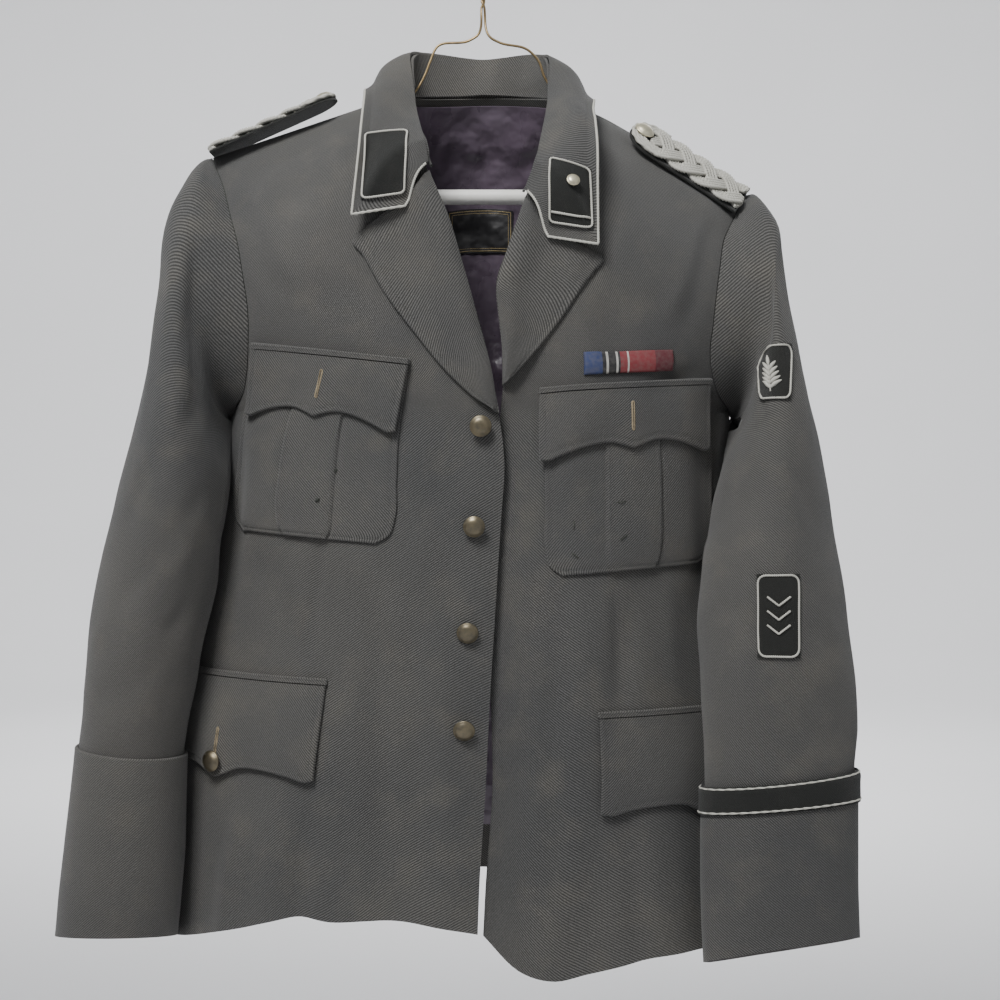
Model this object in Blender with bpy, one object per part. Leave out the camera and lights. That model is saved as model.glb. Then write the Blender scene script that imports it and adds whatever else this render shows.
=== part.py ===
"""Military officer tunic, open down the front, hung on its wire hanger.

Metres, +Z up. The origin is the inside top of the hanger hook, the front faces -Y and
+X is on the right of someone who faces the front. Sides are named for the wearer, so
the wearer's right is at -X.
"""
import math
from functools import lru_cache

import bmesh
import bpy
import numpy as np

# Cloth walls and the gaps between pieces
BODY_WALL = 0.0018
SLEEVE_WALL = 0.0018
CUFF_WALL = 0.0025
LAPEL_WALL = 0.0024
COLLAR_WALL = 0.0022
POCKET_WALL = 0.0014
FLAP_WALL = 0.0022
WELT_WALL = 0.0022
LINING_WALL = 0.0010
BADGE_WALL = 0.0012
SEAM_GAP = 0.0003
REST_GAP = 0.0005
PATCH_GAP = 0.0012

# Mesh steps
AROUND = 24
SEARCH_STEPS = 12
SEARCH_TRY = 0.02
NORMAL_STEP = 0.004
EDGE_ROOM = 0.004
OUTWARD_SPREAD = 0.35
LOWER_ROWS = 10
FRONT_COLUMNS = 14
BACK_COLUMNS = 16

# Body section
SECTION_POWER = 0.8
SHOULDER_DROP = 0.14
SHOULDER_POWER = 0.85
UNDERARM_Z = -0.44

# Main garment points: x, z
RIGHT_NECK = (-0.076, -0.165)
RIGHT_TIP = (-0.2337, -0.218)
LEFT_NECK = (0.075, -0.168)
LEFT_TIP = (0.2267, -0.250)
BACK_NECK_Z = -0.154
NECK_RIDGE_RISE = 0.054

# Body rows: z, seam_y, right_w, right_front_y, left_w, left_front_y, back_y
BODY_ROWS = np.array([
    (-0.920, 0.030, 0.277, -0.119, 0.257, -0.123, 0.122),
    (-0.870, 0.030, 0.2755, -0.118, 0.255, -0.122, 0.120),
    (-0.780, 0.030, 0.270, -0.115, 0.247, -0.119, 0.112),
    (-0.700, 0.028, 0.262, -0.112, 0.238, -0.116, 0.106),
    (-0.600, 0.024, 0.245, -0.108, 0.222, -0.112, 0.098),
    (-0.520, 0.018, 0.228, -0.107, 0.214, -0.110, 0.096),
    (-0.440, 0.010, 0.213, -0.105, 0.211, -0.108, 0.098),
    (-0.400, 0.005, 0.222, -0.104, 0.222, -0.106, 0.098),
    (-0.350, 0.002, 0.236, -0.102, 0.236, -0.104, 0.097),
    (-0.300, 0.000, 0.246, -0.100, 0.246, -0.102, 0.095),
    (-0.250, 0.000, 0.250, -0.098, 0.250, -0.100, 0.092),
    (-0.140, 0.000, 0.250, -0.092, 0.250, -0.094, 0.085),
])

# Free edge of each front, from hem to neck: z, x
RIGHT_EDGE = np.array([
    (-0.900, -0.0045), (-0.857, -0.0030), (-0.8105, -0.0013), (-0.738, 0.0035),
    (-0.704, 0.0051), (-0.663, 0.0072), (-0.614, 0.0103), (-0.5813, 0.0123),
    (-0.5485, 0.0144), (-0.4996, 0.0175), (-0.4547, 0.0195), (-0.4459, 0.0139),
    (-0.4098, 0.0083), (-0.3698, -0.0021), (-0.328, -0.0149), (-0.2857, -0.0278),
    (-0.2496, -0.0422), (-0.222, -0.056), (-0.190, -0.068), (-0.165, -0.076),
])
LEFT_EDGE = np.array([
    (-0.900, 0.0005), (-0.853, 0.0015), (-0.8056, 0.0042), (-0.766, 0.0071),
    (-0.7295, 0.0090), (-0.700, 0.0080), (-0.620, 0.0050), (-0.550, 0.0060),
    (-0.470, 0.0120), (-0.4243, 0.0171), (-0.4018, 0.0171), (-0.3698, 0.0139),
    (-0.3425, 0.0107), (-0.3137, 0.0211), (-0.2712, 0.0347), (-0.245, 0.049),
    (-0.205, 0.066), (-0.168, 0.075),
])

# Armholes, from underarm to shoulder tip: z, front_x, back_x, as widths from the middle
RIGHT_ARMHOLE = np.array([
    (-0.440, 0.2130, 0.2130), (-0.425, 0.2000, 0.2020), (-0.400, 0.1935, 0.1990),
    (-0.350, 0.1930, 0.2050), (-0.300, 0.2030, 0.2130), (-0.250, 0.2190, 0.2240),
    (-0.218, 0.2337, 0.2337),
])
LEFT_ARMHOLE = np.array([
    (-0.440, 0.2110, 0.2110), (-0.425, 0.1950, 0.1990), (-0.400, 0.1870, 0.1970),
    (-0.350, 0.1920, 0.2030), (-0.300, 0.2000, 0.2090), (-0.270, 0.2150, 0.2180),
    (-0.250, 0.2267, 0.2267),
])

# Hem heights: x, z
FRONT_HEM = np.array([
    (-0.276, -0.885), (-0.240, -0.876), (-0.197, -0.862), (-0.154, -0.8475),
    (-0.1215, -0.851), (-0.0735, -0.8475), (-0.0035, -0.857), (0.0035, -0.862),
    (0.0163, -0.883), (0.0508, -0.896), (0.095, -0.889), (0.135, -0.880),
    (0.177, -0.877), (0.257, -0.885),
])
BACK_HEM = np.array([
    (-0.277, -0.885), (-0.200, -0.872), (-0.100, -0.862), (0.000, -0.858),
    (0.100, -0.864), (0.200, -0.876), (0.257, -0.885),
])

# Large soft folds: x0, z0, x1, z1, width, height (outward)
RIGHT_FOLDS = np.array([
    (-0.150, -0.230, -0.183, -0.345, 0.018, -0.0040),
    (-0.172, -0.290, -0.182, -0.400, 0.014, 0.0030),
    (-0.160, -0.680, -0.175, -0.880, 0.024, 0.0065),
    (-0.205, -0.700, -0.232, -0.880, 0.020, -0.0070),
    (-0.060, -0.620, -0.052, -0.880, 0.028, -0.0035),
    (-0.105, -0.640, -0.110, -0.880, 0.018, 0.0020),
])
LEFT_FOLDS = np.array([
    (0.165, -0.250, 0.185, -0.345, 0.018, -0.0035),
    (0.140, -0.690, 0.150, -0.880, 0.024, 0.0060),
    (0.095, -0.640, 0.082, -0.880, 0.020, -0.0040),
    (0.035, -0.620, 0.045, -0.880, 0.020, 0.0030),
    (0.185, -0.720, 0.200, -0.880, 0.020, -0.0050),
])
BACK_FOLDS = np.array([
    (0.000, -0.300, 0.004, -0.880, 0.016, -0.0045),
    (-0.120, -0.560, -0.150, -0.880, 0.030, 0.0075),
    (0.110, -0.560, 0.135, -0.880, 0.030, 0.0070),
    (-0.060, -0.600, -0.070, -0.880, 0.022, -0.0040),
    (0.055, -0.600, 0.060, -0.880, 0.022, -0.0040),
    (-0.150, -0.250, -0.080, -0.400, 0.028, -0.0040),
    (0.150, -0.260, 0.085, -0.410, 0.028, -0.0045),
])
EDGE_DIP = 0.013
EDGE_DIP_Z = -0.36
EDGE_DIP_FADE = 0.08
HEM_FOLD_Z = -0.8
FOLD_START = 0.15
FOLD_GROWTH = 1.1
FOLD_END = 0.1
EDGE_DIP_REACH = 0.070

# Sleeve rows below the armhole: top_x, top_z, under_x, under_z, y, half_depth
RIGHT_SLEEVE = np.array([
    (-0.2420, -0.2265, -0.2185, -0.4425, -0.003, 0.070),
    (-0.2540, -0.2470, -0.2205, -0.4460, -0.006, 0.075),
    (-0.2625, -0.2780, -0.2195, -0.4500, -0.010, 0.077),
    (-0.2665, -0.3200, -0.2195, -0.4600, -0.016, 0.077),
    (-0.2725, -0.3620, -0.2170, -0.4750, -0.022, 0.076),
    (-0.2830, -0.4150, -0.2130, -0.4950, -0.030, 0.074),
    (-0.2950, -0.4700, -0.2130, -0.5200, -0.038, 0.070),
    (-0.3050, -0.5250, -0.2155, -0.5500, -0.046, 0.066),
    (-0.3140, -0.5700, -0.2195, -0.5800, -0.052, 0.062),
    (-0.3225, -0.6200, -0.2290, -0.6200, -0.057, 0.057),
    (-0.3275, -0.6600, -0.2380, -0.6600, -0.060, 0.053),
    (-0.3300, -0.7000, -0.2450, -0.7050, -0.062, 0.048),
])
RIGHT_CUFF = np.array([
    (-0.3345, -0.7150, -0.2440, -0.7235, -0.062, 0.0485),
    (-0.3390, -0.7600, -0.2450, -0.7650, -0.062, 0.0475),
    (-0.3440, -0.8000, -0.2462, -0.8050, -0.061, 0.0465),
    (-0.3490, -0.8400, -0.2500, -0.8450, -0.060, 0.0455),
    (-0.3525, -0.8740, -0.2529, -0.8740, -0.058, 0.0445),
])
LEFT_SLEEVE = np.array([
    (0.2375, -0.2530, 0.2165, -0.4425, -0.003, 0.070),
    (0.2465, -0.2700, 0.2185, -0.4460, -0.008, 0.074),
    (0.2490, -0.3000, 0.2165, -0.4500, -0.015, 0.075),
    (0.2530, -0.3400, 0.2140, -0.4600, -0.024, 0.075),
    (0.2610, -0.3850, 0.2080, -0.4750, -0.034, 0.073),
    (0.2690, -0.4280, 0.2010, -0.4950, -0.046, 0.069),
    (0.2790, -0.4750, 0.1950, -0.5200, -0.058, 0.063),
    (0.2870, -0.5200, 0.1880, -0.5450, -0.070, 0.057),
    (0.2925, -0.5650, 0.1810, -0.5750, -0.080, 0.051),
    (0.2965, -0.6100, 0.1755, -0.6100, -0.088, 0.045),
    (0.2985, -0.6550, 0.1750, -0.6550, -0.098, 0.038),
    (0.2980, -0.7000, 0.1760, -0.7050, -0.104, 0.032),
])
LEFT_CUFF = np.array([
    (0.2995, -0.7287, 0.1745, -0.7424, -0.1090, 0.0290),
    (0.2990, -0.7650, 0.1740, -0.7750, -0.1090, 0.0285),
    (0.2995, -0.8050, 0.1742, -0.8150, -0.1080, 0.0280),
    (0.3005, -0.8400, 0.1752, -0.8550, -0.1070, 0.0280),
    (0.3016, -0.8630, 0.1765, -0.8825, -0.1060, 0.0275),
])
SLEEVE_IN_CUFF = 0.015
CUFF_PITCH = 0.009
# Room that a sleeve keeps from the body: z, room
SLEEVE_ROOM = np.array([(-0.90, 0.010), (-0.50, 0.009), (-0.46, 0.005), (-0.425, 0.002)])

# Lapels from the break up to the gorge: roll_x, roll_z, edge_x, edge_z
RIGHT_LAPEL = np.array([
    (0.0145, -0.4459, 0.0099, -0.4419),
    (0.0088, -0.4098, -0.0093, -0.4299),
    (0.0038, -0.3898, -0.0334, -0.4058),
    (-0.0018, -0.3698, -0.0494, -0.3858),
    (-0.0146, -0.3280, -0.0775, -0.3481),
    (-0.0275, -0.2857, -0.0951, -0.3177),
    (-0.0364, -0.2656, -0.1039, -0.3032),
    (-0.0420, -0.2496, -0.0606, -0.2784),
])
LEFT_LAPEL = np.array([
    (0.0168, -0.4226, 0.0211, -0.4186),
    (0.0168, -0.4018, 0.0323, -0.4066),
    (0.0136, -0.3698, 0.0508, -0.3858),
    (0.0112, -0.3537, 0.0668, -0.3642),
    (0.0105, -0.3425, 0.0788, -0.3457),
    (0.0208, -0.3137, 0.0908, -0.3297),
    (0.0272, -0.2944, 0.0972, -0.3201),
    (0.0344, -0.2712, 0.0532, -0.3041),
])
LAPEL_COLUMNS = 8
LAPEL_ROLL = 0.0050
LAPEL_ROLL_AT = 0.010
LAPEL_ROLL_WIDTH = 0.012
LAPEL_RISE = 0.004
LAPEL_GAP = 0.0012
LAPEL_SPREAD = 1.4

# Collar stations from the right gorge round the back to the left gorge:
# seam x, z, crease x, y, z, edge x, y, z
COLLAR = np.array([
    (-0.0440, -0.2480, -0.0429, -0.0970, -0.2440, -0.0606, -0.1030, -0.2795),
    (-0.0510, -0.2330, -0.0458, -0.0910, -0.2256, -0.1040, -0.1060, -0.2870),
    (-0.0640, -0.2020, -0.0544, -0.0520, -0.1930, -0.1000, -0.0930, -0.2300),
    (-0.0720, -0.1760, -0.0595, -0.0200, -0.1560, -0.0985, -0.0490, -0.1800),
    (-0.0740, -0.1645, -0.0620, 0.0100, -0.1276, -0.1000, 0.0020, -0.1600),
    (-0.0600, -0.1600, -0.0530, 0.0320, -0.1200, -0.0930, 0.0500, -0.1560),
    (-0.0340, -0.1560, -0.0330, 0.0500, -0.1170, -0.0560, 0.0830, -0.1600),
    (0.0000, -0.1540, -0.0007, 0.0600, -0.1180, 0.0000, 0.0940, -0.1640),
    (0.0340, -0.1570, 0.0330, 0.0500, -0.1170, 0.0560, 0.0830, -0.1640),
    (0.0600, -0.1620, 0.0510, 0.0320, -0.1220, 0.0900, 0.0500, -0.1620),
    (0.0735, -0.1675, 0.0566, 0.0100, -0.1320, 0.0950, 0.0020, -0.1690),
    (0.0720, -0.1820, 0.0556, -0.0200, -0.1680, 0.0925, -0.0490, -0.1900),
    (0.0640, -0.2110, 0.0522, -0.0520, -0.1970, 0.0945, -0.0930, -0.2300),
    (0.0500, -0.2460, 0.0430, -0.0980, -0.2440, 0.0932, -0.1070, -0.3110),
    (0.0375, -0.2690, 0.0350, -0.0990, -0.2660, 0.0528, -0.1065, -0.3045),
])
COLLAR_CORNERS = (1, 13)
FALL_ROWS = 6
FALL_REST = 0.0024
FALL_BULGE = 0.010
FALL_BULGE_END = 0.8
FALL_BULGE_SIZE = 0.06
FALL_LIFT = (0.6, 0.5)
FALL_FACING = 0.8
STAND_LEVELS = (0.0, 0.34, 0.67, 1.0)
STAND_RISE = 0.0015
STAND_INSET = 0.0020
SHOULDER_SEAM_Y = 0.005

# Breast pocket bags from top to bottom: inner_x, inner_z, outer_x, outer_z
RIGHT_BAG = np.array([
    (-0.0580, -0.4085, -0.1860, -0.3915),
    (-0.0660, -0.4640, -0.1990, -0.4473),
    (-0.0676, -0.5000, -0.2070, -0.4900),
    (-0.0690, -0.5300, -0.2110, -0.5200),
    (-0.0742, -0.5430, -0.2070, -0.5330),
    (-0.0850, -0.5490, -0.1980, -0.5390),
])
LEFT_BAG = np.array([
    (0.0474, -0.4312, 0.1845, -0.4205),
    (0.0506, -0.4828, 0.1890, -0.4700),
    (0.0510, -0.5200, 0.1900, -0.5150),
    (0.0513, -0.5555, 0.1900, -0.5480),
    (0.0560, -0.5690, 0.1850, -0.5600),
    (0.0650, -0.5745, 0.1770, -0.5660),
])
BAG_COLUMNS = (0.0, 0.10, 0.21, 0.315, 0.335, 0.43, 0.53, 0.62, 0.64, 0.76, 0.88, 1.0)
PLEAT = (0.325, 0.63)
PLEAT_RISE = 0.0016

# Flap outlines: share of the width, drop of the breast flap, drop of the lower flap
FLAP_EDGE = np.array([
    (0.00, 0.0530, 0.0755), (0.04, 0.0545, 0.0775), (0.12, 0.0505, 0.0745),
    (0.25, 0.0445, 0.0715), (0.38, 0.0430, 0.0725), (0.46, 0.0465, 0.0785),
    (0.50, 0.0485, 0.0810), (0.54, 0.0465, 0.0785), (0.62, 0.0430, 0.0725),
    (0.75, 0.0445, 0.0715), (0.88, 0.0505, 0.0745), (0.96, 0.0545, 0.0775),
    (1.00, 0.0530, 0.0755),
])
# Flaps: name, side, inner_x, inner_z, outer_x, outer_z, lean, drop column, lift
FLAPS = (
    ("right_breast", -1, -0.0577, -0.4069, -0.1865, -0.3895, 0.0100, 1, 0.0050),
    ("left_breast", 1, 0.0472, -0.4295, 0.1850, -0.4185, 0.0055, 1, 0.0050),
    ("right_lower", -1, -0.1247, -0.6633, None, -0.6580, 0.0080, 2, 0.0014),
    ("left_lower", 1, 0.0931, -0.6885, None, -0.6860, 0.0020, 2, 0.0014),
)
LOWER_FLAP_WIDTH = 0.186
WELT_HEIGHT = 0.0048
WELT_GAP = 0.0008
WELT_OVERHANG = 0.001
WELT_POINTS = 8
FLAP_LEVELS = (0.0, 0.33, 0.67, 1.0)
FLAP_HANG = 0.0006

# Buttons: profile radius, height, then where each sits: x, z, droop in degrees
BUTTON_SIDES = 10
BUTTON_SETBACK = 0.0005
LOWER_BUTTON_GAP = 0.0012
BUTTON_PROFILE = (
    (0.0016, -0.0030), (0.0017, 0.0002), (0.0074, 0.0006), (0.0088, 0.0014),
    (0.0087, 0.0024), (0.0066, 0.0042), (0.0034, 0.0052),
)
BUTTON_TOP = 0.0055
FRONT_BUTTONS = (
    (-0.0008, -0.4547, 8.0), (-0.0059, -0.5342, 14.0),
    (-0.0109, -0.6182, 20.0), (-0.0136, -0.6949, 24.0),
)
LOWER_BUTTON_DROP = 0.068

# Shoulder boards: neck end, sleeve end, forward roll in degrees
BOARD_WIDTH = 0.044
RIGHT_BOARD = ((-0.1255, -0.002, -0.1690), (-0.2330, -0.002, -0.2172), 4.0)
LEFT_BOARD = ((0.1260, -0.019, -0.1985), (0.2205, -0.018, -0.2609), 40.0)
BOARD_STEPS = 12
BOARD_ACROSS = np.array([-1.0, -0.75, -0.5, -0.25, 0.0, 0.25, 0.5, 0.75, 1.0])
BOARD_BASE = 0.0022
BOARD_TIP = 0.22
BOARD_SCALLOP = 0.035
BRAID_DIP = 0.25
BOARD_CORD = 0.0026
BOARD_BUTTON_AT = 0.0115

# Patches on the collar fall and badges on the left sleeve. Each has its four corners as x, z from
# the upper left one on, then the rows and the columns of the cloth's grid between which it lies,
# and its gap to the cloth.
COLLAR_PATCHES = (
    ("right_collar_patch", ((-0.0957, -0.2175), (-0.0595, -0.2155), (-0.0610, -0.2692),
                            (-0.0960, -0.2745)), (0.1, 5.9), (0.0, 8.0), 0.0021),
    ("left_collar_patch", ((0.0540, -0.2400), (0.0885, -0.2486), (0.0889, -0.2985),
                           (0.0535, -0.2930)), (0.1, 5.9), (20.0, 28.0), 0.0021),
)
SLEEVE_BADGES = (
    ("upper_sleeve_badge", ((0.2235, -0.3895), (0.2492, -0.3882), (0.2450, -0.4343),
                            (0.2245, -0.4337)), (1.5, 6.0), (3.0, 8.0), 0.0018),
    ("lower_sleeve_badge", ((0.2160, -0.5720), (0.2486, -0.5720), (0.2480, -0.6370),
                            (0.2156, -0.6370)), (8.0, 11.5), (4.5, 8.5), 0.0008),
)
PATCH_CELLS = 6
BAND_ROWS = (0.05, 0.80)
RIBBON = (0.0812, -0.4050, 0.1549, -0.4004)
RIBBON_HEIGHT = 0.0170
RIBBON_WALL = 0.0016
RIBBON_CROWN = 0.0014
RIBBON_POINTS = 7
LABEL = (-0.0335, -0.2464, 0.0265, -0.2864)

# Hanger
WIRE_RADIUS = 0.0011
WIRE_SIDES = 6
HOOK_RADIUS = 0.018
TWIST_TOP = -0.058
TWIST_BOTTOM = -0.088
TWIST_TURNS = 2.5
TUBE_RADIUS = 0.0065
TUBE_HALF = 0.186
TUBE_Z = -0.252
HOOK_TAIL = ((0.0060, -0.0425), (0.0016, -0.0510))
# Arms from the twist to the tube: x, z
RIGHT_ARM = (
    (-0.0052, -0.1125), (-0.0120, -0.1165), (-0.0398, -0.1220), (-0.0459, -0.1350),
    (-0.0502, -0.1462), (-0.0600, -0.1620), (-0.0700, -0.1692), (-0.0820, -0.17065),
    (-0.1360, -0.18880), (-0.1900, -0.20685), (-0.2035, -0.2128), (-0.2078, -0.2240),
    (-0.2055, -0.2400), (-0.1980, -0.2505), (-0.1863, -0.2520),
)
LEFT_ARM = (
    (0.0069, -0.1142), (0.0140, -0.1180), (0.0389, -0.1246), (0.0476, -0.1332),
    (0.0536, -0.1488), (0.0562, -0.1531), (0.0660, -0.1680), (0.0740, -0.17420),
    (0.0830, -0.17660), (0.1350, -0.20460), (0.1860, -0.23205), (0.1960, -0.2385),
    (0.2000, -0.2445), (0.1965, -0.2510), (0.1863, -0.2520),
)

MATERIALS = {
    "cloth": ((0.135, 0.138, 0.135), 0.0, 0.92),
    "cloth_dark": ((0.020, 0.022, 0.021), 0.0, 0.90),
    "lining": ((0.045, 0.022, 0.035), 0.0, 0.45),
    "label": ((0.010, 0.010, 0.011), 0.0, 0.55),
    "brass": ((0.240, 0.180, 0.090), 1.0, 0.45),
    "silver_cord": ((0.420, 0.410, 0.370), 0.3, 0.50),
    "ribbon": ((0.150, 0.030, 0.040), 0.0, 0.70),
    "wire": ((0.480, 0.320, 0.120), 1.0, 0.35),
    "tube": ((0.780, 0.770, 0.730), 0.0, 0.55),
}


def unit(vector):
    """Vector of length one."""
    vector = np.asarray(vector, dtype=float)
    return vector / max(np.linalg.norm(vector), 1e-12)


def new_material(name):
    """Principled material from the table."""
    colour, metallic, roughness = MATERIALS[name]
    material = bpy.data.materials.get(name)
    if material is None:
        material = bpy.data.materials.new(name)
        material.use_nodes = True
        shader = material.node_tree.nodes["Principled BSDF"]
        shader.inputs["Base Color"].default_value = (*colour, 1.0)
        shader.inputs["Metallic"].default_value = metallic
        shader.inputs["Roughness"].default_value = roughness
    return material


def signed_volume(points, faces):
    """Six times the volume inside the faces, negative when they point in."""
    total = 0.0
    for face in faces:
        first = points[face[0]]
        for second, third in zip(face[1:-1], face[2:]):
            total += float(np.dot(first, np.cross(points[second], points[third])))
    return total


def add_object(name, points, faces, material, smooth=True):
    """Object made of one closed mesh with its faces pointing out."""
    points = [np.asarray(point, dtype=float) for point in points]
    if signed_volume(points, faces) < 0.0:
        faces = [tuple(reversed(face)) for face in faces]
    mesh = bpy.data.meshes.new(name)
    mesh.from_pydata([tuple(point) for point in points], [], faces)
    work = bmesh.new()
    work.from_mesh(mesh)
    bmesh.ops.triangulate(work, faces=work.faces[:])
    work.to_mesh(mesh)
    work.free()
    for polygon in mesh.polygons:
        polygon.use_smooth = smooth
    mesh.materials.append(new_material(material))
    made = bpy.data.objects.new(name, mesh)
    bpy.context.collection.objects.link(made)
    return made


def grid_normals(grid, outward, closed=False):
    """Unit normals of a grid of points, on the side that outward names."""
    along = np.gradient(grid, axis=0)
    if closed:
        across = (np.roll(grid, -1, axis=1) - np.roll(grid, 1, axis=1)) / 2.0
    else:
        across = np.gradient(grid, axis=1)
    normals = np.cross(along, across)
    normals /= np.maximum(np.linalg.norm(normals, axis=2, keepdims=True), 1e-12)
    side = np.sign(np.sum(normals * outward, axis=2, keepdims=True))
    side[side == 0.0] = 1.0
    return normals * side


def close_grids(name, top, bottom, material, closed=False):
    """Closed body between two grids of the same shape."""
    rows, columns = top.shape[:2]
    points = list(top.reshape(-1, 3)) + list(bottom.reshape(-1, 3))
    under = rows * columns

    def at(row, column, layer):
        return layer * under + row * columns + column % columns

    faces = []
    spans = columns if closed else columns - 1
    for row in range(rows - 1):
        for column in range(spans):
            square = [(row, column), (row, column + 1), (row + 1, column + 1), (row + 1, column)]
            faces.append(tuple(at(r, c, 0) for r, c in square))
            faces.append(tuple(at(r, c, 1) for r, c in reversed(square)))
    for column in range(spans):
        faces.append((at(0, column + 1, 0), at(0, column, 0),
                      at(0, column, 1), at(0, column + 1, 1)))
        faces.append((at(rows - 1, column, 0), at(rows - 1, column + 1, 0),
                      at(rows - 1, column + 1, 1), at(rows - 1, column, 1)))
    if not closed:
        for row in range(rows - 1):
            faces.append((at(row, 0, 0), at(row + 1, 0, 0), at(row + 1, 0, 1), at(row, 0, 1)))
            last = columns - 1
            faces.append((at(row + 1, last, 0), at(row, last, 0),
                          at(row, last, 1), at(row + 1, last, 1)))
    return add_object(name, points, faces, material)


def shoulder_height(x):
    """Height of the shoulder ridge over x, carried on over the neck opening."""
    neck, tip = (RIGHT_NECK, RIGHT_TIP) if x < 0.0 else (LEFT_NECK, LEFT_TIP)
    if abs(x) >= abs(neck[0]):
        share = (x - neck[0]) / (tip[0] - neck[0])
        return neck[1] + share * (tip[1] - neck[1])
    return neck[1] + NECK_RIDGE_RISE * math.cos(0.5 * math.pi * x / neck[0])


def neck_height(x):
    """Height of the back neck seam over x."""
    neck = RIGHT_NECK if x < 0.0 else LEFT_NECK
    rise = BACK_NECK_Z - neck[1]
    return neck[1] + rise * math.cos(0.5 * math.pi * x / neck[0])


def back_top_height(x):
    """Height of the back's upper edge over x."""
    neck = RIGHT_NECK if x < 0.0 else LEFT_NECK
    return neck_height(x) if abs(x) < abs(neck[0]) else shoulder_height(x)


def body_row(z):
    """Seam y, right width, right front y, left width, left front y and back y at z."""
    return [float(np.interp(z, BODY_ROWS[:, 0], BODY_ROWS[:, column])) for column in range(1, 7)]


def fold_height(folds, x, z):
    """Sum of the soft folds at x, z."""
    total = 0.0
    for x0, z0, x1, z1, width, height in folds:
        along = ((x - x0) * (x1 - x0) + (z - z0) * (z1 - z0)) / ((x1 - x0) ** 2 + (z1 - z0) ** 2)
        inside = min(max(along, 0.0), 1.0)
        off = math.hypot(x - x0 - inside * (x1 - x0), z - z0 - inside * (z1 - z0))
        if z1 < HEM_FOLD_Z:
            grow = min(1.0, FOLD_START + FOLD_GROWTH * inside)
        else:
            grow = math.sin(math.pi * (FOLD_END + (1.0 - 2.0 * FOLD_END) * inside))
        total += height * grow * math.exp(-((off / width) ** 2))
    return total


def edge_x(side, z):
    """x of a front's free edge at z."""
    table = RIGHT_EDGE if side < 0 else LEFT_EDGE
    return float(np.interp(z, table[:, 0], table[:, 1]))


def body_y(side, front, x, z):
    """y of the body's outer face at x, z, side -1 for the wearer's right."""
    seam_y, right_w, right_y, left_w, left_y, back_y = body_row(z)
    width = right_w if side < 0 else left_w
    depth = back_y - seam_y
    if front:
        depth = seam_y - (right_y if side < 0 else left_y)
    sine = min(abs(x) / width, 1.0)
    cosine = math.sqrt(1.0 - sine * sine)
    drop = min(max((shoulder_height(x) - z) / SHOULDER_DROP, 0.0), 1.0)
    rounding = max(2.0 * drop - drop * drop, 0.0) ** SHOULDER_POWER
    depth *= cosine ** SECTION_POWER * rounding
    fade = cosine * min(1.0, rounding)
    if not front:
        return seam_y + depth + fade * fold_height(BACK_FOLDS, x, z)
    folds = RIGHT_FOLDS if side < 0 else LEFT_FOLDS
    dip = 0.0
    if side > 0 and z < EDGE_DIP_Z:
        near = max(0.0, 1.0 - (x - edge_x(side, z)) / EDGE_DIP_REACH)
        near = min(near, 1.0)
        dip = EDGE_DIP * near * near * (3.0 - 2.0 * near) * min((EDGE_DIP_Z - z) / EDGE_DIP_FADE, 1.0)
    return seam_y - depth - fade * fold_height(folds, x, z) + dip


@lru_cache(maxsize=None)
def panel_grid(side):
    """Outer face of a front, kept for the pieces that lie on it."""
    return front_grid(side)


@lru_cache(maxsize=None)
def section(side, z):
    """x, y and length from the middle of a front's section at height z."""
    grid = panel_grid(side)
    xs = np.array([np.interp(z, column[:, 2], column[:, 0]) for column in grid.swapaxes(0, 1)])
    ys = np.array([np.interp(z, column[:, 2], column[:, 1]) for column in grid.swapaxes(0, 1)])
    lengths = np.concatenate([[0.0], np.cumsum(np.hypot(np.diff(xs), np.diff(ys)))])
    lengths -= np.interp(0.0, side * xs, lengths)
    return xs, ys, lengths


def reach_of(side, x, z):
    """Length along the front's section from the middle to x."""
    xs, _, lengths = section(side, z)
    return float(np.interp(side * x, side * xs, lengths))


def on_front(side, reach, z, lift):
    """Point above the outer face of a front, lift away from it."""
    def at(r, h):
        xs, ys, lengths = section(side, h)
        return np.array([np.interp(r, lengths, xs), np.interp(r, lengths, ys), h])
    step = NORMAL_STEP
    normal = np.cross(at(reach + step, z) - at(reach - step, z),
                      at(reach, z + step) - at(reach, z - step))
    normal = unit(normal) * (1.0 if side > 0 else -1.0)
    return at(reach, z) + normal * lift


def patch(name, side, outline, lifts, walls, material):
    """Piece that lies on a front.

    outline is a grid of (reach, z), lifts and walls are grids of the same shape.
    """
    rows, columns = outline.shape[:2]
    bottom = np.zeros((rows, columns, 3))
    top = np.zeros((rows, columns, 3))
    for row in range(rows):
        for column in range(columns):
            reach, z = outline[row, column]
            bottom[row, column] = on_front(side, reach, z, lifts[row, column])
            top[row, column] = on_front(side, reach, z, lifts[row, column] + walls[row, column])
    return close_grids(name, top, bottom, material)


def armhole_x(side, front, z):
    """x of the armhole edge at z."""
    table = RIGHT_ARMHOLE if side < 0 else LEFT_ARMHOLE
    return side * float(np.interp(z, table[:, 0], table[:, 1 if front else 2]))


def upper_shares():
    """Shares of the height from underarm to shoulder, one for each point of a sleeve."""
    return [(1.0 - math.cos(2.0 * math.pi * index / AROUND)) / 2.0
            for index in range(AROUND // 2 + 1)]


def spread(x0, x1, w0, w1, share):
    """x between two ends, evenly spaced round the body's section."""
    a0 = math.asin(max(-1.0, min(1.0, x0 / w0)))
    a1 = math.asin(max(-1.0, min(1.0, x1 / w1)))
    if abs(math.sin(a1) - math.sin(a0)) < 1e-9:
        return x0
    part = (math.sin(a0 + share * (a1 - a0)) - math.sin(a0)) / (math.sin(a1) - math.sin(a0))
    return x0 + part * (x1 - x0)


def side_width(x, z):
    """Half width of the body at z on the side of x."""
    row = body_row(z)
    return row[1] if x < 0 else row[3]


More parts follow.
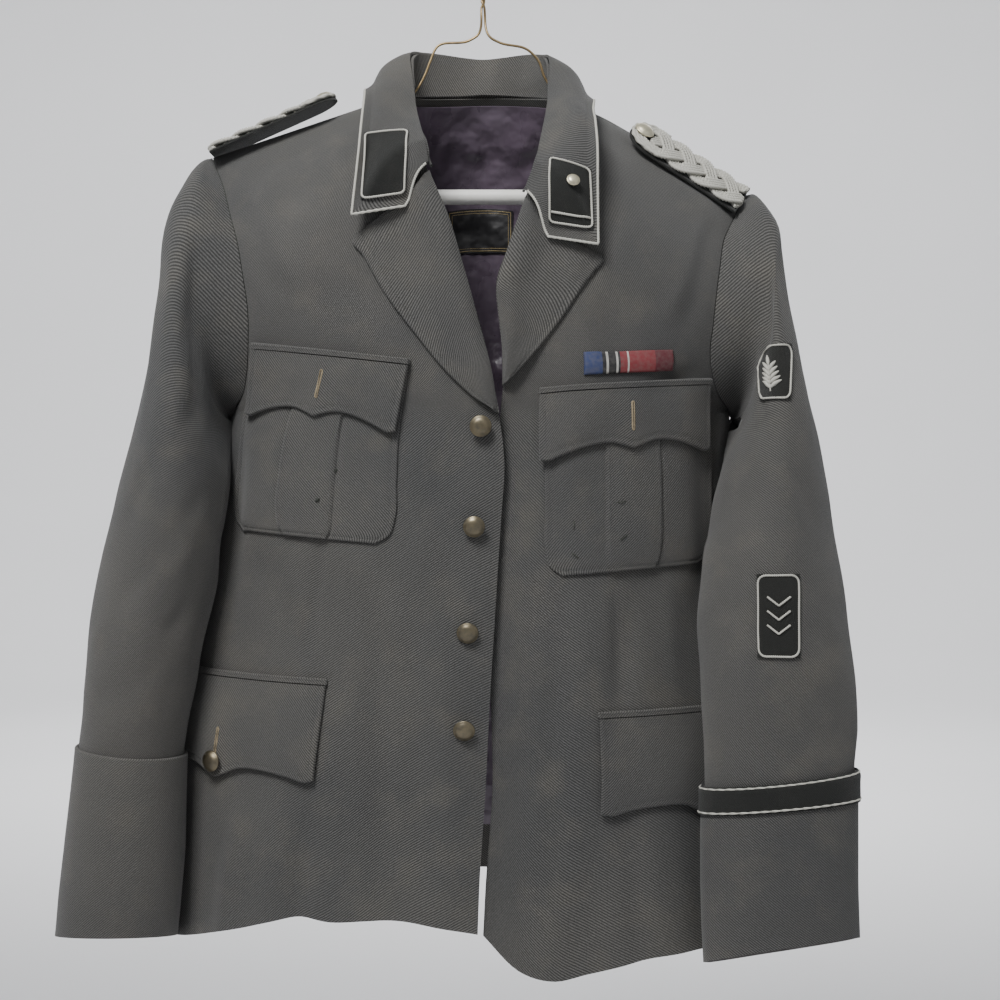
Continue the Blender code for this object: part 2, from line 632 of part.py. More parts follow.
def hem_height(table, x):
    """Height of the hem over x."""
    return float(np.interp(x, table[:, 0], table[:, 1]))


def front_grid(side):
    """Outer face of a front: rows from hem to shoulder, columns from edge to armhole."""
    neck, tip = (RIGHT_NECK, RIGHT_TIP) if side < 0 else (LEFT_NECK, LEFT_TIP)
    shares = np.linspace(0.0, 1.0, FRONT_COLUMNS + 1)
    rows = []
    for rise in np.linspace(0.0, 1.0, LOWER_ROWS + 1)[:-1]:
        row = []
        for share in shares:
            z = UNDERARM_Z
            for _ in range(4):
                inner = edge_x(side, z)
                outer = side * side_width(side, z)
                x = spread(inner, outer, abs(outer), abs(outer), share)
                z = hem_height(FRONT_HEM, x) * (1.0 - rise) + UNDERARM_Z * rise
            row.append((x, z))
        rows.append(row)
    top = []
    for share in shares:
        width = side_width(side, tip[1])
        top.append(spread(neck[0], tip[0], width, width, share))
    for rise in upper_shares():
        z_in = UNDERARM_Z + (neck[1] - UNDERARM_Z) * rise
        z_out = UNDERARM_Z + (tip[1] - UNDERARM_Z) * rise
        inner = edge_x(side, z_in)
        outer = armhole_x(side, True, z_out)
        row = []
        for share, top_x in zip(shares, top):
            z = UNDERARM_Z + (shoulder_height(top_x) - UNDERARM_Z) * rise
            x = spread(inner, outer, side_width(side, z_in), side_width(side, z_out), share)
            row.append((x, z))
        rows.append(row)
    grid = np.array([[(x, body_y(side, True, side * max(side * x, 0.0) or x, z), z)
                      for x, z in row] for row in rows])
    return grid


def back_grid():
    """Outer face of the back: rows from hem to shoulder, columns from right to left."""
    shares = np.linspace(0.0, 1.0, BACK_COLUMNS + 1)
    rows = []
    for rise in np.linspace(0.0, 1.0, LOWER_ROWS + 1)[:-1]:
        row = []
        for share in shares:
            z = UNDERARM_Z
            for _ in range(4):
                right = -side_width(-1, z)
                left = side_width(1, z)
                x = spread(right, left, -right, left, share)
                z = hem_height(BACK_HEM, x) * (1.0 - rise) + UNDERARM_Z * rise
            row.append((x, z))
        rows.append(row)
    width = side_width(-1, RIGHT_TIP[1])
    top = [spread(RIGHT_TIP[0], LEFT_TIP[0], width, width, share) for share in shares]
    for rise in upper_shares():
        z_right = UNDERARM_Z + (RIGHT_TIP[1] - UNDERARM_Z) * rise
        z_left = UNDERARM_Z + (LEFT_TIP[1] - UNDERARM_Z) * rise
        right = armhole_x(-1, False, z_right)
        left = armhole_x(1, False, z_left)
        row = []
        for share, top_x in zip(shares, top):
            z = UNDERARM_Z + (back_top_height(top_x) - UNDERARM_Z) * rise
            x = spread(right, left, side_width(-1, z_right), side_width(1, z_left), share)
            row.append((x, z))
        rows.append(row)
    return np.array([[(x, body_y(-1 if x < 0 else 1, False, x, z), z) for x, z in row]
                     for row in rows])


def outward_of(grid):
    """Rough outward direction at each point of a body grid."""
    outward = grid.copy()
    outward[:, :, 0] *= OUTWARD_SPREAD
    outward[:, :, 2] = 0.0
    return outward


def flatten_seams(normals, seam_columns, shoulder_from):
    """Normals at the seams lie in the plane of the seam, so that two walls can butt."""
    for column in seam_columns:
        normals[:LOWER_ROWS + 1, column, 1:] = 0.0
    normals[-1, shoulder_from, 1] = 0.0
    size = np.linalg.norm(normals, axis=2, keepdims=True)
    return normals / np.maximum(size, 1e-12)


def build_front(name, side):
    """One front."""
    grid = front_grid(side)
    grid[:, :, 1] -= SEAM_GAP / 2.0
    outward = outward_of(grid)
    outward[-3:, :, 2] = 1.0
    normals = grid_normals(grid, outward)
    normals = flatten_seams(normals, [FRONT_COLUMNS], slice(0, None))
    close_grids(name, grid, grid - normals * BODY_WALL, "cloth")


def build_back():
    """Back and the lining that shows through the open front; gives the lining's inner face."""
    grid = back_grid()
    grid[:, :, 1] += SEAM_GAP / 2.0
    outward = outward_of(grid)
    outward[-3:, :, 2] = 1.0
    normals = grid_normals(grid, outward)
    shoulders = np.abs(grid[-1, :, 0]) >= abs(LEFT_NECK[0]) - EDGE_ROOM
    for column in np.nonzero(shoulders)[0]:
        normals = flatten_seams(normals, [], slice(column, column + 1))
    normals = flatten_seams(normals, [0, BACK_COLUMNS], slice(0, 1))
    close_grids("back", grid, grid - normals * BODY_WALL, "cloth")
    outer = (grid - normals * (BODY_WALL + REST_GAP))[1:-3, 1:-1]
    inner = outer - normals[1:-3, 1:-1] * LINING_WALL
    close_grids("back_lining", outer, inner, "lining")
    return inner


def build_lapel(name, side, table):
    """Lapel folded back over its front."""
    steps = np.linspace(0.0, 1.0, LAPEL_COLUMNS + 1)
    outline = np.zeros((len(table), LAPEL_COLUMNS + 1, 2))
    lifts = np.zeros(outline.shape[:2])
    for row, (roll_x, roll_z, tip_x, tip_z) in enumerate(table):
        for column, step in enumerate(steps):
            share = step ** LAPEL_SPREAD
            x = roll_x + share * (tip_x - roll_x)
            z = roll_z + share * (tip_z - roll_z)
            outline[row, column] = (reach_of(side, x, z), z)
            distance = share * math.hypot(tip_x - roll_x, tip_z - roll_z)
            roll = LAPEL_ROLL * math.exp(-(((distance - LAPEL_ROLL_AT) / LAPEL_ROLL_WIDTH) ** 2))
            lifts[row, column] = LAPEL_GAP + roll * min(distance / LAPEL_RISE, 1.0)
    walls = np.full(lifts.shape, LAPEL_WALL)
    patch(name, side, outline, lifts, walls, "cloth")


def collar_seam(station):
    """Point of the neck seam at a collar station."""
    seam_x, seam_z, _, crease_y = station[:4]
    side = -1 if seam_x < 0 else 1
    if crease_y < SHOULDER_SEAM_Y:
        x = edge_x(side, seam_z)
        return np.array([x, body_y(side, True, x, seam_z) - SEAM_GAP / 2.0, seam_z])
    z = neck_height(seam_x)
    return np.array([seam_x, body_y(side, False, seam_x, z) + SEAM_GAP / 2.0, z])


def between_rows(table, corners):
    """Table with a row added half way between each two, on a curve that is smooth but at corners."""
    rows = [table[0]]
    for index in range(len(table) - 1):
        first, second = table[index], table[index + 1]
        before = table[max(index - 1, 0)]
        after = table[min(index + 2, len(table) - 1)]
        if index in corners or index + 1 in corners:
            before, after = first, second
        rows.append((9.0 * (first + second) - before - after) / 16.0)
        rows.append(second)
    return np.array(rows)


def over_the_body(point):
    """Point of the collar fall moved clear of the fronts and the back."""
    x, y, z = point
    side = -1 if x < 0.0 else 1
    if z > shoulder_height(x) - EDGE_ROOM:
        return point
    if y < 0.0 and abs(x) > abs(edge_x(side, z)) - EDGE_ROOM:
        point[1] = min(y, body_y(side, True, x, z) - FALL_REST)
    if y > 0.0 and z < back_top_height(x) + EDGE_ROOM:
        point[1] = max(y, body_y(side, False, x, z) + FALL_REST)
    return point


def build_collar():
    """Stand up from the neck seam and fall over it."""
    stations = between_rows(COLLAR, COLLAR_CORNERS)
    seams = np.array([collar_seam(station) for station in stations])
    creases = stations[:, 2:5]
    edges = stations[:, 5:8]
    away = creases.copy()
    away[:, 2] = 0.0
    away /= np.linalg.norm(away, axis=1, keepdims=True)
    foot = seams + np.array([0.0, 0.0, STAND_RISE])
    foot[:, 0] -= np.sign(seams[:, 0]) * np.where(seams[:, 1] < SHOULDER_SEAM_Y, STAND_INSET, 0.0)
    stand = np.array([foot * (1.0 - share) + creases * share for share in STAND_LEVELS])
    normals = grid_normals(stand, np.broadcast_to(away, stand.shape))
    close_grids("collar_stand", stand, stand - normals * COLLAR_WALL, "cloth")
    start = creases + away * 3.0 * SEAM_GAP + np.array([0.0, 0.0, 2.0 * SEAM_GAP])
    size = np.linalg.norm(edges - creases, axis=1, keepdims=True)
    lift = np.array([0.0, 0.0, FALL_LIFT[1]]) + FALL_LIFT[0] * away
    rows = []
    for share in np.linspace(0.0, 1.0, FALL_ROWS + 1):
        bulge = FALL_BULGE * math.sin(math.pi * min(share / FALL_BULGE_END, 1.0))
        row = start * (1.0 - share) + edges * share + lift * bulge * (size / FALL_BULGE_SIZE)
        rows.append([over_the_body(point) if share > 0.0 else point for point in row])
    fall = np.array(rows)
    outward = np.broadcast_to(away + np.array([0.0, 0.0, FALL_FACING]), fall.shape)
    normals = grid_normals(fall, outward)
    close_grids("collar_fall", fall + normals * COLLAR_WALL, fall, "cloth")
    return fall, normals


def armhole_ring(side):
    """Loop of the armhole, from the shoulder tip by the front to the underarm and back."""
    tip = RIGHT_TIP if side < 0 else LEFT_TIP
    middle = (tip[1] + UNDERARM_Z) / 2.0
    half = (tip[1] - UNDERARM_Z) / 2.0
    ring = []
    for index in range(AROUND):
        turn = 2.0 * math.pi * index / AROUND
        z = middle + half * math.cos(turn)
        front = turn <= math.pi + 1e-9
        x = armhole_x(side, front, z)
        y = body_y(side, front, x, z)
        if index in (0, AROUND // 2):
            y = body_row(z)[0]
        ring.append((x + side * 2.0 * SEAM_GAP, y, z))
    return np.array(ring)


def oval_ring(row, inset=0.0, pitch=0.0):
    """Ring of a sleeve from a table row, its walls inset."""
    top_x, top_z, under_x, under_z, middle_y, half_depth = row
    top = np.array([top_x, middle_y, top_z])
    under = np.array([under_x, middle_y, under_z])
    centre = (top + under) / 2.0
    arm = (top - under) / 2.0
    size = np.linalg.norm(arm)
    ring = []
    for index in range(AROUND):
        turn = 2.0 * math.pi * index / AROUND
        point = centre + unit(arm) * (size - inset) * math.cos(turn)
        point[1] -= (half_depth - inset) * math.sin(turn)
        point[2] += pitch * math.sin(turn)
        ring.append(point)
    return np.array(ring)


def clear_of_body(side, ring):
    """Move the points of a ring out of the body and its room."""
    for point in ring:
        x, y, z = point
        if z > SLEEVE_ROOM[-1, 0]:
            continue
        room = float(np.interp(z, SLEEVE_ROOM[:, 0], SLEEVE_ROOM[:, 1]))
        seam_y, right_w, right_y, left_w, left_y, back_y = body_row(z)
        width = (right_w if side < 0 else left_w) + room
        front_y = right_y if side < 0 else left_y
        depth = (seam_y - front_y if y < seam_y else back_y - seam_y) + room
        power = 2.0 / SECTION_POWER
        away = min(abs(y - seam_y) / depth, 1.0)
        out_x = width * math.sqrt(max(0.0, 1.0 - away ** power))
        if abs(x) >= out_x:
            continue
        out_y = depth * (1.0 - (x / width) ** 2) ** (SECTION_POWER / 2.0)
        if out_x - abs(x) <= out_y - abs(y - seam_y):
            point[0] = side * out_x
        else:
            point[1] = seam_y + math.copysign(out_y, y - seam_y)
    return ring


def sleeve_rings(side, sleeve, cuff):
    """Outer rings of a sleeve from the armhole to inside its cuff."""
    rings = [armhole_ring(side)]
    rings += [clear_of_body(side, oval_ring(row)) for row in sleeve]
    inset = CUFF_WALL + 2.0 * SEAM_GAP
    for share in (0.0, 1.0):
        step = (cuff[1] - cuff[0]) * (share * SLEEVE_IN_CUFF / abs(cuff[1, 1] - cuff[0, 1]))
        rise = np.array([0.0, SEAM_GAP, 0.0, SEAM_GAP, 0.0, 0.0])
        rings.append(oval_ring(cuff[0] + step + rise, inset))
    return np.array(rings)


def ring_outward(rings):
    """Direction from the middle of each ring."""
    return rings - rings.mean(axis=1, keepdims=True)


def build_sleeve(name, side, sleeve, cuff):
    """Sleeve and its turned-back cuff."""
    rings = sleeve_rings(side, sleeve, cuff)
    normals = grid_normals(rings, ring_outward(rings), closed=True)
    normals[0, 0] = (0.0, 0.0, 1.0)
    close_grids(name + "_sleeve", rings, rings - normals * SLEEVE_WALL, "cloth", closed=True)
    cuffs = cuff_rings(cuff)
    normals = grid_normals(cuffs, ring_outward(cuffs), closed=True)
    close_grids(name + "_cuff", cuffs, cuffs - normals * CUFF_WALL, "cloth", closed=True)
    return rings, cuffs


def cuff_rings(cuff):
    """Outer rings of a cuff."""
    return np.array([oval_ring(row, 0.0, CUFF_PITCH * index / (len(cuff) - 1))
                     for index, row in enumerate(cuff)])


def build_bag(name, side, table):
    """Breast pocket bag with its box pleat."""
    outline = np.zeros((len(table), len(BAG_COLUMNS), 2))
    walls = np.full(outline.shape[:2], POCKET_WALL)
    for row, (inner_x, inner_z, outer_x, outer_z) in enumerate(table):
        inner = reach_of(side, inner_x, inner_z)
        outer = reach_of(side, outer_x, outer_z)
        for column, share in enumerate(BAG_COLUMNS):
            z = inner_z + share * (outer_z - inner_z)
            outline[row, column] = (inner + share * (outer - inner), z)
            if PLEAT[0] < share < PLEAT[1]:
                walls[row, column] += PLEAT_RISE
    patch(name, side, outline, np.full(walls.shape, PATCH_GAP), walls, "cloth")


def flap_span(flap):
    """Reach and height of the two upper corners of a flap."""
    _, side, inner_x, inner_z, outer_x, outer_z = flap[:6]
    inner = reach_of(side, inner_x, inner_z)
    outer = inner + LOWER_FLAP_WIDTH if outer_x is None else reach_of(side, outer_x, outer_z)
    return inner, inner_z, outer, outer_z


def build_flap(flap):
    """Three-pointed flap and the welt above it."""
    name, side = flap[:2]
    lean, drop_column, lift = flap[6:]
    inner, inner_z, outer, outer_z = flap_span(flap)
    levels = FLAP_LEVELS
    outline = np.zeros((len(levels), len(FLAP_EDGE), 2))
    lifts = np.zeros(outline.shape[:2])
    for row, level in enumerate(levels):
        for column, edge in enumerate(FLAP_EDGE):
            share = edge[0]
            reach = inner + share * (outer - inner) + lean * level
            z = inner_z + share * (outer_z - inner_z) - edge[drop_column] * level
            outline[row, column] = (reach, z)
            lifts[row, column] = lift + FLAP_HANG * level
    walls = np.full(lifts.shape, FLAP_WALL)
    patch(name + "_flap", side, outline, lifts, walls, "cloth")
    shares = np.linspace(0.0, 1.0, WELT_POINTS)
    strip = np.zeros((2, len(shares), 2))
    for row, rise in enumerate((WELT_HEIGHT + WELT_GAP, WELT_GAP)):
        for column, share in enumerate(shares):
            reach = inner - WELT_OVERHANG + share * (outer - inner + 2.0 * WELT_OVERHANG)
            strip[row, column] = (reach, inner_z + share * (outer_z - inner_z) + rise)
    low = np.full((2, len(shares)), PATCH_GAP + SEAM_GAP)
    walls = np.full(low.shape, WELT_WALL + lift - PATCH_GAP)
    patch(name + "_welt", side, strip, low, walls, "cloth")


def build_button(name, foot, axis):
    """Domed button, its shank standing on foot."""
    axis = unit(axis)
    across = unit(np.cross(axis, (0.0, 0.3, 1.0)))
    other = np.cross(axis, across)
    base = foot - axis * BUTTON_PROFILE[0][1]
    points = []
    for radius, height in BUTTON_PROFILE:
        for index in range(BUTTON_SIDES):
            turn = 2.0 * math.pi * index / BUTTON_SIDES
            points.append(base + axis * height
                          + (across * math.cos(turn) + other * math.sin(turn)) * radius)
    points.append(base + axis * BUTTON_TOP)
    points.append(base + axis * BUTTON_PROFILE[0][1])
    top, bottom = len(points) - 2, len(points) - 1
    last = (len(BUTTON_PROFILE) - 1) * BUTTON_SIDES
    faces = []
    for index in range(BUTTON_SIDES):
        after = (index + 1) % BUTTON_SIDES
        for ring in range(len(BUTTON_PROFILE) - 1):
            low, high = ring * BUTTON_SIDES, (ring + 1) * BUTTON_SIDES
            faces.append((low + index, low + after, high + after, high + index))
        faces.append((last + index, last + after, top))
        faces.append((after, index, bottom))
    add_object(name, points, faces, "brass")


def build_buttons():
    """Buttons on the front edge and the lower flaps."""
    for number, (x, z, droop) in enumerate(FRONT_BUTTONS, start=1):
        reach = reach_of(-1, x, z)
        foot = on_front(-1, reach, z, REST_GAP)
        axis = unit(on_front(-1, reach, z, 0.01) - foot)
        axis[2] -= math.sin(math.radians(droop))
        build_button(f"front_button_{number}", foot - np.array([0.0, BUTTON_SETBACK, 0.0]), axis)
    for flap in FLAPS[2:]:
        side = flap[1]
        inner, inner_z, outer, outer_z = flap_span(flap)
        reach = (inner + outer) / 2.0 + flap[6]
        z = (inner_z + outer_z) / 2.0 - LOWER_BUTTON_DROP
        foot = on_front(side, reach, z, flap[8] + FLAP_WALL + LOWER_BUTTON_GAP)
        axis = on_front(side, reach, z, 0.02) - foot
        build_button(flap[0] + "_button", foot, axis)


def board_axes(board):
    """Origin at the sleeve end, then the unit axes along, across and up a board."""
    neck_end, sleeve_end, roll = board
    origin = np.array(sleeve_end)
    along = np.array(neck_end) - origin
    length = np.linalg.norm(along)
    along = unit(along)
    flat = unit(np.cross(along, (0.0, 1.0, 0.0)))
    if flat[2] < 0.0:
        flat = -flat
    turn = math.radians(roll)
    forward = np.cross(flat, along)
    if forward[1] > 0.0:
        forward = -forward
    up = flat * math.cos(turn) + forward * math.sin(turn)
    across = forward * math.cos(turn) - flat * math.sin(turn)
    return origin, along, across, up, length


def build_board(name, board):
    """Shoulder board with its plait of cords and its button."""
    origin, along, across, up, length = board_axes(board)
    half = BOARD_WIDTH / 2.0
    top = np.zeros((BOARD_STEPS + 1, len(BOARD_ACROSS), 3))
    bottom = top.copy()
    for step in range(BOARD_STEPS + 1):
        reach = length * step / BOARD_STEPS
        past = max(0.0, reach - (length - half)) / half
        width = half * max(BOARD_TIP, math.sqrt(max(0.0, 1.0 - past * past)))
        width *= 1.0 + BOARD_SCALLOP * math.cos(math.pi * step)
        for column, share in enumerate(BOARD_ACROSS):
            place = origin + along * reach + across * (width * share)
            crest = abs(math.sin(2.0 * math.pi * share))
            crest *= 1.0 - BRAID_DIP + BRAID_DIP * math.cos(math.pi * step)
            bottom[step, column] = place
            top[step, column] = place + up * (BOARD_BASE + BOARD_CORD * crest)
    close_grids(name + "_board", top, bottom, "silver_cord")
    foot = origin + along * (length - half + BOARD_BUTTON_AT)
    build_button(name + "_board_button", foot + up * (BOARD_BASE + REST_GAP), up)


def sample_grid(grid, row, column):
    """Point of a grid between its rows and columns, the columns taken round."""
    low_row = min(int(row), len(grid) - 2)
    columns = grid.shape[1]
    low = int(math.floor(column))
    down, right = row - low_row, column - low
    first, second = low % columns, (low + 1) % columns
    upper = grid[low_row, first] * (1 - right) + grid[low_row, second] * right
    lower = grid[low_row + 1, first] * (1 - right) + grid[low_row + 1, second] * right
    return upper * (1 - down) + lower * down


def place_on(grid, x, z, rows, columns):
    """Row and column of a grid at x, z, looked for between two rows and two columns."""
    goal = np.array([x, z])
    places = [(row, column) for row in np.linspace(*rows, SEARCH_STEPS)
              for column in np.linspace(*columns, SEARCH_STEPS)]
    row, column = min(places, key=lambda place: np.linalg.norm(
        sample_grid(grid, *place)[[0, 2]] - goal))
    for _ in range(SEARCH_STEPS):
        here = sample_grid(grid, row, column)[[0, 2]]
        down = (sample_grid(grid, row + SEARCH_TRY, column)[[0, 2]] - here) / SEARCH_TRY
        right = (sample_grid(grid, row, column + SEARCH_TRY)[[0, 2]] - here) / SEARCH_TRY
        step = np.linalg.solve(np.array([down, right]).T, goal - here)
        row = float(np.clip(row + step[0], *rows))
        column = float(np.clip(column + step[1], *columns))
    return row, column


def grid_patch(name, grid, normals, corners, rows, columns, gap, material):
    """Piece that lies on a grid, between four corners given as x, z."""
    upper_left, upper_right, lower_right, lower_left = np.array(corners)
    steps = np.linspace(0.0, 1.0, PATCH_CELLS + 1)
    points = np.zeros((len(steps), len(steps), 3))
    for row, down in enumerate(steps):
        first = upper_left + down * (lower_left - upper_left)
        last = upper_right + down * (lower_right - upper_right)
        for column, across in enumerate(steps):
            x, z = first + across * (last - first)
            place = place_on(grid, x, z, rows, columns)
            away = unit(sample_grid(normals, *place))
            points[row, column] = sample_grid(grid, *place) + away * gap
    toward = grid_normals(points, np.broadcast_to(sample_grid(normals, *place), points.shape))
    close_grids(name, points + toward * BADGE_WALL, points, material)


def build_collar_patches(fall, normals):
    """Generic patches on the two front ends of the collar."""
    top = fall + normals * COLLAR_WALL
    for name, corners, rows, columns, gap in COLLAR_PATCHES:
        grid_patch(name, top, normals, corners, rows, columns, gap, "cloth_dark")


def build_sleeve_badges(rings, cuffs):
    """Generic badges and the plain band on the left sleeve."""
    normals = grid_normals(rings, ring_outward(rings), closed=True)
    for name, corners, rows, columns, gap in SLEEVE_BADGES:
        grid_patch(name, rings, normals, corners, rows, columns, gap, "cloth_dark")
    normals = grid_normals(cuffs, ring_outward(cuffs), closed=True)
    band = np.array([[sample_grid(cuffs, row, column) for column in range(AROUND)]
                     for row in BAND_ROWS])
    away = np.array([[unit(sample_grid(normals, row, column)) for column in range(AROUND)]
                     for row in BAND_ROWS])
    close_grids("cuff_band", band + away * (REST_GAP + BADGE_WALL), band + away * REST_GAP,
                "cloth_dark", closed=True)


def build_ribbon_bar():
    """Ribbon bar above the left breast pocket."""
    x0, z0, x1, z1 = RIBBON
    shares = np.linspace(0.0, 1.0, RIBBON_POINTS)
    outline = np.zeros((3, len(shares), 2))
    for row, rise in enumerate((0.5, 0.0, -0.5)):
        for column, share in enumerate(shares):
            z = z0 + share * (z1 - z0)
            reach = reach_of(1, x0 + share * (x1 - x0), z)
            outline[row, column] = (reach, z + rise * RIBBON_HEIGHT)
    lifts = np.full(outline.shape[:2], REST_GAP)
    walls = np.full(lifts.shape, RIBBON_WALL)
    walls[1] += RIBBON_CROWN
    patch("ribbon_bar", 1, outline, lifts, walls, "ribbon")


def build_label(lining):
    """Bare neck label on the lining."""
    x0, z0, x1, z1 = LABEL
    heights = lining[:, lining.shape[1] // 2, 2]
    label = np.zeros((3, 5, 3))
    for row, z in enumerate(np.linspace(z0, z1, 3)):
        level = float(np.interp(z, heights, range(len(heights))))
        for column, x in enumerate(np.linspace(x0, x1, 5)):
            line = np.array([sample_grid(lining, level, step) for step in range(lining.shape[1])])
            place = float(np.interp(x, line[:, 0], range(len(line))))
            label[row, column] = sample_grid(lining, level, place)
    toward = np.array([0.0, -1.0, 0.0])
    near = label + toward * (REST_GAP + LINING_WALL)
    close_grids("neck_label", near, label + toward * REST_GAP, "label")


def sweep(name, path, radius, sides, material):
    """Round bar along a path."""
    path = np.array(path)
    tangents = np.gradient(path, axis=0)
    side = unit(np.cross(tangents[0], (0.0, 1.0, 0.0)))
    points = []
    for place, tangent in zip(path, tangents):
        tangent = unit(tangent)
        side = unit(side - tangent * np.dot(side, tangent))
        other = np.cross(tangent, side)
        for index in range(sides):
            turn = 2.0 * math.pi * index / sides
            points.append(place + (side * math.cos(turn) + other * math.sin(turn)) * radius)
    faces = [tuple(range(sides)), tuple(range(len(points) - sides, len(points)))[::-1]]
    for ring in range(len(path) - 1):
        for index in range(sides):
            after = (index + 1) % sides
            low, high = ring * sides, (ring + 1) * sides
            faces.append((low + index, high + index, high + after, low + after))
    add_object(name, points, faces, material)


def build_hanger():
    """Hook and arm wires twisted together, and the tube that they hold."""
    wire = HOOK_RADIUS + WIRE_RADIUS
    middle_z = WIRE_RADIUS - wire
    hook = [(wire * math.cos(math.radians(turn)), 0.0,
             middle_z + wire * math.sin(math.radians(turn))) for turn in range(205, -51, -15)]
    hook += [(x, 0.0, z) for x, z in HOOK_TAIL]
    twist = WIRE_RADIUS + SEAM_GAP / 2.0
    steps = 22
    turns = [2.0 * math.pi * TWIST_TURNS * step / steps for step in range(steps + 1)]
    heights = np.linspace(TWIST_TOP, TWIST_BOTTOM, steps + 1)
    right = [(twist * math.cos(turn), twist * math.sin(turn), z)
             for turn, z in zip(turns, heights)]
    left = [(-twist * math.cos(turn), -twist * math.sin(turn), z)
            for turn, z in zip(turns, heights)]
    right_arm = [(x, 0.0, z) for x, z in RIGHT_ARM]
    left_arm = [(x, 0.0, z) for x, z in LEFT_ARM]
    sweep("hanger_hook_wire", hook + right + right_arm,
          WIRE_RADIUS, WIRE_SIDES, "wire")
    sweep("hanger_arm_wire", left + left_arm,
          WIRE_RADIUS, WIRE_SIDES, "wire")
    end = TUBE_HALF
    sweep("hanger_tube", [(-end, 0.0, TUBE_Z), (0.0, 0.0, TUBE_Z), (end, 0.0, TUBE_Z)],
          TUBE_RADIUS, 16, "tube")


def main():
    """Build every piece of the tunic and its hanger."""
    for old in list(bpy.data.objects):
        bpy.data.objects.remove(old, do_unlink=True)
    build_hanger()
    lining = build_back()
    build_front("right_front", -1)
    build_front("left_front", 1)
    build_lapel("right_lapel", -1, RIGHT_LAPEL)
    build_lapel("left_lapel", 1, LEFT_LAPEL)
    fall, normals = build_collar()
    build_collar_patches(fall, normals)
    build_sleeve("right", -1, RIGHT_SLEEVE, RIGHT_CUFF)
    rings, cuffs = build_sleeve("left", 1, LEFT_SLEEVE, LEFT_CUFF)
    build_sleeve_badges(rings, cuffs)
    build_bag("right_breast_bag", -1, RIGHT_BAG)
    build_bag("left_breast_bag", 1, LEFT_BAG)
    for flap in FLAPS:
        build_flap(flap)
    build_buttons()
    build_board("right", RIGHT_BOARD)
    build_board("left", LEFT_BOARD)
    build_ribbon_bar()
    build_label(lining)


main()
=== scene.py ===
"""Looks of the officer's tunic that hangs open on its wire hanger.

Metres, +Z up. The origin is the inside top of the hook, the front faces -Y, and sides
are named for the wearer, so the wearer's right is at -X. The tables of the first part
are the tunic's own sizes, from which the solids are cut as well.
"""

import logging
import math
from dataclasses import dataclass
from enum import Enum
from functools import lru_cache
from typing import Any, Iterable, Sequence

import bpy
import numpy as np
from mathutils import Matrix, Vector, noise


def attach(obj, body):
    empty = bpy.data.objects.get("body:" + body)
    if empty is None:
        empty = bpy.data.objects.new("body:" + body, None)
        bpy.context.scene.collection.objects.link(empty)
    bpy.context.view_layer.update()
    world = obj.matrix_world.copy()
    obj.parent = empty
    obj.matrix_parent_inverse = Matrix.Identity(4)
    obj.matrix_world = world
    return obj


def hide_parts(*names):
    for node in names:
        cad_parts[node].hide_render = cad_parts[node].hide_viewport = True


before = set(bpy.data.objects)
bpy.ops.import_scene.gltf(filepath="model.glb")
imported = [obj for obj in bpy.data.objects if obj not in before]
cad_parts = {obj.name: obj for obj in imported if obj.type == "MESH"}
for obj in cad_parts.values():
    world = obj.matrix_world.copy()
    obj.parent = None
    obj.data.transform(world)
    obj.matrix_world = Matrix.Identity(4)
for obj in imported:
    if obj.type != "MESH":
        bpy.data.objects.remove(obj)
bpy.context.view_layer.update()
LOG = logging.getLogger("tunic")
BODY = "root"
Array = np.ndarray

# Cloth walls and the gaps between pieces
BODY_WALL = 0.0018
SLEEVE_WALL = 0.0018
CUFF_WALL = 0.0025
LAPEL_WALL = 0.0024
COLLAR_WALL = 0.0022
POCKET_WALL = 0.0014
FLAP_WALL = 0.0022
WELT_WALL = 0.0022
LINING_WALL = 0.0010
BADGE_WALL = 0.0012
SEAM_GAP = 0.0003
REST_GAP = 0.0005
PATCH_GAP = 0.0012

# Mesh steps
AROUND = 24
SEARCH_STEPS = 12
SEARCH_TRY = 0.02
NORMAL_STEP = 0.004
EDGE_ROOM = 0.004
OUTWARD_SPREAD = 0.35
LOWER_ROWS = 10
FRONT_COLUMNS = 14
BACK_COLUMNS = 16

# Body section
SECTION_POWER = 0.8
SHOULDER_DROP = 0.14
SHOULDER_POWER = 0.85
UNDERARM_Z = -0.44

# Main garment points: x, z
RIGHT_NECK = (-0.076, -0.165)
RIGHT_TIP = (-0.2337, -0.218)
LEFT_NECK = (0.075, -0.168)
LEFT_TIP = (0.2267, -0.250)
BACK_NECK_Z = -0.154
NECK_RIDGE_RISE = 0.054

# Body rows: z, seam_y, right_w, right_front_y, left_w, left_front_y, back_y
BODY_ROWS = np.array([
    (-0.920, 0.030, 0.277, -0.119, 0.257, -0.123, 0.122),
    (-0.870, 0.030, 0.2755, -0.118, 0.255, -0.122, 0.120),
    (-0.780, 0.030, 0.270, -0.115, 0.247, -0.119, 0.112),
    (-0.700, 0.028, 0.262, -0.112, 0.238, -0.116, 0.106),
    (-0.600, 0.024, 0.245, -0.108, 0.222, -0.112, 0.098),
    (-0.520, 0.018, 0.228, -0.107, 0.214, -0.110, 0.096),
    (-0.440, 0.010, 0.213, -0.105, 0.211, -0.108, 0.098),
    (-0.400, 0.005, 0.222, -0.104, 0.222, -0.106, 0.098),
    (-0.350, 0.002, 0.236, -0.102, 0.236, -0.104, 0.097),
    (-0.300, 0.000, 0.246, -0.100, 0.246, -0.102, 0.095),
    (-0.250, 0.000, 0.250, -0.098, 0.250, -0.100, 0.092),
    (-0.140, 0.000, 0.250, -0.092, 0.250, -0.094, 0.085),
])

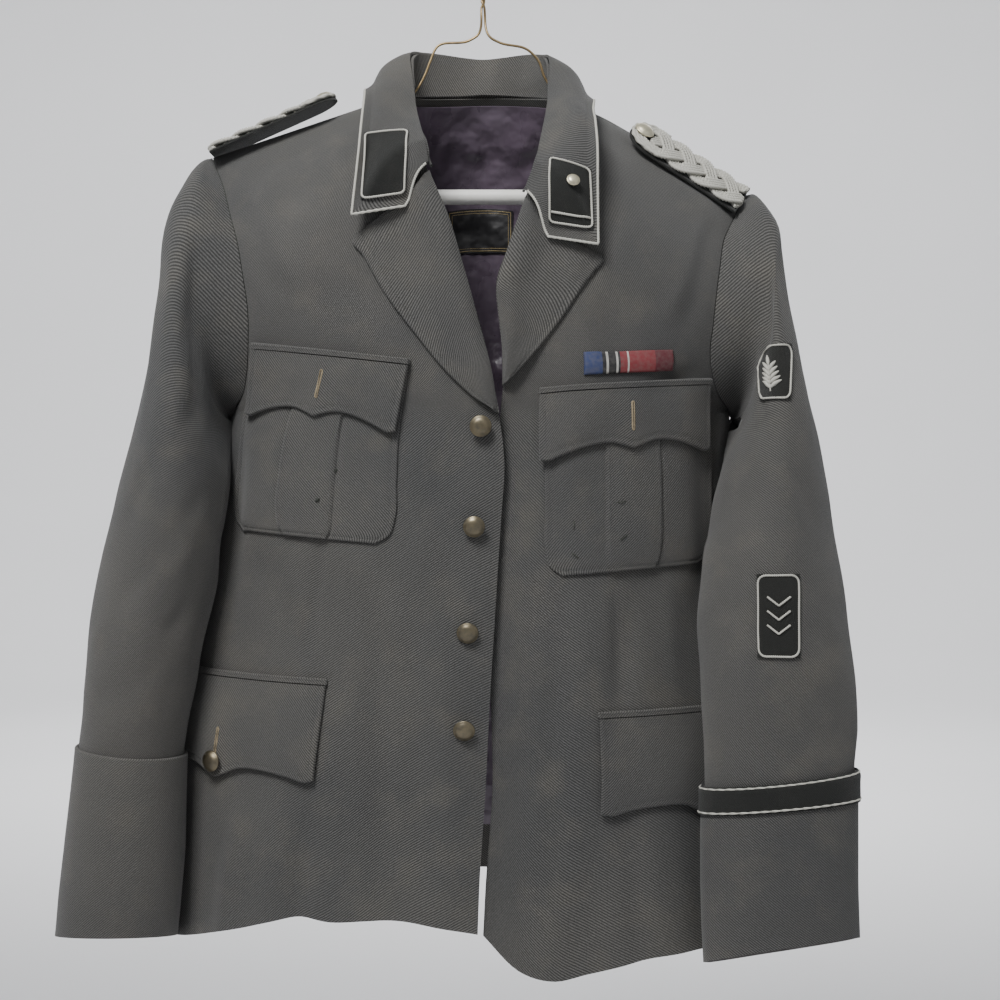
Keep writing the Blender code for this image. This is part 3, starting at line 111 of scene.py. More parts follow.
# Free edge of each front, from hem to neck: z, x
RIGHT_EDGE = np.array([
    (-0.900, -0.0045), (-0.857, -0.0030), (-0.8105, -0.0013), (-0.738, 0.0035),
    (-0.704, 0.0051), (-0.663, 0.0072), (-0.614, 0.0103), (-0.5813, 0.0123),
    (-0.5485, 0.0144), (-0.4996, 0.0175), (-0.4547, 0.0195), (-0.4459, 0.0139),
    (-0.4098, 0.0083), (-0.3698, -0.0021), (-0.328, -0.0149), (-0.2857, -0.0278),
    (-0.2496, -0.0422), (-0.222, -0.056), (-0.190, -0.068), (-0.165, -0.076),
])
LEFT_EDGE = np.array([
    (-0.900, 0.0005), (-0.853, 0.0015), (-0.8056, 0.0042), (-0.766, 0.0071),
    (-0.7295, 0.0090), (-0.700, 0.0080), (-0.620, 0.0050), (-0.550, 0.0060),
    (-0.470, 0.0120), (-0.4243, 0.0171), (-0.4018, 0.0171), (-0.3698, 0.0139),
    (-0.3425, 0.0107), (-0.3137, 0.0211), (-0.2712, 0.0347), (-0.245, 0.049),
    (-0.205, 0.066), (-0.168, 0.075),
])

# Armholes, from underarm to shoulder tip: z, front_x, back_x, as widths from the middle
RIGHT_ARMHOLE = np.array([
    (-0.440, 0.2130, 0.2130), (-0.425, 0.2000, 0.2020), (-0.400, 0.1935, 0.1990),
    (-0.350, 0.1930, 0.2050), (-0.300, 0.2030, 0.2130), (-0.250, 0.2190, 0.2240),
    (-0.218, 0.2337, 0.2337),
])
LEFT_ARMHOLE = np.array([
    (-0.440, 0.2110, 0.2110), (-0.425, 0.1950, 0.1990), (-0.400, 0.1870, 0.1970),
    (-0.350, 0.1920, 0.2030), (-0.300, 0.2000, 0.2090), (-0.270, 0.2150, 0.2180),
    (-0.250, 0.2267, 0.2267),
])

# Hem heights: x, z
FRONT_HEM = np.array([
    (-0.276, -0.885), (-0.240, -0.876), (-0.197, -0.862), (-0.154, -0.8475),
    (-0.1215, -0.851), (-0.0735, -0.8475), (-0.0035, -0.857), (0.0035, -0.862),
    (0.0163, -0.883), (0.0508, -0.896), (0.095, -0.889), (0.135, -0.880),
    (0.177, -0.877), (0.257, -0.885),
])
BACK_HEM = np.array([
    (-0.277, -0.885), (-0.200, -0.872), (-0.100, -0.862), (0.000, -0.858),
    (0.100, -0.864), (0.200, -0.876), (0.257, -0.885),
])

# Large soft folds: x0, z0, x1, z1, width, height (outward)
RIGHT_FOLDS = np.array([
    (-0.150, -0.230, -0.183, -0.345, 0.018, -0.0040),
    (-0.172, -0.290, -0.182, -0.400, 0.014, 0.0030),
    (-0.160, -0.680, -0.175, -0.880, 0.024, 0.0065),
    (-0.205, -0.700, -0.232, -0.880, 0.020, -0.0070),
    (-0.060, -0.620, -0.052, -0.880, 0.028, -0.0035),
    (-0.105, -0.640, -0.110, -0.880, 0.018, 0.0020),
])
LEFT_FOLDS = np.array([
    (0.165, -0.250, 0.185, -0.345, 0.018, -0.0035),
    (0.140, -0.690, 0.150, -0.880, 0.024, 0.0060),
    (0.095, -0.640, 0.082, -0.880, 0.020, -0.0040),
    (0.035, -0.620, 0.045, -0.880, 0.020, 0.0030),
    (0.185, -0.720, 0.200, -0.880, 0.020, -0.0050),
])
BACK_FOLDS = np.array([
    (0.000, -0.300, 0.004, -0.880, 0.016, -0.0045),
    (-0.120, -0.560, -0.150, -0.880, 0.030, 0.0075),
    (0.110, -0.560, 0.135, -0.880, 0.030, 0.0070),
    (-0.060, -0.600, -0.070, -0.880, 0.022, -0.0040),
    (0.055, -0.600, 0.060, -0.880, 0.022, -0.0040),
    (-0.150, -0.250, -0.080, -0.400, 0.028, -0.0040),
    (0.150, -0.260, 0.085, -0.410, 0.028, -0.0045),
])
# The left front's free edge dips behind the right front
EDGE_DIP = 0.013
EDGE_DIP_Z = -0.36
EDGE_DIP_FADE = 0.08
EDGE_DIP_REACH = 0.070
# Folds that reach the hem grow towards it, and the others fade at both ends
HEM_FOLD_Z = -0.8
FOLD_START = 0.15
FOLD_GROWTH = 1.1
FOLD_END = 0.1

# Sleeve rows below the armhole: top_x, top_z, under_x, under_z, y, half_depth
RIGHT_SLEEVE = np.array([
    (-0.2420, -0.2265, -0.2185, -0.4425, -0.003, 0.070),
    (-0.2540, -0.2470, -0.2205, -0.4460, -0.006, 0.075),
    (-0.2625, -0.2780, -0.2195, -0.4500, -0.010, 0.077),
    (-0.2665, -0.3200, -0.2195, -0.4600, -0.016, 0.077),
    (-0.2725, -0.3620, -0.2170, -0.4750, -0.022, 0.076),
    (-0.2830, -0.4150, -0.2130, -0.4950, -0.030, 0.074),
    (-0.2950, -0.4700, -0.2130, -0.5200, -0.038, 0.070),
    (-0.3050, -0.5250, -0.2155, -0.5500, -0.046, 0.066),
    (-0.3140, -0.5700, -0.2195, -0.5800, -0.052, 0.062),
    (-0.3225, -0.6200, -0.2290, -0.6200, -0.057, 0.057),
    (-0.3275, -0.6600, -0.2380, -0.6600, -0.060, 0.053),
    (-0.3300, -0.7000, -0.2450, -0.7050, -0.062, 0.048),
])
RIGHT_CUFF = np.array([
    (-0.3345, -0.7150, -0.2440, -0.7235, -0.062, 0.0485),
    (-0.3390, -0.7600, -0.2450, -0.7650, -0.062, 0.0475),
    (-0.3440, -0.8000, -0.2462, -0.8050, -0.061, 0.0465),
    (-0.3490, -0.8400, -0.2500, -0.8450, -0.060, 0.0455),
    (-0.3525, -0.8740, -0.2529, -0.8740, -0.058, 0.0445),
])
LEFT_SLEEVE = np.array([
    (0.2375, -0.2530, 0.2165, -0.4425, -0.003, 0.070),
    (0.2465, -0.2700, 0.2185, -0.4460, -0.008, 0.074),
    (0.2490, -0.3000, 0.2165, -0.4500, -0.015, 0.075),
    (0.2530, -0.3400, 0.2140, -0.4600, -0.024, 0.075),
    (0.2610, -0.3850, 0.2080, -0.4750, -0.034, 0.073),
    (0.2690, -0.4280, 0.2010, -0.4950, -0.046, 0.069),
    (0.2790, -0.4750, 0.1950, -0.5200, -0.058, 0.063),
    (0.2870, -0.5200, 0.1880, -0.5450, -0.070, 0.057),
    (0.2925, -0.5650, 0.1810, -0.5750, -0.080, 0.051),
    (0.2965, -0.6100, 0.1755, -0.6100, -0.088, 0.045),
    (0.2985, -0.6550, 0.1750, -0.6550, -0.098, 0.038),
    (0.2980, -0.7000, 0.1760, -0.7050, -0.104, 0.032),
])
LEFT_CUFF = np.array([
    (0.2995, -0.7287, 0.1745, -0.7424, -0.1090, 0.0290),
    (0.2990, -0.7650, 0.1740, -0.7750, -0.1090, 0.0285),
    (0.2995, -0.8050, 0.1742, -0.8150, -0.1080, 0.0280),
    (0.3005, -0.8400, 0.1752, -0.8550, -0.1070, 0.0280),
    (0.3016, -0.8630, 0.1765, -0.8825, -0.1060, 0.0275),
])
SLEEVE_IN_CUFF = 0.015
CUFF_PITCH = 0.009
# Room that a sleeve keeps from the body: z, room
SLEEVE_ROOM = np.array([(-0.90, 0.010), (-0.50, 0.009), (-0.46, 0.005), (-0.425, 0.002)])

# Lapels from the break up to the gorge: roll_x, roll_z, edge_x, edge_z
RIGHT_LAPEL = np.array([
    (0.0145, -0.4459, 0.0099, -0.4419),
    (0.0088, -0.4098, -0.0093, -0.4299),
    (0.0038, -0.3898, -0.0334, -0.4058),
    (-0.0018, -0.3698, -0.0494, -0.3858),
    (-0.0146, -0.3280, -0.0775, -0.3481),
    (-0.0275, -0.2857, -0.0951, -0.3177),
    (-0.0364, -0.2656, -0.1039, -0.3032),
    (-0.0420, -0.2496, -0.0606, -0.2784),
])
LEFT_LAPEL = np.array([
    (0.0168, -0.4226, 0.0211, -0.4186),
    (0.0168, -0.4018, 0.0323, -0.4066),
    (0.0136, -0.3698, 0.0508, -0.3858),
    (0.0112, -0.3537, 0.0668, -0.3642),
    (0.0105, -0.3425, 0.0788, -0.3457),
    (0.0208, -0.3137, 0.0908, -0.3297),
    (0.0272, -0.2944, 0.0972, -0.3201),
    (0.0344, -0.2712, 0.0532, -0.3041),
])
LAPEL_COLUMNS = 8
LAPEL_BEND = 1.4
LAPEL_REST = 0.0012
LAPEL_REST_FADE = 0.004
LAPEL_ROLL = 0.0050
LAPEL_ROLL_AT = 0.010
LAPEL_ROLL_WIDTH = 0.012

# Collar stations from the right gorge round the back to the left gorge:
# seam x, z, crease x, y, z, edge x, y, z
COLLAR = np.array([
    (-0.0440, -0.2480, -0.0429, -0.0970, -0.2440, -0.0606, -0.1030, -0.2795),
    (-0.0510, -0.2330, -0.0458, -0.0910, -0.2256, -0.1040, -0.1060, -0.2870),
    (-0.0640, -0.2020, -0.0544, -0.0520, -0.1930, -0.1000, -0.0930, -0.2300),
    (-0.0720, -0.1760, -0.0595, -0.0200, -0.1560, -0.0985, -0.0490, -0.1800),
    (-0.0740, -0.1645, -0.0620, 0.0100, -0.1276, -0.1000, 0.0020, -0.1600),
    (-0.0600, -0.1600, -0.0530, 0.0320, -0.1200, -0.0930, 0.0500, -0.1560),
    (-0.0340, -0.1560, -0.0330, 0.0500, -0.1170, -0.0560, 0.0830, -0.1600),
    (0.0000, -0.1540, -0.0007, 0.0600, -0.1180, 0.0000, 0.0940, -0.1640),
    (0.0340, -0.1570, 0.0330, 0.0500, -0.1170, 0.0560, 0.0830, -0.1640),
    (0.0600, -0.1620, 0.0510, 0.0320, -0.1220, 0.0900, 0.0500, -0.1620),
    (0.0735, -0.1675, 0.0566, 0.0100, -0.1320, 0.0950, 0.0020, -0.1690),
    (0.0720, -0.1820, 0.0556, -0.0200, -0.1680, 0.0925, -0.0490, -0.1900),
    (0.0640, -0.2110, 0.0522, -0.0520, -0.1970, 0.0945, -0.0930, -0.2300),
    (0.0500, -0.2460, 0.0430, -0.0980, -0.2440, 0.0932, -0.1070, -0.3110),
    (0.0375, -0.2690, 0.0350, -0.0990, -0.2660, 0.0528, -0.1065, -0.3045),
])
COLLAR_CORNERS = (1, 13)
FALL_ROWS = 6
FALL_REST = 0.0024
FALL_BULGE = 0.010
FALL_BULGE_END = 0.8
FALL_BULGE_SIZE = 0.06
FALL_LIFT = (0.6, 0.5)
FALL_FACING = 0.8
STAND_LEVELS = (0.0, 0.34, 0.67, 1.0)
STAND_RISE = 0.0015
STAND_INSET = 0.0020
SHOULDER_SEAM_Y = 0.005

# Breast pocket bags from top to bottom: inner_x, inner_z, outer_x, outer_z
RIGHT_BAG = np.array([
    (-0.0580, -0.4085, -0.1860, -0.3915),
    (-0.0660, -0.4640, -0.1990, -0.4473),
    (-0.0676, -0.5000, -0.2070, -0.4900),
    (-0.0690, -0.5300, -0.2110, -0.5200),
    (-0.0742, -0.5430, -0.2070, -0.5330),
    (-0.0850, -0.5490, -0.1980, -0.5390),
])
LEFT_BAG = np.array([
    (0.0474, -0.4312, 0.1845, -0.4205),
    (0.0506, -0.4828, 0.1890, -0.4700),
    (0.0510, -0.5200, 0.1900, -0.5150),
    (0.0513, -0.5555, 0.1900, -0.5480),
    (0.0560, -0.5690, 0.1850, -0.5600),
    (0.0650, -0.5745, 0.1770, -0.5660),
])
# Shares of a bag's width at which its grid has columns, and those of the box pleat's edges
BAG_COLUMNS = (0.0, 0.10, 0.21, 0.325, 0.43, 0.53, 0.63, 0.76, 0.88, 1.0)
PLEAT = (0.325, 0.63)
PLEAT_RISE = 0.0016

# Flap outlines: share of the width, drop of the breast flap, drop of the lower flap
FLAP_EDGE = np.array([
    (0.00, 0.0530, 0.0755), (0.04, 0.0545, 0.0775), (0.12, 0.0505, 0.0745),
    (0.25, 0.0445, 0.0715), (0.38, 0.0430, 0.0725), (0.46, 0.0465, 0.0785),
    (0.50, 0.0485, 0.0810), (0.54, 0.0465, 0.0785), (0.62, 0.0430, 0.0725),
    (0.75, 0.0445, 0.0715), (0.88, 0.0505, 0.0745), (0.96, 0.0545, 0.0775),
    (1.00, 0.0530, 0.0755),
])
# Flaps: name, side, inner_x, inner_z, outer_x, outer_z, lean, drop column, lift
FLAPS = (
    ("right_breast", -1, -0.0577, -0.4069, -0.1865, -0.3895, 0.0100, 1, 0.0050),
    ("left_breast", 1, 0.0472, -0.4295, 0.1850, -0.4185, 0.0055, 1, 0.0050),
    ("right_lower", -1, -0.1247, -0.6633, None, -0.6580, 0.0080, 2, 0.0014),
    ("left_lower", 1, 0.0931, -0.6885, None, -0.6860, 0.0020, 2, 0.0014),
)
LOWER_FLAP_WIDTH = 0.186
WELT_HEIGHT = 0.0048

# Front buttons: x, z, droop in degrees
FRONT_BUTTONS = (
    (-0.0008, -0.4547, 8.0), (-0.0059, -0.5342, 14.0),
    (-0.0109, -0.6182, 20.0), (-0.0136, -0.6949, 24.0),
)
LOWER_BUTTON_DROP = 0.068

# Shoulder boards: neck end, sleeve end, forward roll in degrees
BOARD_WIDTH = 0.044
RIGHT_BOARD = ((-0.1255, -0.002, -0.1690), (-0.2330, -0.002, -0.2172), 4.0)
LEFT_BOARD = ((0.1260, -0.019, -0.1985), (0.2205, -0.018, -0.2609), 40.0)
BOARD_BASE = 0.0022
BOARD_BUTTON_AT = 0.0115

# Patches on the collar fall and badges on the left sleeve. Each has its four corners as x, z from
# the upper left one on, then the rows and the columns of the cloth's grid between which it lies,
# and its gap to the cloth.
COLLAR_PATCHES = (
    ("right_collar_patch", ((-0.0957, -0.2175), (-0.0595, -0.2155), (-0.0610, -0.2692),
                            (-0.0960, -0.2745)), (0.1, 5.9), (0.0, 8.0), 0.0021),
    ("left_collar_patch", ((0.0540, -0.2400), (0.0885, -0.2486), (0.0889, -0.2985),
                           (0.0535, -0.2930)), (0.1, 5.9), (20.0, 28.0), 0.0021),
)
SLEEVE_BADGES = (
    ("upper_sleeve_badge", ((0.2235, -0.3895), (0.2492, -0.3882), (0.2450, -0.4343),
                            (0.2245, -0.4337)), (1.5, 6.0), (3.0, 8.0), 0.0018),
    ("lower_sleeve_badge", ((0.2160, -0.5720), (0.2486, -0.5720), (0.2480, -0.6370),
                            (0.2156, -0.6370)), (8.0, 11.5), (4.5, 8.5), 0.0008),
)
BAND_ROWS = (0.05, 0.80)
RIBBON = (0.0812, -0.4050, 0.1549, -0.4004)
RIBBON_HEIGHT = 0.0170
LABEL = (-0.0335, -0.2464, 0.0265, -0.2864)

# Hanger
WIRE_RADIUS = 0.0011
HOOK_RADIUS = 0.018
TWIST_TOP = -0.058
TWIST_BOTTOM = -0.088
TWIST_TURNS = 2.5
TUBE_RADIUS = 0.0065
TUBE_HALF = 0.186
TUBE_Z = -0.252
HOOK_TAIL = ((0.0060, -0.0425), (0.0016, -0.0510))
# Arms from the twist to the tube: x, z
RIGHT_ARM = (
    (-0.0052, -0.1125), (-0.0120, -0.1165), (-0.0398, -0.1220), (-0.0459, -0.1350),
    (-0.0502, -0.1462), (-0.0600, -0.1620), (-0.0700, -0.1692), (-0.0820, -0.17065),
    (-0.1360, -0.18880), (-0.1900, -0.20685), (-0.2035, -0.2128), (-0.2078, -0.2240),
    (-0.2055, -0.2400), (-0.1980, -0.2505), (-0.1863, -0.2520),
)
LEFT_ARM = (
    (0.0069, -0.1142), (0.0140, -0.1180), (0.0389, -0.1246), (0.0476, -0.1332),
    (0.0536, -0.1488), (0.0562, -0.1531), (0.0660, -0.1680), (0.0740, -0.17420),
    (0.0830, -0.17660), (0.1350, -0.20460), (0.1860, -0.23205), (0.1960, -0.2385),
    (0.2000, -0.2445), (0.1965, -0.2510), (0.1863, -0.2520),
)


TINY = 1e-12
ROW_BLEND = np.array([-0.018, -0.012, -0.006, 0.0, 0.006, 0.012, 0.018])


def unit(vector: Any) -> Array:
    """Vector of length one."""
    vector = np.asarray(vector, dtype=float)
    return vector / max(float(np.linalg.norm(vector)), TINY)


def unit_rows(vectors: Array) -> Array:
    """Vectors of length one, in rows."""
    return vectors / np.maximum(np.linalg.norm(vectors, axis=-1, keepdims=True), TINY)


def grid_normals(grid: Array, outward: Array, closed: bool = False) -> Array:
    """Unit normals of a grid of points, on the side that outward names.

    Args:
        grid: Points in rows and columns.
        outward: Rough outward direction at each point.
        closed: Whether the columns run right round.

    Returns:
        Unit normals on the side that outward names.
    """
    along = np.gradient(grid, axis=0)
    if closed:
        across = (np.roll(grid, -1, axis=1) - np.roll(grid, 1, axis=1)) / 2.0
    else:
        across = np.gradient(grid, axis=1)
    normals = unit_rows(np.cross(along, across))
    side = np.sign(np.sum(normals * outward, axis=2, keepdims=True))
    side[side == 0.0] = 1.0
    return normals * side


def shoulder_height(x: float) -> float:
    """Height of the shoulder ridge over x, carried on over the neck opening.

    Args:
        x: Place across the body.

    Returns:
        The height.
    """
    neck, tip = (RIGHT_NECK, RIGHT_TIP) if x < 0.0 else (LEFT_NECK, LEFT_TIP)
    if abs(x) >= abs(neck[0]):
        share = (x - neck[0]) / (tip[0] - neck[0])
        return neck[1] + share * (tip[1] - neck[1])
    return neck[1] + NECK_RIDGE_RISE * math.cos(0.5 * math.pi * x / neck[0])


def neck_height(x: float) -> float:
    """Height of the back neck seam over x.

    Args:
        x: Place across the body.

    Returns:
        The height.
    """
    neck = RIGHT_NECK if x < 0.0 else LEFT_NECK
    rise = BACK_NECK_Z - neck[1]
    return neck[1] + rise * math.cos(0.5 * math.pi * x / neck[0])


def back_top_height(x: float) -> float:
    """Height of the back's upper edge over x."""
    neck = RIGHT_NECK if x < 0.0 else LEFT_NECK
    return neck_height(x) if abs(x) < abs(neck[0]) else shoulder_height(x)


def body_row(z: float) -> list[float]:
    """Seam y, right width, right front y, left width, left front y and back y at z.

    Args:
        z: Height.

    Returns:
        The six numbers.
    """
    near = z + ROW_BLEND
    return [float(np.interp(near, BODY_ROWS[:, 0], BODY_ROWS[:, column]).mean())
            for column in range(1, 7)]


def fold_height(folds: Array, x: float, z: float) -> float:
    """Sum of the soft folds at x, z.

    Args:
        folds: Table of folds.
        x: Place across the body.
        z: Height.

    Returns:
        Height of the folds, outward.
    """
    total = 0.0
    for x0, z0, x1, z1, width, height in folds:
        along = ((x - x0) * (x1 - x0) + (z - z0) * (z1 - z0)) / ((x1 - x0) ** 2 + (z1 - z0) ** 2)
        inside = min(max(along, 0.0), 1.0)
        off = math.hypot(x - x0 - inside * (x1 - x0), z - z0 - inside * (z1 - z0))
        if z1 < HEM_FOLD_Z:
            grow = min(1.0, FOLD_START + FOLD_GROWTH * inside)
        else:
            grow = math.sin(math.pi * (FOLD_END + (1.0 - 2.0 * FOLD_END) * inside))
        total += height * grow * math.exp(-((off / width) ** 2))
    return total


def edge_x(side: int, z: float) -> float:
    """x of a front's free edge at z.

    Args:
        side: -1 for the wearer's right.
        z: Height.

    Returns:
        Place of the edge across the body.
    """
    table = RIGHT_EDGE if side < 0 else LEFT_EDGE
    return float(np.interp(z, table[:, 0], table[:, 1]))


def body_y(side: int, front: bool, x: float, z: float) -> float:
    """y of the body's outer face at x, z, side -1 for the wearer's right.

    Args:
        side: -1 for the wearer's right.
        front: Whether the point is on a front.
        x: Place across the body.
        z: Height.

    Returns:
        The y of the outer face.
    """
    seam_y, right_w, right_y, left_w, left_y, back_y = body_row(z)
    width = right_w if side < 0 else left_w
    depth = back_y - seam_y
    if front:
        depth = seam_y - (right_y if side < 0 else left_y)
    sine = min(abs(x) / width, 1.0)
    cosine = math.sqrt(1.0 - sine * sine)
    drop = min(max((shoulder_height(x) - z) / SHOULDER_DROP, 0.0), 1.0)
    rounding = max(2.0 * drop - drop * drop, 0.0) ** SHOULDER_POWER
    depth *= cosine ** SECTION_POWER * rounding
    fade = cosine * min(1.0, rounding)
    if not front:
        return seam_y + depth + fade * fold_height(BACK_FOLDS, x, z)
    folds = RIGHT_FOLDS if side < 0 else LEFT_FOLDS
    dip = 0.0
    if side > 0 and z < EDGE_DIP_Z:
        near = min(max(0.0, 1.0 - (x - edge_x(side, z)) / EDGE_DIP_REACH), 1.0)
        dip = EDGE_DIP * near * near * (3.0 - 2.0 * near)
        dip *= min((EDGE_DIP_Z - z) / EDGE_DIP_FADE, 1.0)
    return seam_y - depth - fade * fold_height(folds, x, z) + dip


@lru_cache(maxsize=None)
def panel_grid(side: int) -> Array:
    """Outer face of a front in fine cells, kept for the pieces that lie on it."""
    grid = front_grid(side)
    return refined(grid, np.linspace(0.0, 1.0, 100), np.linspace(0.0, 1.0, 60), False)


@lru_cache(maxsize=None)
def section(side: int, z: float) -> tuple[Array, Array, Array]:
    """x, y and length from the middle of a front's section at height z.

    Args:
        side: -1 for the wearer's right.
        z: Height.

    Returns:
        x, y and length along the section.
    """
    grid = panel_grid(side)
    xs = np.array([np.interp(z, column[:, 2], column[:, 0]) for column in grid.swapaxes(0, 1)])
    ys = np.array([np.interp(z, column[:, 2], column[:, 1]) for column in grid.swapaxes(0, 1)])
    lengths = np.concatenate([[0.0], np.cumsum(np.hypot(np.diff(xs), np.diff(ys)))])
    lengths -= np.interp(0.0, side * xs, lengths)
    return xs, ys, lengths


def reach_of(side: int, x: float, z: float) -> float:
    """Length along the front's section from the middle to x.

    Args:
        side: -1 for the wearer's right.
        x: Place across the body.
        z: Height.

    Returns:
        Length from the middle of the body.
    """
    xs, _, lengths = section(side, z)
    return float(np.interp(side * x, side * xs, lengths))


def on_front(side: int, reach: float, z: float, lift: float) -> Array:
    """Point above the outer face of a front, lift away from it.

    Args:
        side: -1 for the wearer's right.
        reach: Length from the middle of the body.
        z: Height.
        lift: Distance above the cloth.

    Returns:
        The point.
    """
    def at(length: float, height: float) -> Array:
        """Point of the outer face."""
        xs, ys, lengths = section(side, height)
        return np.array([np.interp(length, lengths, xs), np.interp(length, lengths, ys), height])

    step = NORMAL_STEP
    normal = np.cross(at(reach + step, z) - at(reach - step, z),
                      at(reach, z + step) - at(reach, z - step))
    normal = unit(normal) * (1.0 if side > 0 else -1.0)
    return at(reach, z) + normal * lift


def armhole_x(side: int, front: bool, z: float) -> float:
    """x of the armhole edge at z.

    Args:
        side: -1 for the wearer's right.
        front: Whether the edge is a front's.
        z: Height.

    Returns:
        Place of the edge across the body.
    """
    table = RIGHT_ARMHOLE if side < 0 else LEFT_ARMHOLE
    return side * float(np.interp(z, table[:, 0], table[:, 1 if front else 2]))


def upper_shares() -> list[float]:
    """Shares of the height from underarm to shoulder, one for each point of a sleeve."""
    return [(1.0 - math.cos(2.0 * math.pi * index / AROUND)) / 2.0
            for index in range(AROUND // 2 + 1)]


def spread(x0: float, x1: float, w0: float, w1: float, share: float) -> float:
    """x between two ends, evenly spaced round the body's section.

    Args:
        x0: First end.
        x1: Last end.
        w0: Half width of the body at the first end.
        w1: Half width at the last end.
        share: Share of the way.

    Returns:
        The x there.
    """
    a0 = math.asin(max(-1.0, min(1.0, x0 / w0)))
    a1 = math.asin(max(-1.0, min(1.0, x1 / w1)))
    if abs(math.sin(a1) - math.sin(a0)) < 1e-9:
        return x0
    part = (math.sin(a0 + share * (a1 - a0)) - math.sin(a0)) / (math.sin(a1) - math.sin(a0))
    return x0 + part * (x1 - x0)


def side_width(x: float, z: float) -> float:
    """Half width of the body at z on the side of x.

    Args:
        x: Any place on the side that is meant.
        z: Height.

    Returns:
        Half width of the body.
    """
    row = body_row(z)
    return row[1] if x < 0 else row[3]


def hem_height(table: Array, x: float) -> float:
    """Height of the hem over x.

    Args:
        table: Hem heights.
        x: Place across the body.

    Returns:
        Height of the hem.
    """
    return float(np.interp(x, table[:, 0], table[:, 1]))


def front_grid(side: int) -> Array:
    """Outer face of a front: rows from hem to shoulder, columns from edge to armhole.

    Args:
        side: -1 for the wearer's right.

    Returns:
        Points, rows by columns.
    """
    neck, tip = (RIGHT_NECK, RIGHT_TIP) if side < 0 else (LEFT_NECK, LEFT_TIP)
    shares = np.linspace(0.0, 1.0, FRONT_COLUMNS + 1)
    rows = []
    for rise in np.linspace(0.0, 1.0, LOWER_ROWS + 1)[:-1]:
        row = []
        for share in shares:
            z = UNDERARM_Z
            for _ in range(4):
                inner = edge_x(side, z)
                outer = side * side_width(side, z)
                x = spread(inner, outer, abs(outer), abs(outer), share)
                z = hem_height(FRONT_HEM, x) * (1.0 - rise) + UNDERARM_Z * rise
            row.append((x, z))
        rows.append(row)
    top = []
    for share in shares:
        width = side_width(side, tip[1])
        top.append(spread(neck[0], tip[0], width, width, share))
    for rise in upper_shares():
        z_in = UNDERARM_Z + (neck[1] - UNDERARM_Z) * rise
        z_out = UNDERARM_Z + (tip[1] - UNDERARM_Z) * rise
        inner = edge_x(side, z_in)
        outer = armhole_x(side, True, z_out)
        row = []
        for share, top_x in zip(shares, top):
            z = UNDERARM_Z + (shoulder_height(top_x) - UNDERARM_Z) * rise
            x = spread(inner, outer, side_width(side, z_in), side_width(side, z_out), share)
            row.append((x, z))
        rows.append(row)
    return np.array([[(x, body_y(side, True, x, z), z) for x, z in row] for row in rows])


def back_grid() -> Array:
    """Outer face of the back: rows from hem to shoulder, columns from right to left.

    Returns:
        Points, rows by columns.
    """
    shares = np.linspace(0.0, 1.0, BACK_COLUMNS + 1)
    rows = []
    for rise in np.linspace(0.0, 1.0, LOWER_ROWS + 1)[:-1]:
        row = []
        for share in shares:
            z = UNDERARM_Z
            for _ in range(4):
                right = -side_width(-1, z)
                left = side_width(1, z)
                x = spread(right, left, -right, left, share)
                z = hem_height(BACK_HEM, x) * (1.0 - rise) + UNDERARM_Z * rise
            row.append((x, z))
        rows.append(row)
    width = side_width(-1, RIGHT_TIP[1])
    top = [spread(RIGHT_TIP[0], LEFT_TIP[0], width, width, share) for share in shares]
    for rise in upper_shares():
        z_right = UNDERARM_Z + (RIGHT_TIP[1] - UNDERARM_Z) * rise
        z_left = UNDERARM_Z + (LEFT_TIP[1] - UNDERARM_Z) * rise
        right = armhole_x(-1, False, z_right)
        left = armhole_x(1, False, z_left)
        row = []
        for share, top_x in zip(shares, top):
            z = UNDERARM_Z + (back_top_height(top_x) - UNDERARM_Z) * rise
            x = spread(right, left, side_width(-1, z_right), side_width(1, z_left), share)
            row.append((x, z))
        rows.append(row)
    return np.array([[(x, body_y(-1 if x < 0 else 1, False, x, z), z) for x, z in row]
                     for row in rows])


def outward_of(grid: Array) -> Array:
    """Rough outward direction at each point of a body grid.

    Args:
        grid: Points in rows and columns.

    Returns:
        Directions, rows by columns.
    """
    outward = grid.copy()
    outward[:, :, 0] *= OUTWARD_SPREAD
    outward[:, :, 2] = 0.0
    return outward


def flatten_seams(normals: Array, seam_columns: Sequence[int], shoulder: Any) -> Array:
    """Normals at the seams lie in the plane of the seam, so that two walls can butt.

    Args:
        normals: Normals of the grid, changed in place.
        seam_columns: Columns that lie on a side seam.
        shoulder: Columns of the last row that lie on a shoulder seam.

    Returns:
        The normals.
    """
    normals[:LOWER_ROWS + 1, list(seam_columns), 1:] = 0.0
    normals[-1, shoulder, 1] = 0.0
    return unit_rows(normals)


def collar_seam(station: Array) -> Array:
    """Point of the neck seam at a collar station.

    Args:
        station: Row of the collar's table.

    Returns:
        The point.
    """
    seam_x, seam_z, _, crease_y = station[:4]
    side = -1 if seam_x < 0 else 1
    if crease_y < SHOULDER_SEAM_Y:
        x = edge_x(side, seam_z)
        return np.array([x, body_y(side, True, x, seam_z) - SEAM_GAP / 2.0, seam_z])
    z = neck_height(seam_x)
    return np.array([seam_x, body_y(side, False, seam_x, z) + SEAM_GAP / 2.0, z])


def between_rows(table: Array, corners: Sequence[int]) -> Array:
    """Table with a row added half way between each two, on a curve smooth but at corners.

    Args:
        table: Rows of numbers.
        corners: Numbers of the rows where the curve has a corner.

    Returns:
        The rows with those between them.
    """
    rows = [table[0]]
    for index in range(len(table) - 1):
        first, second = table[index], table[index + 1]
        before = table[max(index - 1, 0)]
        after = table[min(index + 2, len(table) - 1)]
        if index in corners or index + 1 in corners:
            before, after = first, second
        rows.append((9.0 * (first + second) - before - after) / 16.0)
        rows.append(second)
    return np.array(rows)


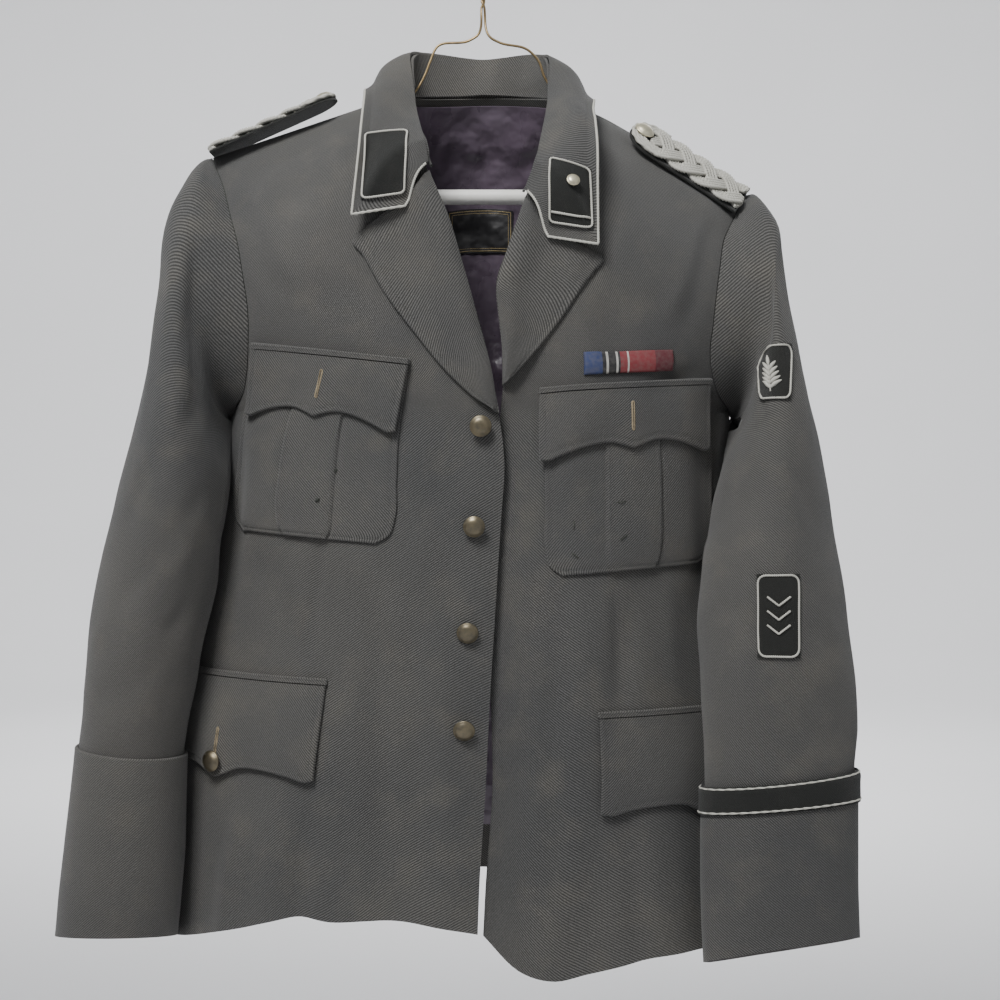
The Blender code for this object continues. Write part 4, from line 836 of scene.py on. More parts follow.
def over_the_body(point: Array) -> Array:
    """Point of the collar fall moved clear of the fronts and the back.

    Args:
        point: Point of the fall, changed in place.

    Returns:
        The point.
    """
    x, y, z = point
    side = -1 if x < 0.0 else 1
    if z > shoulder_height(x) - EDGE_ROOM:
        return point
    if y < 0.0 and abs(x) > abs(edge_x(side, z)) - EDGE_ROOM:
        point[1] = min(y, body_y(side, True, x, z) - FALL_REST)
    if y > 0.0 and z < back_top_height(x) + EDGE_ROOM:
        point[1] = max(y, body_y(side, False, x, z) + FALL_REST)
    return point


def armhole_ring(side: int) -> Array:
    """Loop of the armhole, from the shoulder tip by the front to the underarm and back.

    Args:
        side: -1 for the wearer's right.

    Returns:
        Points round the armhole.
    """
    tip = RIGHT_TIP if side < 0 else LEFT_TIP
    middle = (tip[1] + UNDERARM_Z) / 2.0
    half = (tip[1] - UNDERARM_Z) / 2.0
    ring = []
    for index in range(AROUND):
        turn = 2.0 * math.pi * index / AROUND
        z = middle + half * math.cos(turn)
        front = turn <= math.pi + 1e-9
        x = armhole_x(side, front, z)
        y = body_y(side, front, x, z)
        if index in (0, AROUND // 2):
            y = body_row(z)[0]
        ring.append((x + side * 2.0 * SEAM_GAP, y, z))
    return np.array(ring)


def oval_ring(row: Array, inset: float = 0.0, pitch: float = 0.0) -> Array:
    """Ring of a sleeve from a table row, its walls inset.

    Args:
        row: Row of a sleeve's table.
        inset: Distance inside the table's oval.
        pitch: How far the front of the ring is raised.

    Returns:
        Points round the sleeve.
    """
    top_x, top_z, under_x, under_z, middle_y, half_depth = row
    top = np.array([top_x, middle_y, top_z])
    under = np.array([under_x, middle_y, under_z])
    centre = (top + under) / 2.0
    arm = (top - under) / 2.0
    size = np.linalg.norm(arm)
    ring = []
    for index in range(AROUND):
        turn = 2.0 * math.pi * index / AROUND
        point = centre + unit(arm) * (size - inset) * math.cos(turn)
        point[1] -= (half_depth - inset) * math.sin(turn)
        point[2] += pitch * math.sin(turn)
        ring.append(point)
    return np.array(ring)


def clear_of_body(side: int, ring: Array) -> Array:
    """Move the points of a ring out of the body and its room.

    Args:
        side: -1 for the wearer's right.
        ring: Points round the sleeve, changed in place.

    Returns:
        The points.
    """
    for point in ring:
        x, y, z = point
        if z > SLEEVE_ROOM[-1, 0]:
            continue
        room = float(np.interp(z, SLEEVE_ROOM[:, 0], SLEEVE_ROOM[:, 1]))
        seam_y, right_w, right_y, left_w, left_y, back_y = body_row(z)
        width = (right_w if side < 0 else left_w) + room
        front_y = right_y if side < 0 else left_y
        depth = (seam_y - front_y if y < seam_y else back_y - seam_y) + room
        power = 2.0 / SECTION_POWER
        away = min(abs(y - seam_y) / depth, 1.0)
        out_x = width * math.sqrt(max(0.0, 1.0 - away ** power))
        if abs(x) >= out_x:
            continue
        out_y = depth * (1.0 - (x / width) ** 2) ** (SECTION_POWER / 2.0)
        if out_x - abs(x) <= out_y - abs(y - seam_y):
            point[0] = side * out_x
        else:
            point[1] = seam_y + math.copysign(out_y, y - seam_y)
    return ring


def sleeve_rings(side: int, sleeve: Array, cuff: Array) -> Array:
    """Outer rings of a sleeve from the armhole to inside its cuff.

    Args:
        side: -1 for the wearer's right.
        sleeve: The sleeve's table.
        cuff: The cuff's table.

    Returns:
        Rings by points round.
    """
    rings = [armhole_ring(side)]
    rings += [clear_of_body(side, oval_ring(row)) for row in sleeve]
    inset = CUFF_WALL + 2.0 * SEAM_GAP
    for share in (0.0, 1.0):
        step = (cuff[1] - cuff[0]) * (share * SLEEVE_IN_CUFF / abs(cuff[1, 1] - cuff[0, 1]))
        rise = np.array([0.0, SEAM_GAP, 0.0, SEAM_GAP, 0.0, 0.0])
        rings.append(oval_ring(cuff[0] + step + rise, inset))
    return np.array(rings)


def ring_outward(rings: Array) -> Array:
    """Direction from the middle of each ring."""
    return rings - rings.mean(axis=1, keepdims=True)


def cuff_rings(cuff: Array) -> Array:
    """Outer rings of a cuff."""
    return np.array([oval_ring(row, 0.0, CUFF_PITCH * index / (len(cuff) - 1))
                     for index, row in enumerate(cuff)])


def flap_span(flap: tuple) -> tuple[float, float, float, float]:
    """Reach and height of the two upper corners of a flap.

    Args:
        flap: Row of the flaps' table.

    Returns:
        Reach and height, inner then outer.
    """
    _, side, inner_x, inner_z, outer_x, outer_z = flap[:6]
    inner = reach_of(side, inner_x, inner_z)
    outer = inner + LOWER_FLAP_WIDTH if outer_x is None else reach_of(side, outer_x, outer_z)
    return inner, inner_z, outer, outer_z


def board_axes(board: tuple) -> tuple[Array, Array, Array, Array, float]:
    """Origin at the sleeve end, then the unit axes along, across and up a board.

    Args:
        board: Neck end, sleeve end and roll.

    Returns:
        Origin, along, across, up and length.
    """
    neck_end, sleeve_end, roll = board
    origin = np.array(sleeve_end)
    along = np.array(neck_end) - origin
    length = np.linalg.norm(along)
    along = unit(along)
    flat = unit(np.cross(along, (0.0, 1.0, 0.0)))
    if flat[2] < 0.0:
        flat = -flat
    turn = math.radians(roll)
    forward = np.cross(flat, along)
    if forward[1] > 0.0:
        forward = -forward
    up = flat * math.cos(turn) + forward * math.sin(turn)
    across = forward * math.cos(turn) - flat * math.sin(turn)
    return origin, along, across, up, length


def sample_grid(grid: Array, row: float, column: float) -> Array:
    """Point of a grid between its rows and columns, the columns taken round.

    Args:
        grid: Points in rows and columns.
        row: Row, with its share.
        column: Column, with its share.

    Returns:
        The point.
    """
    low_row = min(int(row), len(grid) - 2)
    columns = grid.shape[1]
    low = int(math.floor(column))
    down, right = row - low_row, column - low
    first, second = low % columns, (low + 1) % columns
    upper = grid[low_row, first] * (1 - right) + grid[low_row, second] * right
    lower = grid[low_row + 1, first] * (1 - right) + grid[low_row + 1, second] * right
    return upper * (1 - down) + lower * down


def place_on(grid: Array, x: float, z: float, rows: tuple, columns: tuple) -> tuple[float, float]:
    """Row and column of a grid at x, z.

    Args:
        grid: Points in rows and columns.
        x: Place across.
        z: Height.
        rows: Rows between which the place is looked for.
        columns: Columns between which it is looked for.

    Returns:
        The row and the column, with their shares.
    """
    goal = np.array([x, z])
    places = [(row, column) for row in np.linspace(*rows, SEARCH_STEPS)
              for column in np.linspace(*columns, SEARCH_STEPS)]
    row, column = min(places, key=lambda place: float(np.linalg.norm(
        sample_grid(grid, *place)[[0, 2]] - goal)))
    for _ in range(SEARCH_STEPS):
        here = sample_grid(grid, row, column)[[0, 2]]
        down = (sample_grid(grid, row + SEARCH_TRY, column)[[0, 2]] - here) / SEARCH_TRY
        right = (sample_grid(grid, row, column + SEARCH_TRY)[[0, 2]] - here) / SEARCH_TRY
        step = np.linalg.solve(np.array([down, right]).T, goal - here)
        row = float(np.clip(row + np.clip(step[0], -3.0, 3.0), *rows))
        column = float(np.clip(column + np.clip(step[1], -3.0, 3.0), *columns))
    return row, column


RIM_STATIONS = (0.0, 0.0004, 0.0010, 0.0020)
WEAVE_UV = "weave"
SHARP_ANGLE = 55.0


def knots_of(grid: Array) -> Array:
    """Mean length along the rows of a grid, up to each row."""
    steps = np.linalg.norm(np.diff(grid, axis=0), axis=2).mean(axis=1)
    return np.concatenate([[0.0], np.cumsum(steps)])


def spline(points: Array, knots: Array, at: Array) -> Array:
    """Smooth curve through points, along their first axis.

    Args:
        points: Points to pass through.
        knots: Length at each of them.
        at: Lengths at which the curve is read.

    Returns:
        The points read.
    """
    steps = np.diff(knots)
    wide = (slice(None),) + (None,) * (points.ndim - 1)
    slopes = np.diff(points, axis=0) / steps[wide]
    tangents = np.empty_like(points)
    tangents[0], tangents[-1] = slopes[0], slopes[-1]
    before, after = steps[:-1][wide], steps[1:][wide]
    tangents[1:-1] = (slopes[:-1] * after + slopes[1:] * before) / (before + after)
    part = np.clip(np.searchsorted(knots, at, side="right") - 1, 0, len(steps) - 1)
    share = ((at - knots[part]) / steps[part])[wide]
    span = steps[part][wide]
    square, cube = share * share, share ** 3
    return ((2.0 * cube - 3.0 * square + 1.0) * points[part]
            + (cube - 2.0 * square + share) * span * tangents[part]
            + (3.0 * square - 2.0 * cube) * points[part + 1]
            + (cube - square) * span * tangents[part + 1])


def stations(length: float, step: float, rims: bool) -> Array:
    """Lengths at which a piece is cut into cells.

    Args:
        length: Whole length.
        step: Size of a cell.
        rims: Whether the cells close up towards both ends.

    Returns:
        The lengths, from 0 to the whole length.
    """
    if not rims:
        return np.linspace(0.0, length, max(2, round(length / step)) + 1)
    ends = np.array(RIM_STATIONS)
    middle = np.linspace(ends[-1], length - ends[-1], max(2, round(length / step)) + 1)
    return np.concatenate([ends[:-1], middle, length - ends[-2::-1]])


def refined(grid: Array, rows: Array, columns: Array, closed: bool,
            corners: Sequence[int] = ()) -> Array:
    """Finer grid on the smooth surface through a grid.

    Args:
        grid: Points in rows and columns.
        rows: Shares of the length down the grid.
        columns: Shares of the length across it, or round it.
        closed: Whether the columns run right round.
        corners: Columns along which the surface may have a corner.

    Returns:
        The finer grid.
    """
    knots = knots_of(grid)
    fine = spline(grid, knots, rows * knots[-1])
    turned = fine.swapaxes(0, 1)
    if closed:
        turned = np.concatenate([turned[-3:], turned, turned[:4]])
        knots = knots_of(turned)
        first, last = knots[3], knots[-4]
    else:
        knots = knots_of(turned)
        first, last = 0.0, knots[-1]
    at = first + columns * (last - first)
    made = spline(turned, knots, at)
    ends = [0, *corners, len(knots) - 1] if corners else []
    for start, end in zip(ends[:-1], ends[1:]):
        inside = (at >= knots[start]) & (at <= knots[end])
        made[inside] = spline(turned[start:end + 1], knots[start:end + 1], at[inside])
    return made.swapaxes(0, 1)


class Cloth:
    """A piece of cloth as two faces in the same rows and columns."""

    def __init__(self, outer: Array, inner: Array, step: float,
                 closed: bool = False, rims: bool = False, corners: Sequence[int] = ()) -> None:
        """Lay fine cells on the piece's two coarse faces.

        Args:
            outer: Outer face, rows by columns.
            inner: Inner face, of the same shape.
            step: Size of a cell.
            closed: Whether the columns run right round.
            rims: Whether the cells close up towards the piece's edges.
            corners: Columns of the coarse faces at which the outline has a corner.
        """
        self.closed = closed
        down = knots_of(outer)[-1]
        ring = np.concatenate([outer, outer[:, :1]], axis=1) if closed else outer
        across = knots_of(ring.swapaxes(0, 1))[-1]
        rows = stations(down, step, rims) / down
        columns = stations(across, step, rims and not closed) / across
        for corner in corners:
            share = knots_of(outer.swapaxes(0, 1))[corner] / across
            columns[np.abs(columns - share).argmin()] = share
        if closed:
            columns = columns[:-1]
        self.outer = refined(outer, rows, columns, closed, corners)
        self.inner = refined(inner, rows, columns, closed, corners)
        self.down = rows * down
        self.across = columns * across
        self.whole_across = across

    def normals(self) -> Array:
        """Unit normals of the outer face."""
        return grid_normals(self.outer, self.outer - self.inner, self.closed)

    def move(self, height: Array) -> None:
        """Move both faces along the outer normals.

        Args:
            height: Distance at each point, outward.
        """
        shift = self.normals() * height[:, :, None]
        self.outer = self.outer + shift
        self.inner = self.inner + shift

    def press(self, height: Array) -> None:
        """Move the outer face alone along its normals."""
        self.outer = self.outer + self.normals() * height[:, :, None]

    def from_rim(self, sides: str = "tblr") -> Array:
        """Distance of each point from the chosen edges.

        Args:
            sides: Letters of the edges: top (first row), bottom, left (first column), right.

        Returns:
            Distances, rows by columns.
        """
        down, across = self.down[:, None], self.across[None, :]
        away = {"t": down, "b": down[::-1].max() - down, "l": across,
                "r": self.whole_across - across}
        near = np.full(self.outer.shape[:2], 1.0)
        for side in sides:
            near = np.minimum(near, np.broadcast_to(away[side], near.shape))
        return near

    def round_rims(self, radius: float, sides: str = "tblr") -> None:
        """Turn the outer face down over the edges, as folded cloth lies.

        Args:
            radius: Width of the rounding.
            sides: Letters of the edges, as for from_rim.
        """
        near = np.clip(self.from_rim(sides) / radius, 0.0, 1.0)
        full = 0.25 + 0.75 * np.sqrt(1.0 - (1.0 - near) ** 2)
        self.outer = self.inner + (self.outer - self.inner) * full[:, :, None]

    def place(self, down: float, across: float, lift: float = 0.0) -> Array:
        """Point of the outer face, lifted off it.

        Args:
            down: Length down from the first row, or up from the last one if negative.
            across: Length from the first column, or from the last one if negative.
            lift: Distance above the cloth.

        Returns:
            The point.
        """
        down = down + self.down[-1] if down < 0.0 else down
        across = across + self.whole_across if across < 0.0 else across
        row = float(np.interp(down, self.down, np.arange(len(self.down))))
        ends = np.append(self.across, self.whole_across) if self.closed else self.across
        column = float(np.interp(across, ends, np.arange(len(ends))))
        if not self.closed:
            column = min(column, self.outer.shape[1] - 1.001)
        point = sample_grid(self.outer, row, column)
        if lift:
            away = sample_grid(self.outer, row, column) - sample_grid(self.inner, row, column)
            point = point + unit(away) * lift
        return point

    def line(self, places: Sequence[tuple[float, float]], lift: float = 0.0,
             step: float = 0.002) -> Array:
        """Line on the outer face through places down and across.

        Args:
            places: Lengths down and across; negative ones count from the far edge.
            lift: Distance above the cloth.
            step: Distance between the points.

        Returns:
            Points of the line.
        """
        turned = []
        for down, across in places:
            turned.append((down + self.down[-1] if down < 0.0 else down,
                           across + self.whole_across if across < 0.0 else across))
        points = []
        for first, last in zip(turned[:-1], turned[1:]):
            count = max(1, round(math.dist(first, last) / step))
            for share in np.linspace(0.0, 1.0, count + 1)[:-1]:
                points.append(self.place(first[0] + share * (last[0] - first[0]),
                                         first[1] + share * (last[1] - first[1]), lift))
        points.append(self.place(*turned[-1], lift))
        return np.array(points)

    def dress(self, name: str, nodes: Sequence[str], finishes: Sequence["Finish"],
              facing: float = 0.0) -> Any:
        """Make the piece's object, which stands for its CAD nodes.

        Args:
            name: Name of the piece.
            nodes: CAD nodes that it stands for.
            finishes: Finish of the outer face, then of the inner face, then of the inner face
                beyond its facing.
            facing: Width of the facing from the first column.

        Returns:
            The object.
        """
        rows, columns = self.outer.shape[:2]
        layer = rows * columns
        number = np.arange(layer).reshape(rows, columns)
        if self.closed:
            number = np.concatenate([number, number[:, :1]], axis=1)
        a, b = number[:-1, :-1], number[:-1, 1:]
        c, d = number[1:, 1:], number[1:, :-1]
        front = np.stack([a, b, c, d], axis=-1).reshape(-1, 4)
        back = front[:, ::-1] + layer
        rims = [strip_faces(number[0], layer), strip_faces(number[-1][::-1], layer)]
        if not self.closed:
            rims += [strip_faces(number[:, 0][::-1], layer), strip_faces(number[:, -1], layer)]
        faces = np.concatenate([front, back, *rims])
        points = np.concatenate([self.outer.reshape(-1, 3), self.inner.reshape(-1, 3)])
        flat = np.stack(np.broadcast_arrays(self.across[None, :], self.down[:, None]), axis=-1)
        flat = np.tile(flat.reshape(-1, 2), (2, 1))
        inside = np.zeros(len(faces), dtype=int)
        if len(finishes) > 1:
            beyond = np.broadcast_to(self.across[:columns if self.closed else -1] > facing,
                                     (rows - 1, columns if self.closed else columns - 1))
            inside[len(front):len(front) + len(back)] = np.where(
                beyond.reshape(-1) & (len(finishes) > 2), 2, 1)
        made = mesh_object(name, points, faces, finishes, inside, flat)
        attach(made, BODY)
        if nodes:
            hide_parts(*nodes)
        return made


def strip_faces(edge: Array, layer: int) -> Array:
    """Faces between an edge of the outer face and the same edge of the inner one."""
    return np.stack([edge[1:], edge[:-1], edge[:-1] + layer, edge[1:] + layer], axis=-1)


def ring_faces(number: Array) -> Array:
    """Faces between rings of points, given as the numbers of their points.

    Args:
        number: Numbers of the points, rings by points.

    Returns:
        Faces with four corners.
    """
    around = np.concatenate([number, number[:, :1]], axis=1)
    corners = [around[:-1, :-1], around[:-1, 1:], around[1:, 1:], around[1:, :-1]]
    return np.stack(corners, axis=-1).reshape(-1, 4)


def cap_faces(ring: Array, middle: int) -> list[tuple]:
    """Faces between a ring, its first point given again at its end, and a middle point."""
    return [(ring[k], ring[k + 1], ring[k + 2], middle) for k in range(0, len(ring) - 1, 2)]


def placed(name: str, data: Any) -> Any:
    """New object in the scene.

    Args:
        name: Name of the object.
        data: Its mesh, curve, lamp or camera.

    Returns:
        The object.
    """
    made = bpy.data.objects.new(name, data)
    bpy.context.scene.collection.objects.link(made)
    return made


def mesh_object(name: str, points: Array, faces: Array, finishes: Sequence["Finish"],
                material_of: Array | None = None, flat: Array | None = None) -> Any:
    """Object of one closed mesh, with its faces pointing out.

    Args:
        name: Name of the piece.
        points: Its points.
        faces: Corner numbers of its faces, all with the same number of corners.
        finishes: Its finishes, one for each material slot.
        material_of: Slot of each face.
        flat: Place of each point on the flat cloth, in metres.

    Returns:
        The object.
    """
    faces = np.asarray(faces)
    corners = points[faces]
    volume = 0.0
    for second in range(1, faces.shape[1] - 1):
        volume += float(np.einsum("ij,ij->i", corners[:, 0],
                                  np.cross(corners[:, second], corners[:, second + 1])).sum())
    if volume < 0.0:
        faces = faces[:, ::-1]
    mesh = bpy.data.meshes.new(name)
    mesh.from_pydata(points.tolist(), [], faces.tolist())
    mesh.polygons.foreach_set("use_smooth", np.ones(len(faces), dtype=bool))
    for finish in finishes:
        mesh.materials.append(finish.made())
    if material_of is not None:
        mesh.polygons.foreach_set("material_index", material_of.astype(np.int32))
    if flat is not None:
        layer = mesh.uv_layers.new(name=WEAVE_UV)
        layer.data.foreach_set("uv", flat[faces.reshape(-1)].astype(np.float32).reshape(-1))
    mesh.set_sharp_from_angle(angle=math.radians(SHARP_ANGLE))
    return placed(name, mesh)


def crease_height(points: Array, ends: Array, widths: Array, heights: Array) -> Array:
    """Height of soft troughs and ridges, each along a straight line.

    Args:
        points: Points in rows and columns.
        ends: First and last point of each crease.
        widths: Half width of each crease.
        heights: Height of each crease, negative for a trough.

    Returns:
        Heights, rows by columns.
    """
    total = np.zeros(points.shape[:2])
    for (first, last), width, height in zip(ends, widths, heights):
        along = last - first
        share = np.clip((points - first) @ along / float(along @ along), 0.0, 1.0)
        off = np.linalg.norm(points - first - share[..., None] * along, axis=-1)
        taper = np.sin(math.pi * (0.06 + 0.88 * share ** 0.8)) ** 0.7
        total += height * taper * np.exp(-((off / width) ** 2))
    return total


def soft_waves(points: Array, sizes: Sequence[tuple[float, float]]) -> Array:
    """Uneven surface of hanging cloth.

    Args:
        points: Points in rows and columns.
        sizes: Length and height of each set of waves.

    Returns:
        Heights, rows by columns.
    """
    flat = points.reshape(-1, 3)
    total = np.zeros(len(flat))
    for length, height in sizes:
        scaled = flat / np.array([length, length, length * 1.7])
        total += height * np.array([noise.noise(Vector(point)) for point in scaled])
    return total.reshape(points.shape[:2])


class Shader:
    """Wires the nodes of one finish."""

    def __init__(self, name: str) -> None:
        """Start a material with one surface shader.

        Args:
            name: Name of the material.
        """
        self.material = bpy.data.materials.new(name)
        self.material.use_nodes = True
        self.tree = self.material.node_tree
        self.surface = self.tree.nodes["Principled BSDF"]

    def add(self, kind: str, values: dict | None = None, **settings: Any) -> Any:
        """Add a node.

        Args:
            kind: Kind of node.
            values: Values or sockets for its inputs, by name or number.
            settings: Properties of the node.

        Returns:
            The node.
        """
        node = self.tree.nodes.new("ShaderNode" + kind)
        for name, value in settings.items():
            setattr(node, name, value)
        for socket, value in (values or {}).items():
            self.set(node.inputs[socket], value)
        return node

    def set(self, socket: Any, value: Any) -> None:
        """Give an input a value or a link.

        Args:
            socket: The input.
            value: A value or another node's output.
        """
        if isinstance(value, bpy.types.NodeSocket):
            self.tree.links.new(value, socket)
        else:
            socket.default_value = value

    def finish(self, values: dict) -> Any:
        """Set the surface shader's inputs.

        Args:
            values: Values or outputs by the names of the inputs.

        Returns:
            The material.
        """
        for name, value in values.items():
            self.set(self.surface.inputs[name], value)
        return self.material

    def place(self) -> Any:
        """Place on the object, in metres."""
        return self.add("TexCoord").outputs["Object"]

    def flat(self, scale: tuple[float, float] = (1.0, 1.0), turn: float = 0.0) -> Any:
        """Place on the flat cloth, in metres.

        Args:
            scale: Scale across and down.
            turn: Turn of the pattern in degrees.

        Returns:
            The socket.
        """
        found = self.add("UVMap", uv_map=WEAVE_UV).outputs["UV"]
        return self.add("Mapping", {"Vector": found, "Scale": (*scale, 1.0),
                                    "Rotation": (0.0, 0.0, math.radians(turn))}).outputs["Vector"]

    def noise(self, place: Any, scale: float, detail: float = 2.0, rough: float = 0.5) -> Any:
        """Noise at a place.

        Args:
            place: Socket with the place.
            scale: Waves in a metre.
            detail: Number of finer layers.
            rough: Strength of the finer layers.

        Returns:
            The socket with the noise, about 0 to 1.
        """
        return self.add("TexNoise", {"Vector": place, "Scale": scale, "Detail": detail,
                                     "Roughness": rough}).outputs["Fac"]

    def bands(self, place: Any, pitch: float, direction: str = "DIAGONAL",
              distortion: float = 0.0) -> Any:
        """Fine bands, such as the lines of a weave.

        Args:
            place: Socket with the place.
            pitch: Distance between the bands, in metres.
            direction: Direction that the bands follow each other in.
            distortion: How unevenly they run.

        Returns:
            The socket, 0 to 1.
        """
        full = 0.444 if direction == "DIAGONAL" else 0.314
        values = {"Vector": place, "Scale": full / pitch, "Distortion": distortion,
                  "Detail": 1.0, "Detail Scale": 2.0}
        return self.add("TexWave", values, bands_direction=direction).outputs["Fac"]

    def mix(self, share: Any, first: Any, second: Any, blend: str = "MIX") -> Any:
        """Mix two colours.

        Args:
            share: Share of the second.
            first: First colour or socket.
            second: Second colour or socket.
            blend: Way of mixing.

        Returns:
            The socket with the colour.
        """
        node = self.add("Mix", data_type="RGBA", blend_type=blend)
        for number, value in ((0, share), (6, first), (7, second)):
            if isinstance(value, tuple) and len(value) == 3:
                value = (*value, 1.0)
            self.set(node.inputs[number], value)
        return node.outputs[2]

    def shaded(self, colour: Any, shade: Any) -> Any:
        """Colour made darker or lighter by a value."""
        grey = self.add("CombineColor", {0: shade, 1: shade, 2: shade}).outputs[0]
        return self.mix(1.0, colour, grey, "MULTIPLY")

    def ramp(self, value: Any, low: float, high: float, start: float = 0.0,
             end: float = 1.0) -> Any:
        """Value spread between two limits.

        Args:
            value: Socket with the value.
            low: Value that becomes start.
            high: Value that becomes end.
            start: Result at low.
            end: Result at high.

        Returns:
            The socket.
        """
        return self.add("MapRange", {"Value": value, "From Min": low, "From Max": high,
                                     "To Min": start, "To Max": end}).outputs["Result"]

    def bump(self, height: Any, depth: float, before: Any = None) -> Any:
        """Relief of a height field.

        Args:
            height: Socket with the height, 0 to 1.
            depth: Depth in metres.
            before: Socket with another relief to add to.

        Returns:
            The socket with the normal.
        """
        values = {"Height": height, "Strength": 1.0, "Distance": depth}
        if before is not None:
            values["Normal"] = before
        return self.add("Bump", values).outputs["Normal"]


Colour = tuple[float, float, float]


@dataclass(frozen=True)
class Finish:
    """A finish, made once and then shared."""

    name: str
    slot: str
    colour: Colour
    other: Colour
    rough: float = 0.9

    def made(self) -> Any:
        """The finish's material."""
        found = bpy.data.materials.get(self.name)
        return found if found is not None else self.build(Shader(self.name))

    def build(self, shader: Shader) -> Any:
        """Wire the material."""
        raise NotImplementedError


@dataclass(frozen=True)
class Twill(Finish):
    """Woollen twill with a fine diagonal and a slight nap."""

    pitch: float = 0.0016
    worn: Colour = (0.105, 0.097, 0.082)

    def build(self, shader: Shader) -> Any:
        """Wire the material.

        Args:
            shader: Shader of the new material.

        Returns:
            The material.
        """
        place = shader.place()
        flat = shader.flat()
        patches = shader.ramp(shader.noise(place, 5.0, 3.0, 0.55), 0.35, 0.70)
        colour = shader.mix(patches, self.colour, self.other)
        dusty = shader.ramp(shader.noise(place, 26.0, 4.0, 0.6), 0.50, 0.78, 0.0, 0.45)
        colour = shader.mix(dusty, colour, self.worn)
        fibre = shader.ramp(shader.noise(flat, 900.0, 2.0, 0.7), 0.30, 0.70, 0.74, 1.24)
        weave = shader.bands(flat, self.pitch, "DIAGONAL", 0.9)
        lines = shader.ramp(weave, 0.0, 1.0, 0.42, 1.60)
        shade = shader.add("Math", {0: fibre, 1: lines}, operation="MULTIPLY").outputs[0]
        colour = shader.shaded(colour, shade)
        relief = shader.bump(weave, 0.00022)
        relief = shader.bump(shader.noise(flat, 700.0, 3.0, 0.7), 0.00025, relief)
        return shader.finish({"Base Color": colour, "Roughness": self.rough, "Normal": relief,
                              "Sheen Weight": 0.12, "Sheen Roughness": 0.5,
                              "Specular IOR Level": 0.2})


@dataclass(frozen=True)
class Satin(Finish):
    """Smooth lining with a soft shine."""

    def build(self, shader: Shader) -> Any:
        """Wire the material.

        Args:
            shader: Shader of the new material.

        Returns:
            The material.
        """
        place = shader.place()
        flat = shader.flat()
        patches = shader.ramp(shader.noise(place, 14.0, 4.0, 0.6), 0.30, 0.72)
        colour = shader.mix(patches, self.colour, self.other)
        threads = shader.bands(flat, 0.0006, "X", 0.6)
        relief = shader.bump(shader.noise(place, 45.0, 2.0, 0.5), 0.0050)
        relief = shader.bump(threads, 0.00004, relief)
        rough = shader.ramp(shader.noise(place, 40.0, 3.0), 0.3, 0.7, self.rough - 0.08,
                            self.rough + 0.10)
        return shader.finish({"Base Color": colour, "Roughness": rough, "Normal": relief,
                              "Sheen Weight": 0.25, "Sheen Roughness": 0.3})


@dataclass(frozen=True)
class AgedMetal(Finish):
    """Metal with a dull patina in its hollows."""

    grain: float = 700.0
    relief: float = 0.00012

    def build(self, shader: Shader) -> Any:
        """Wire the material.

        Args:
            shader: Shader of the new material.

        Returns:
            The material.
        """
        place = shader.place()
        dull = shader.ramp(shader.noise(place, 110.0, 3.0, 0.6), 0.38, 0.66)
        colour = shader.mix(dull, self.colour, self.other)
        rough = shader.ramp(shader.noise(place, 150.0, 3.0), 0.3, 0.7, self.rough - 0.06,
                            self.rough + 0.10)
        metal = shader.ramp(dull, 0.0, 1.0, 1.0, 0.72)
        relief = shader.bump(shader.noise(place, self.grain, 2.0, 0.5), self.relief)
        return shader.finish({"Base Color": colour, "Metallic": metal, "Roughness": rough,
                              "Normal": relief})


@dataclass(frozen=True)
class Threads(Finish):
    """Cord, braid or sewing thread with its fine twist, with painted shade and highlight along the
    strands.
    """

    pitch: float = 0.0007
    shine: float = 0.0

    def build(self, shader: Shader) -> Any:
        """Wire the material.

        Args:
            shader: Shader of the new material.

        Returns:
            The material.
        """
        place = shader.place()
        mottled = shader.ramp(shader.noise(place, 190.0, 3.0, 0.6), 0.32, 0.70)
        colour = shader.mix(mottled, self.colour, self.other)
        twist = shader.bands(place, self.pitch, "DIAGONAL", 1.5)
        # Colour darkened between the strands of the twist and lightened on their crowns: painted
        # shade and highlight.
        shade = shader.ramp(twist, 0.15, 0.75, 0.25, 1.20)
        colour = shader.shaded(colour, shade)
        relief = shader.bump(twist, 0.00012)
        return shader.finish({"Base Color": colour, "Roughness": self.rough, "Normal": relief,
                              "Metallic": self.shine})


@dataclass(frozen=True)
class RibbonStripes(Finish):
    """Ribbed ribbons side by side, their stripes across the bar."""

    stripes: tuple[tuple[float, Colour], ...] = ((0.0, (0.2, 0.2, 0.2)),)

    def build(self, shader: Shader) -> Any:
        """Wire the material.

        Args:
            shader: Shader of the new material.

        Returns:
            The material.
        """
        flat = shader.flat()
        across = shader.add("SeparateXYZ", {0: flat}).outputs[0]
        wide = self.stripes[-1][0]
        ramp = shader.add("ValToRGB", {0: shader.ramp(across, 0.0, wide)})
        ramp.color_ramp.interpolation = "CONSTANT"
        ramp.color_ramp.elements.remove(ramp.color_ramp.elements[1])
        ramp.color_ramp.elements[0].color = (*self.stripes[0][1], 1.0)
        for start, colour in self.stripes[1:-1]:
            ramp.color_ramp.elements.new(start / wide).color = (*colour, 1.0)
        dust = shader.ramp(shader.noise(shader.place(), 300.0, 3.0), 0.35, 0.7, 0.0, 0.35)
        colour = shader.mix(dust, ramp.outputs[0], self.other)
        relief = shader.bump(shader.bands(flat, 0.0008, "Y"), 0.00012)
        return shader.finish({"Base Color": colour, "Roughness": self.rough, "Normal": relief})


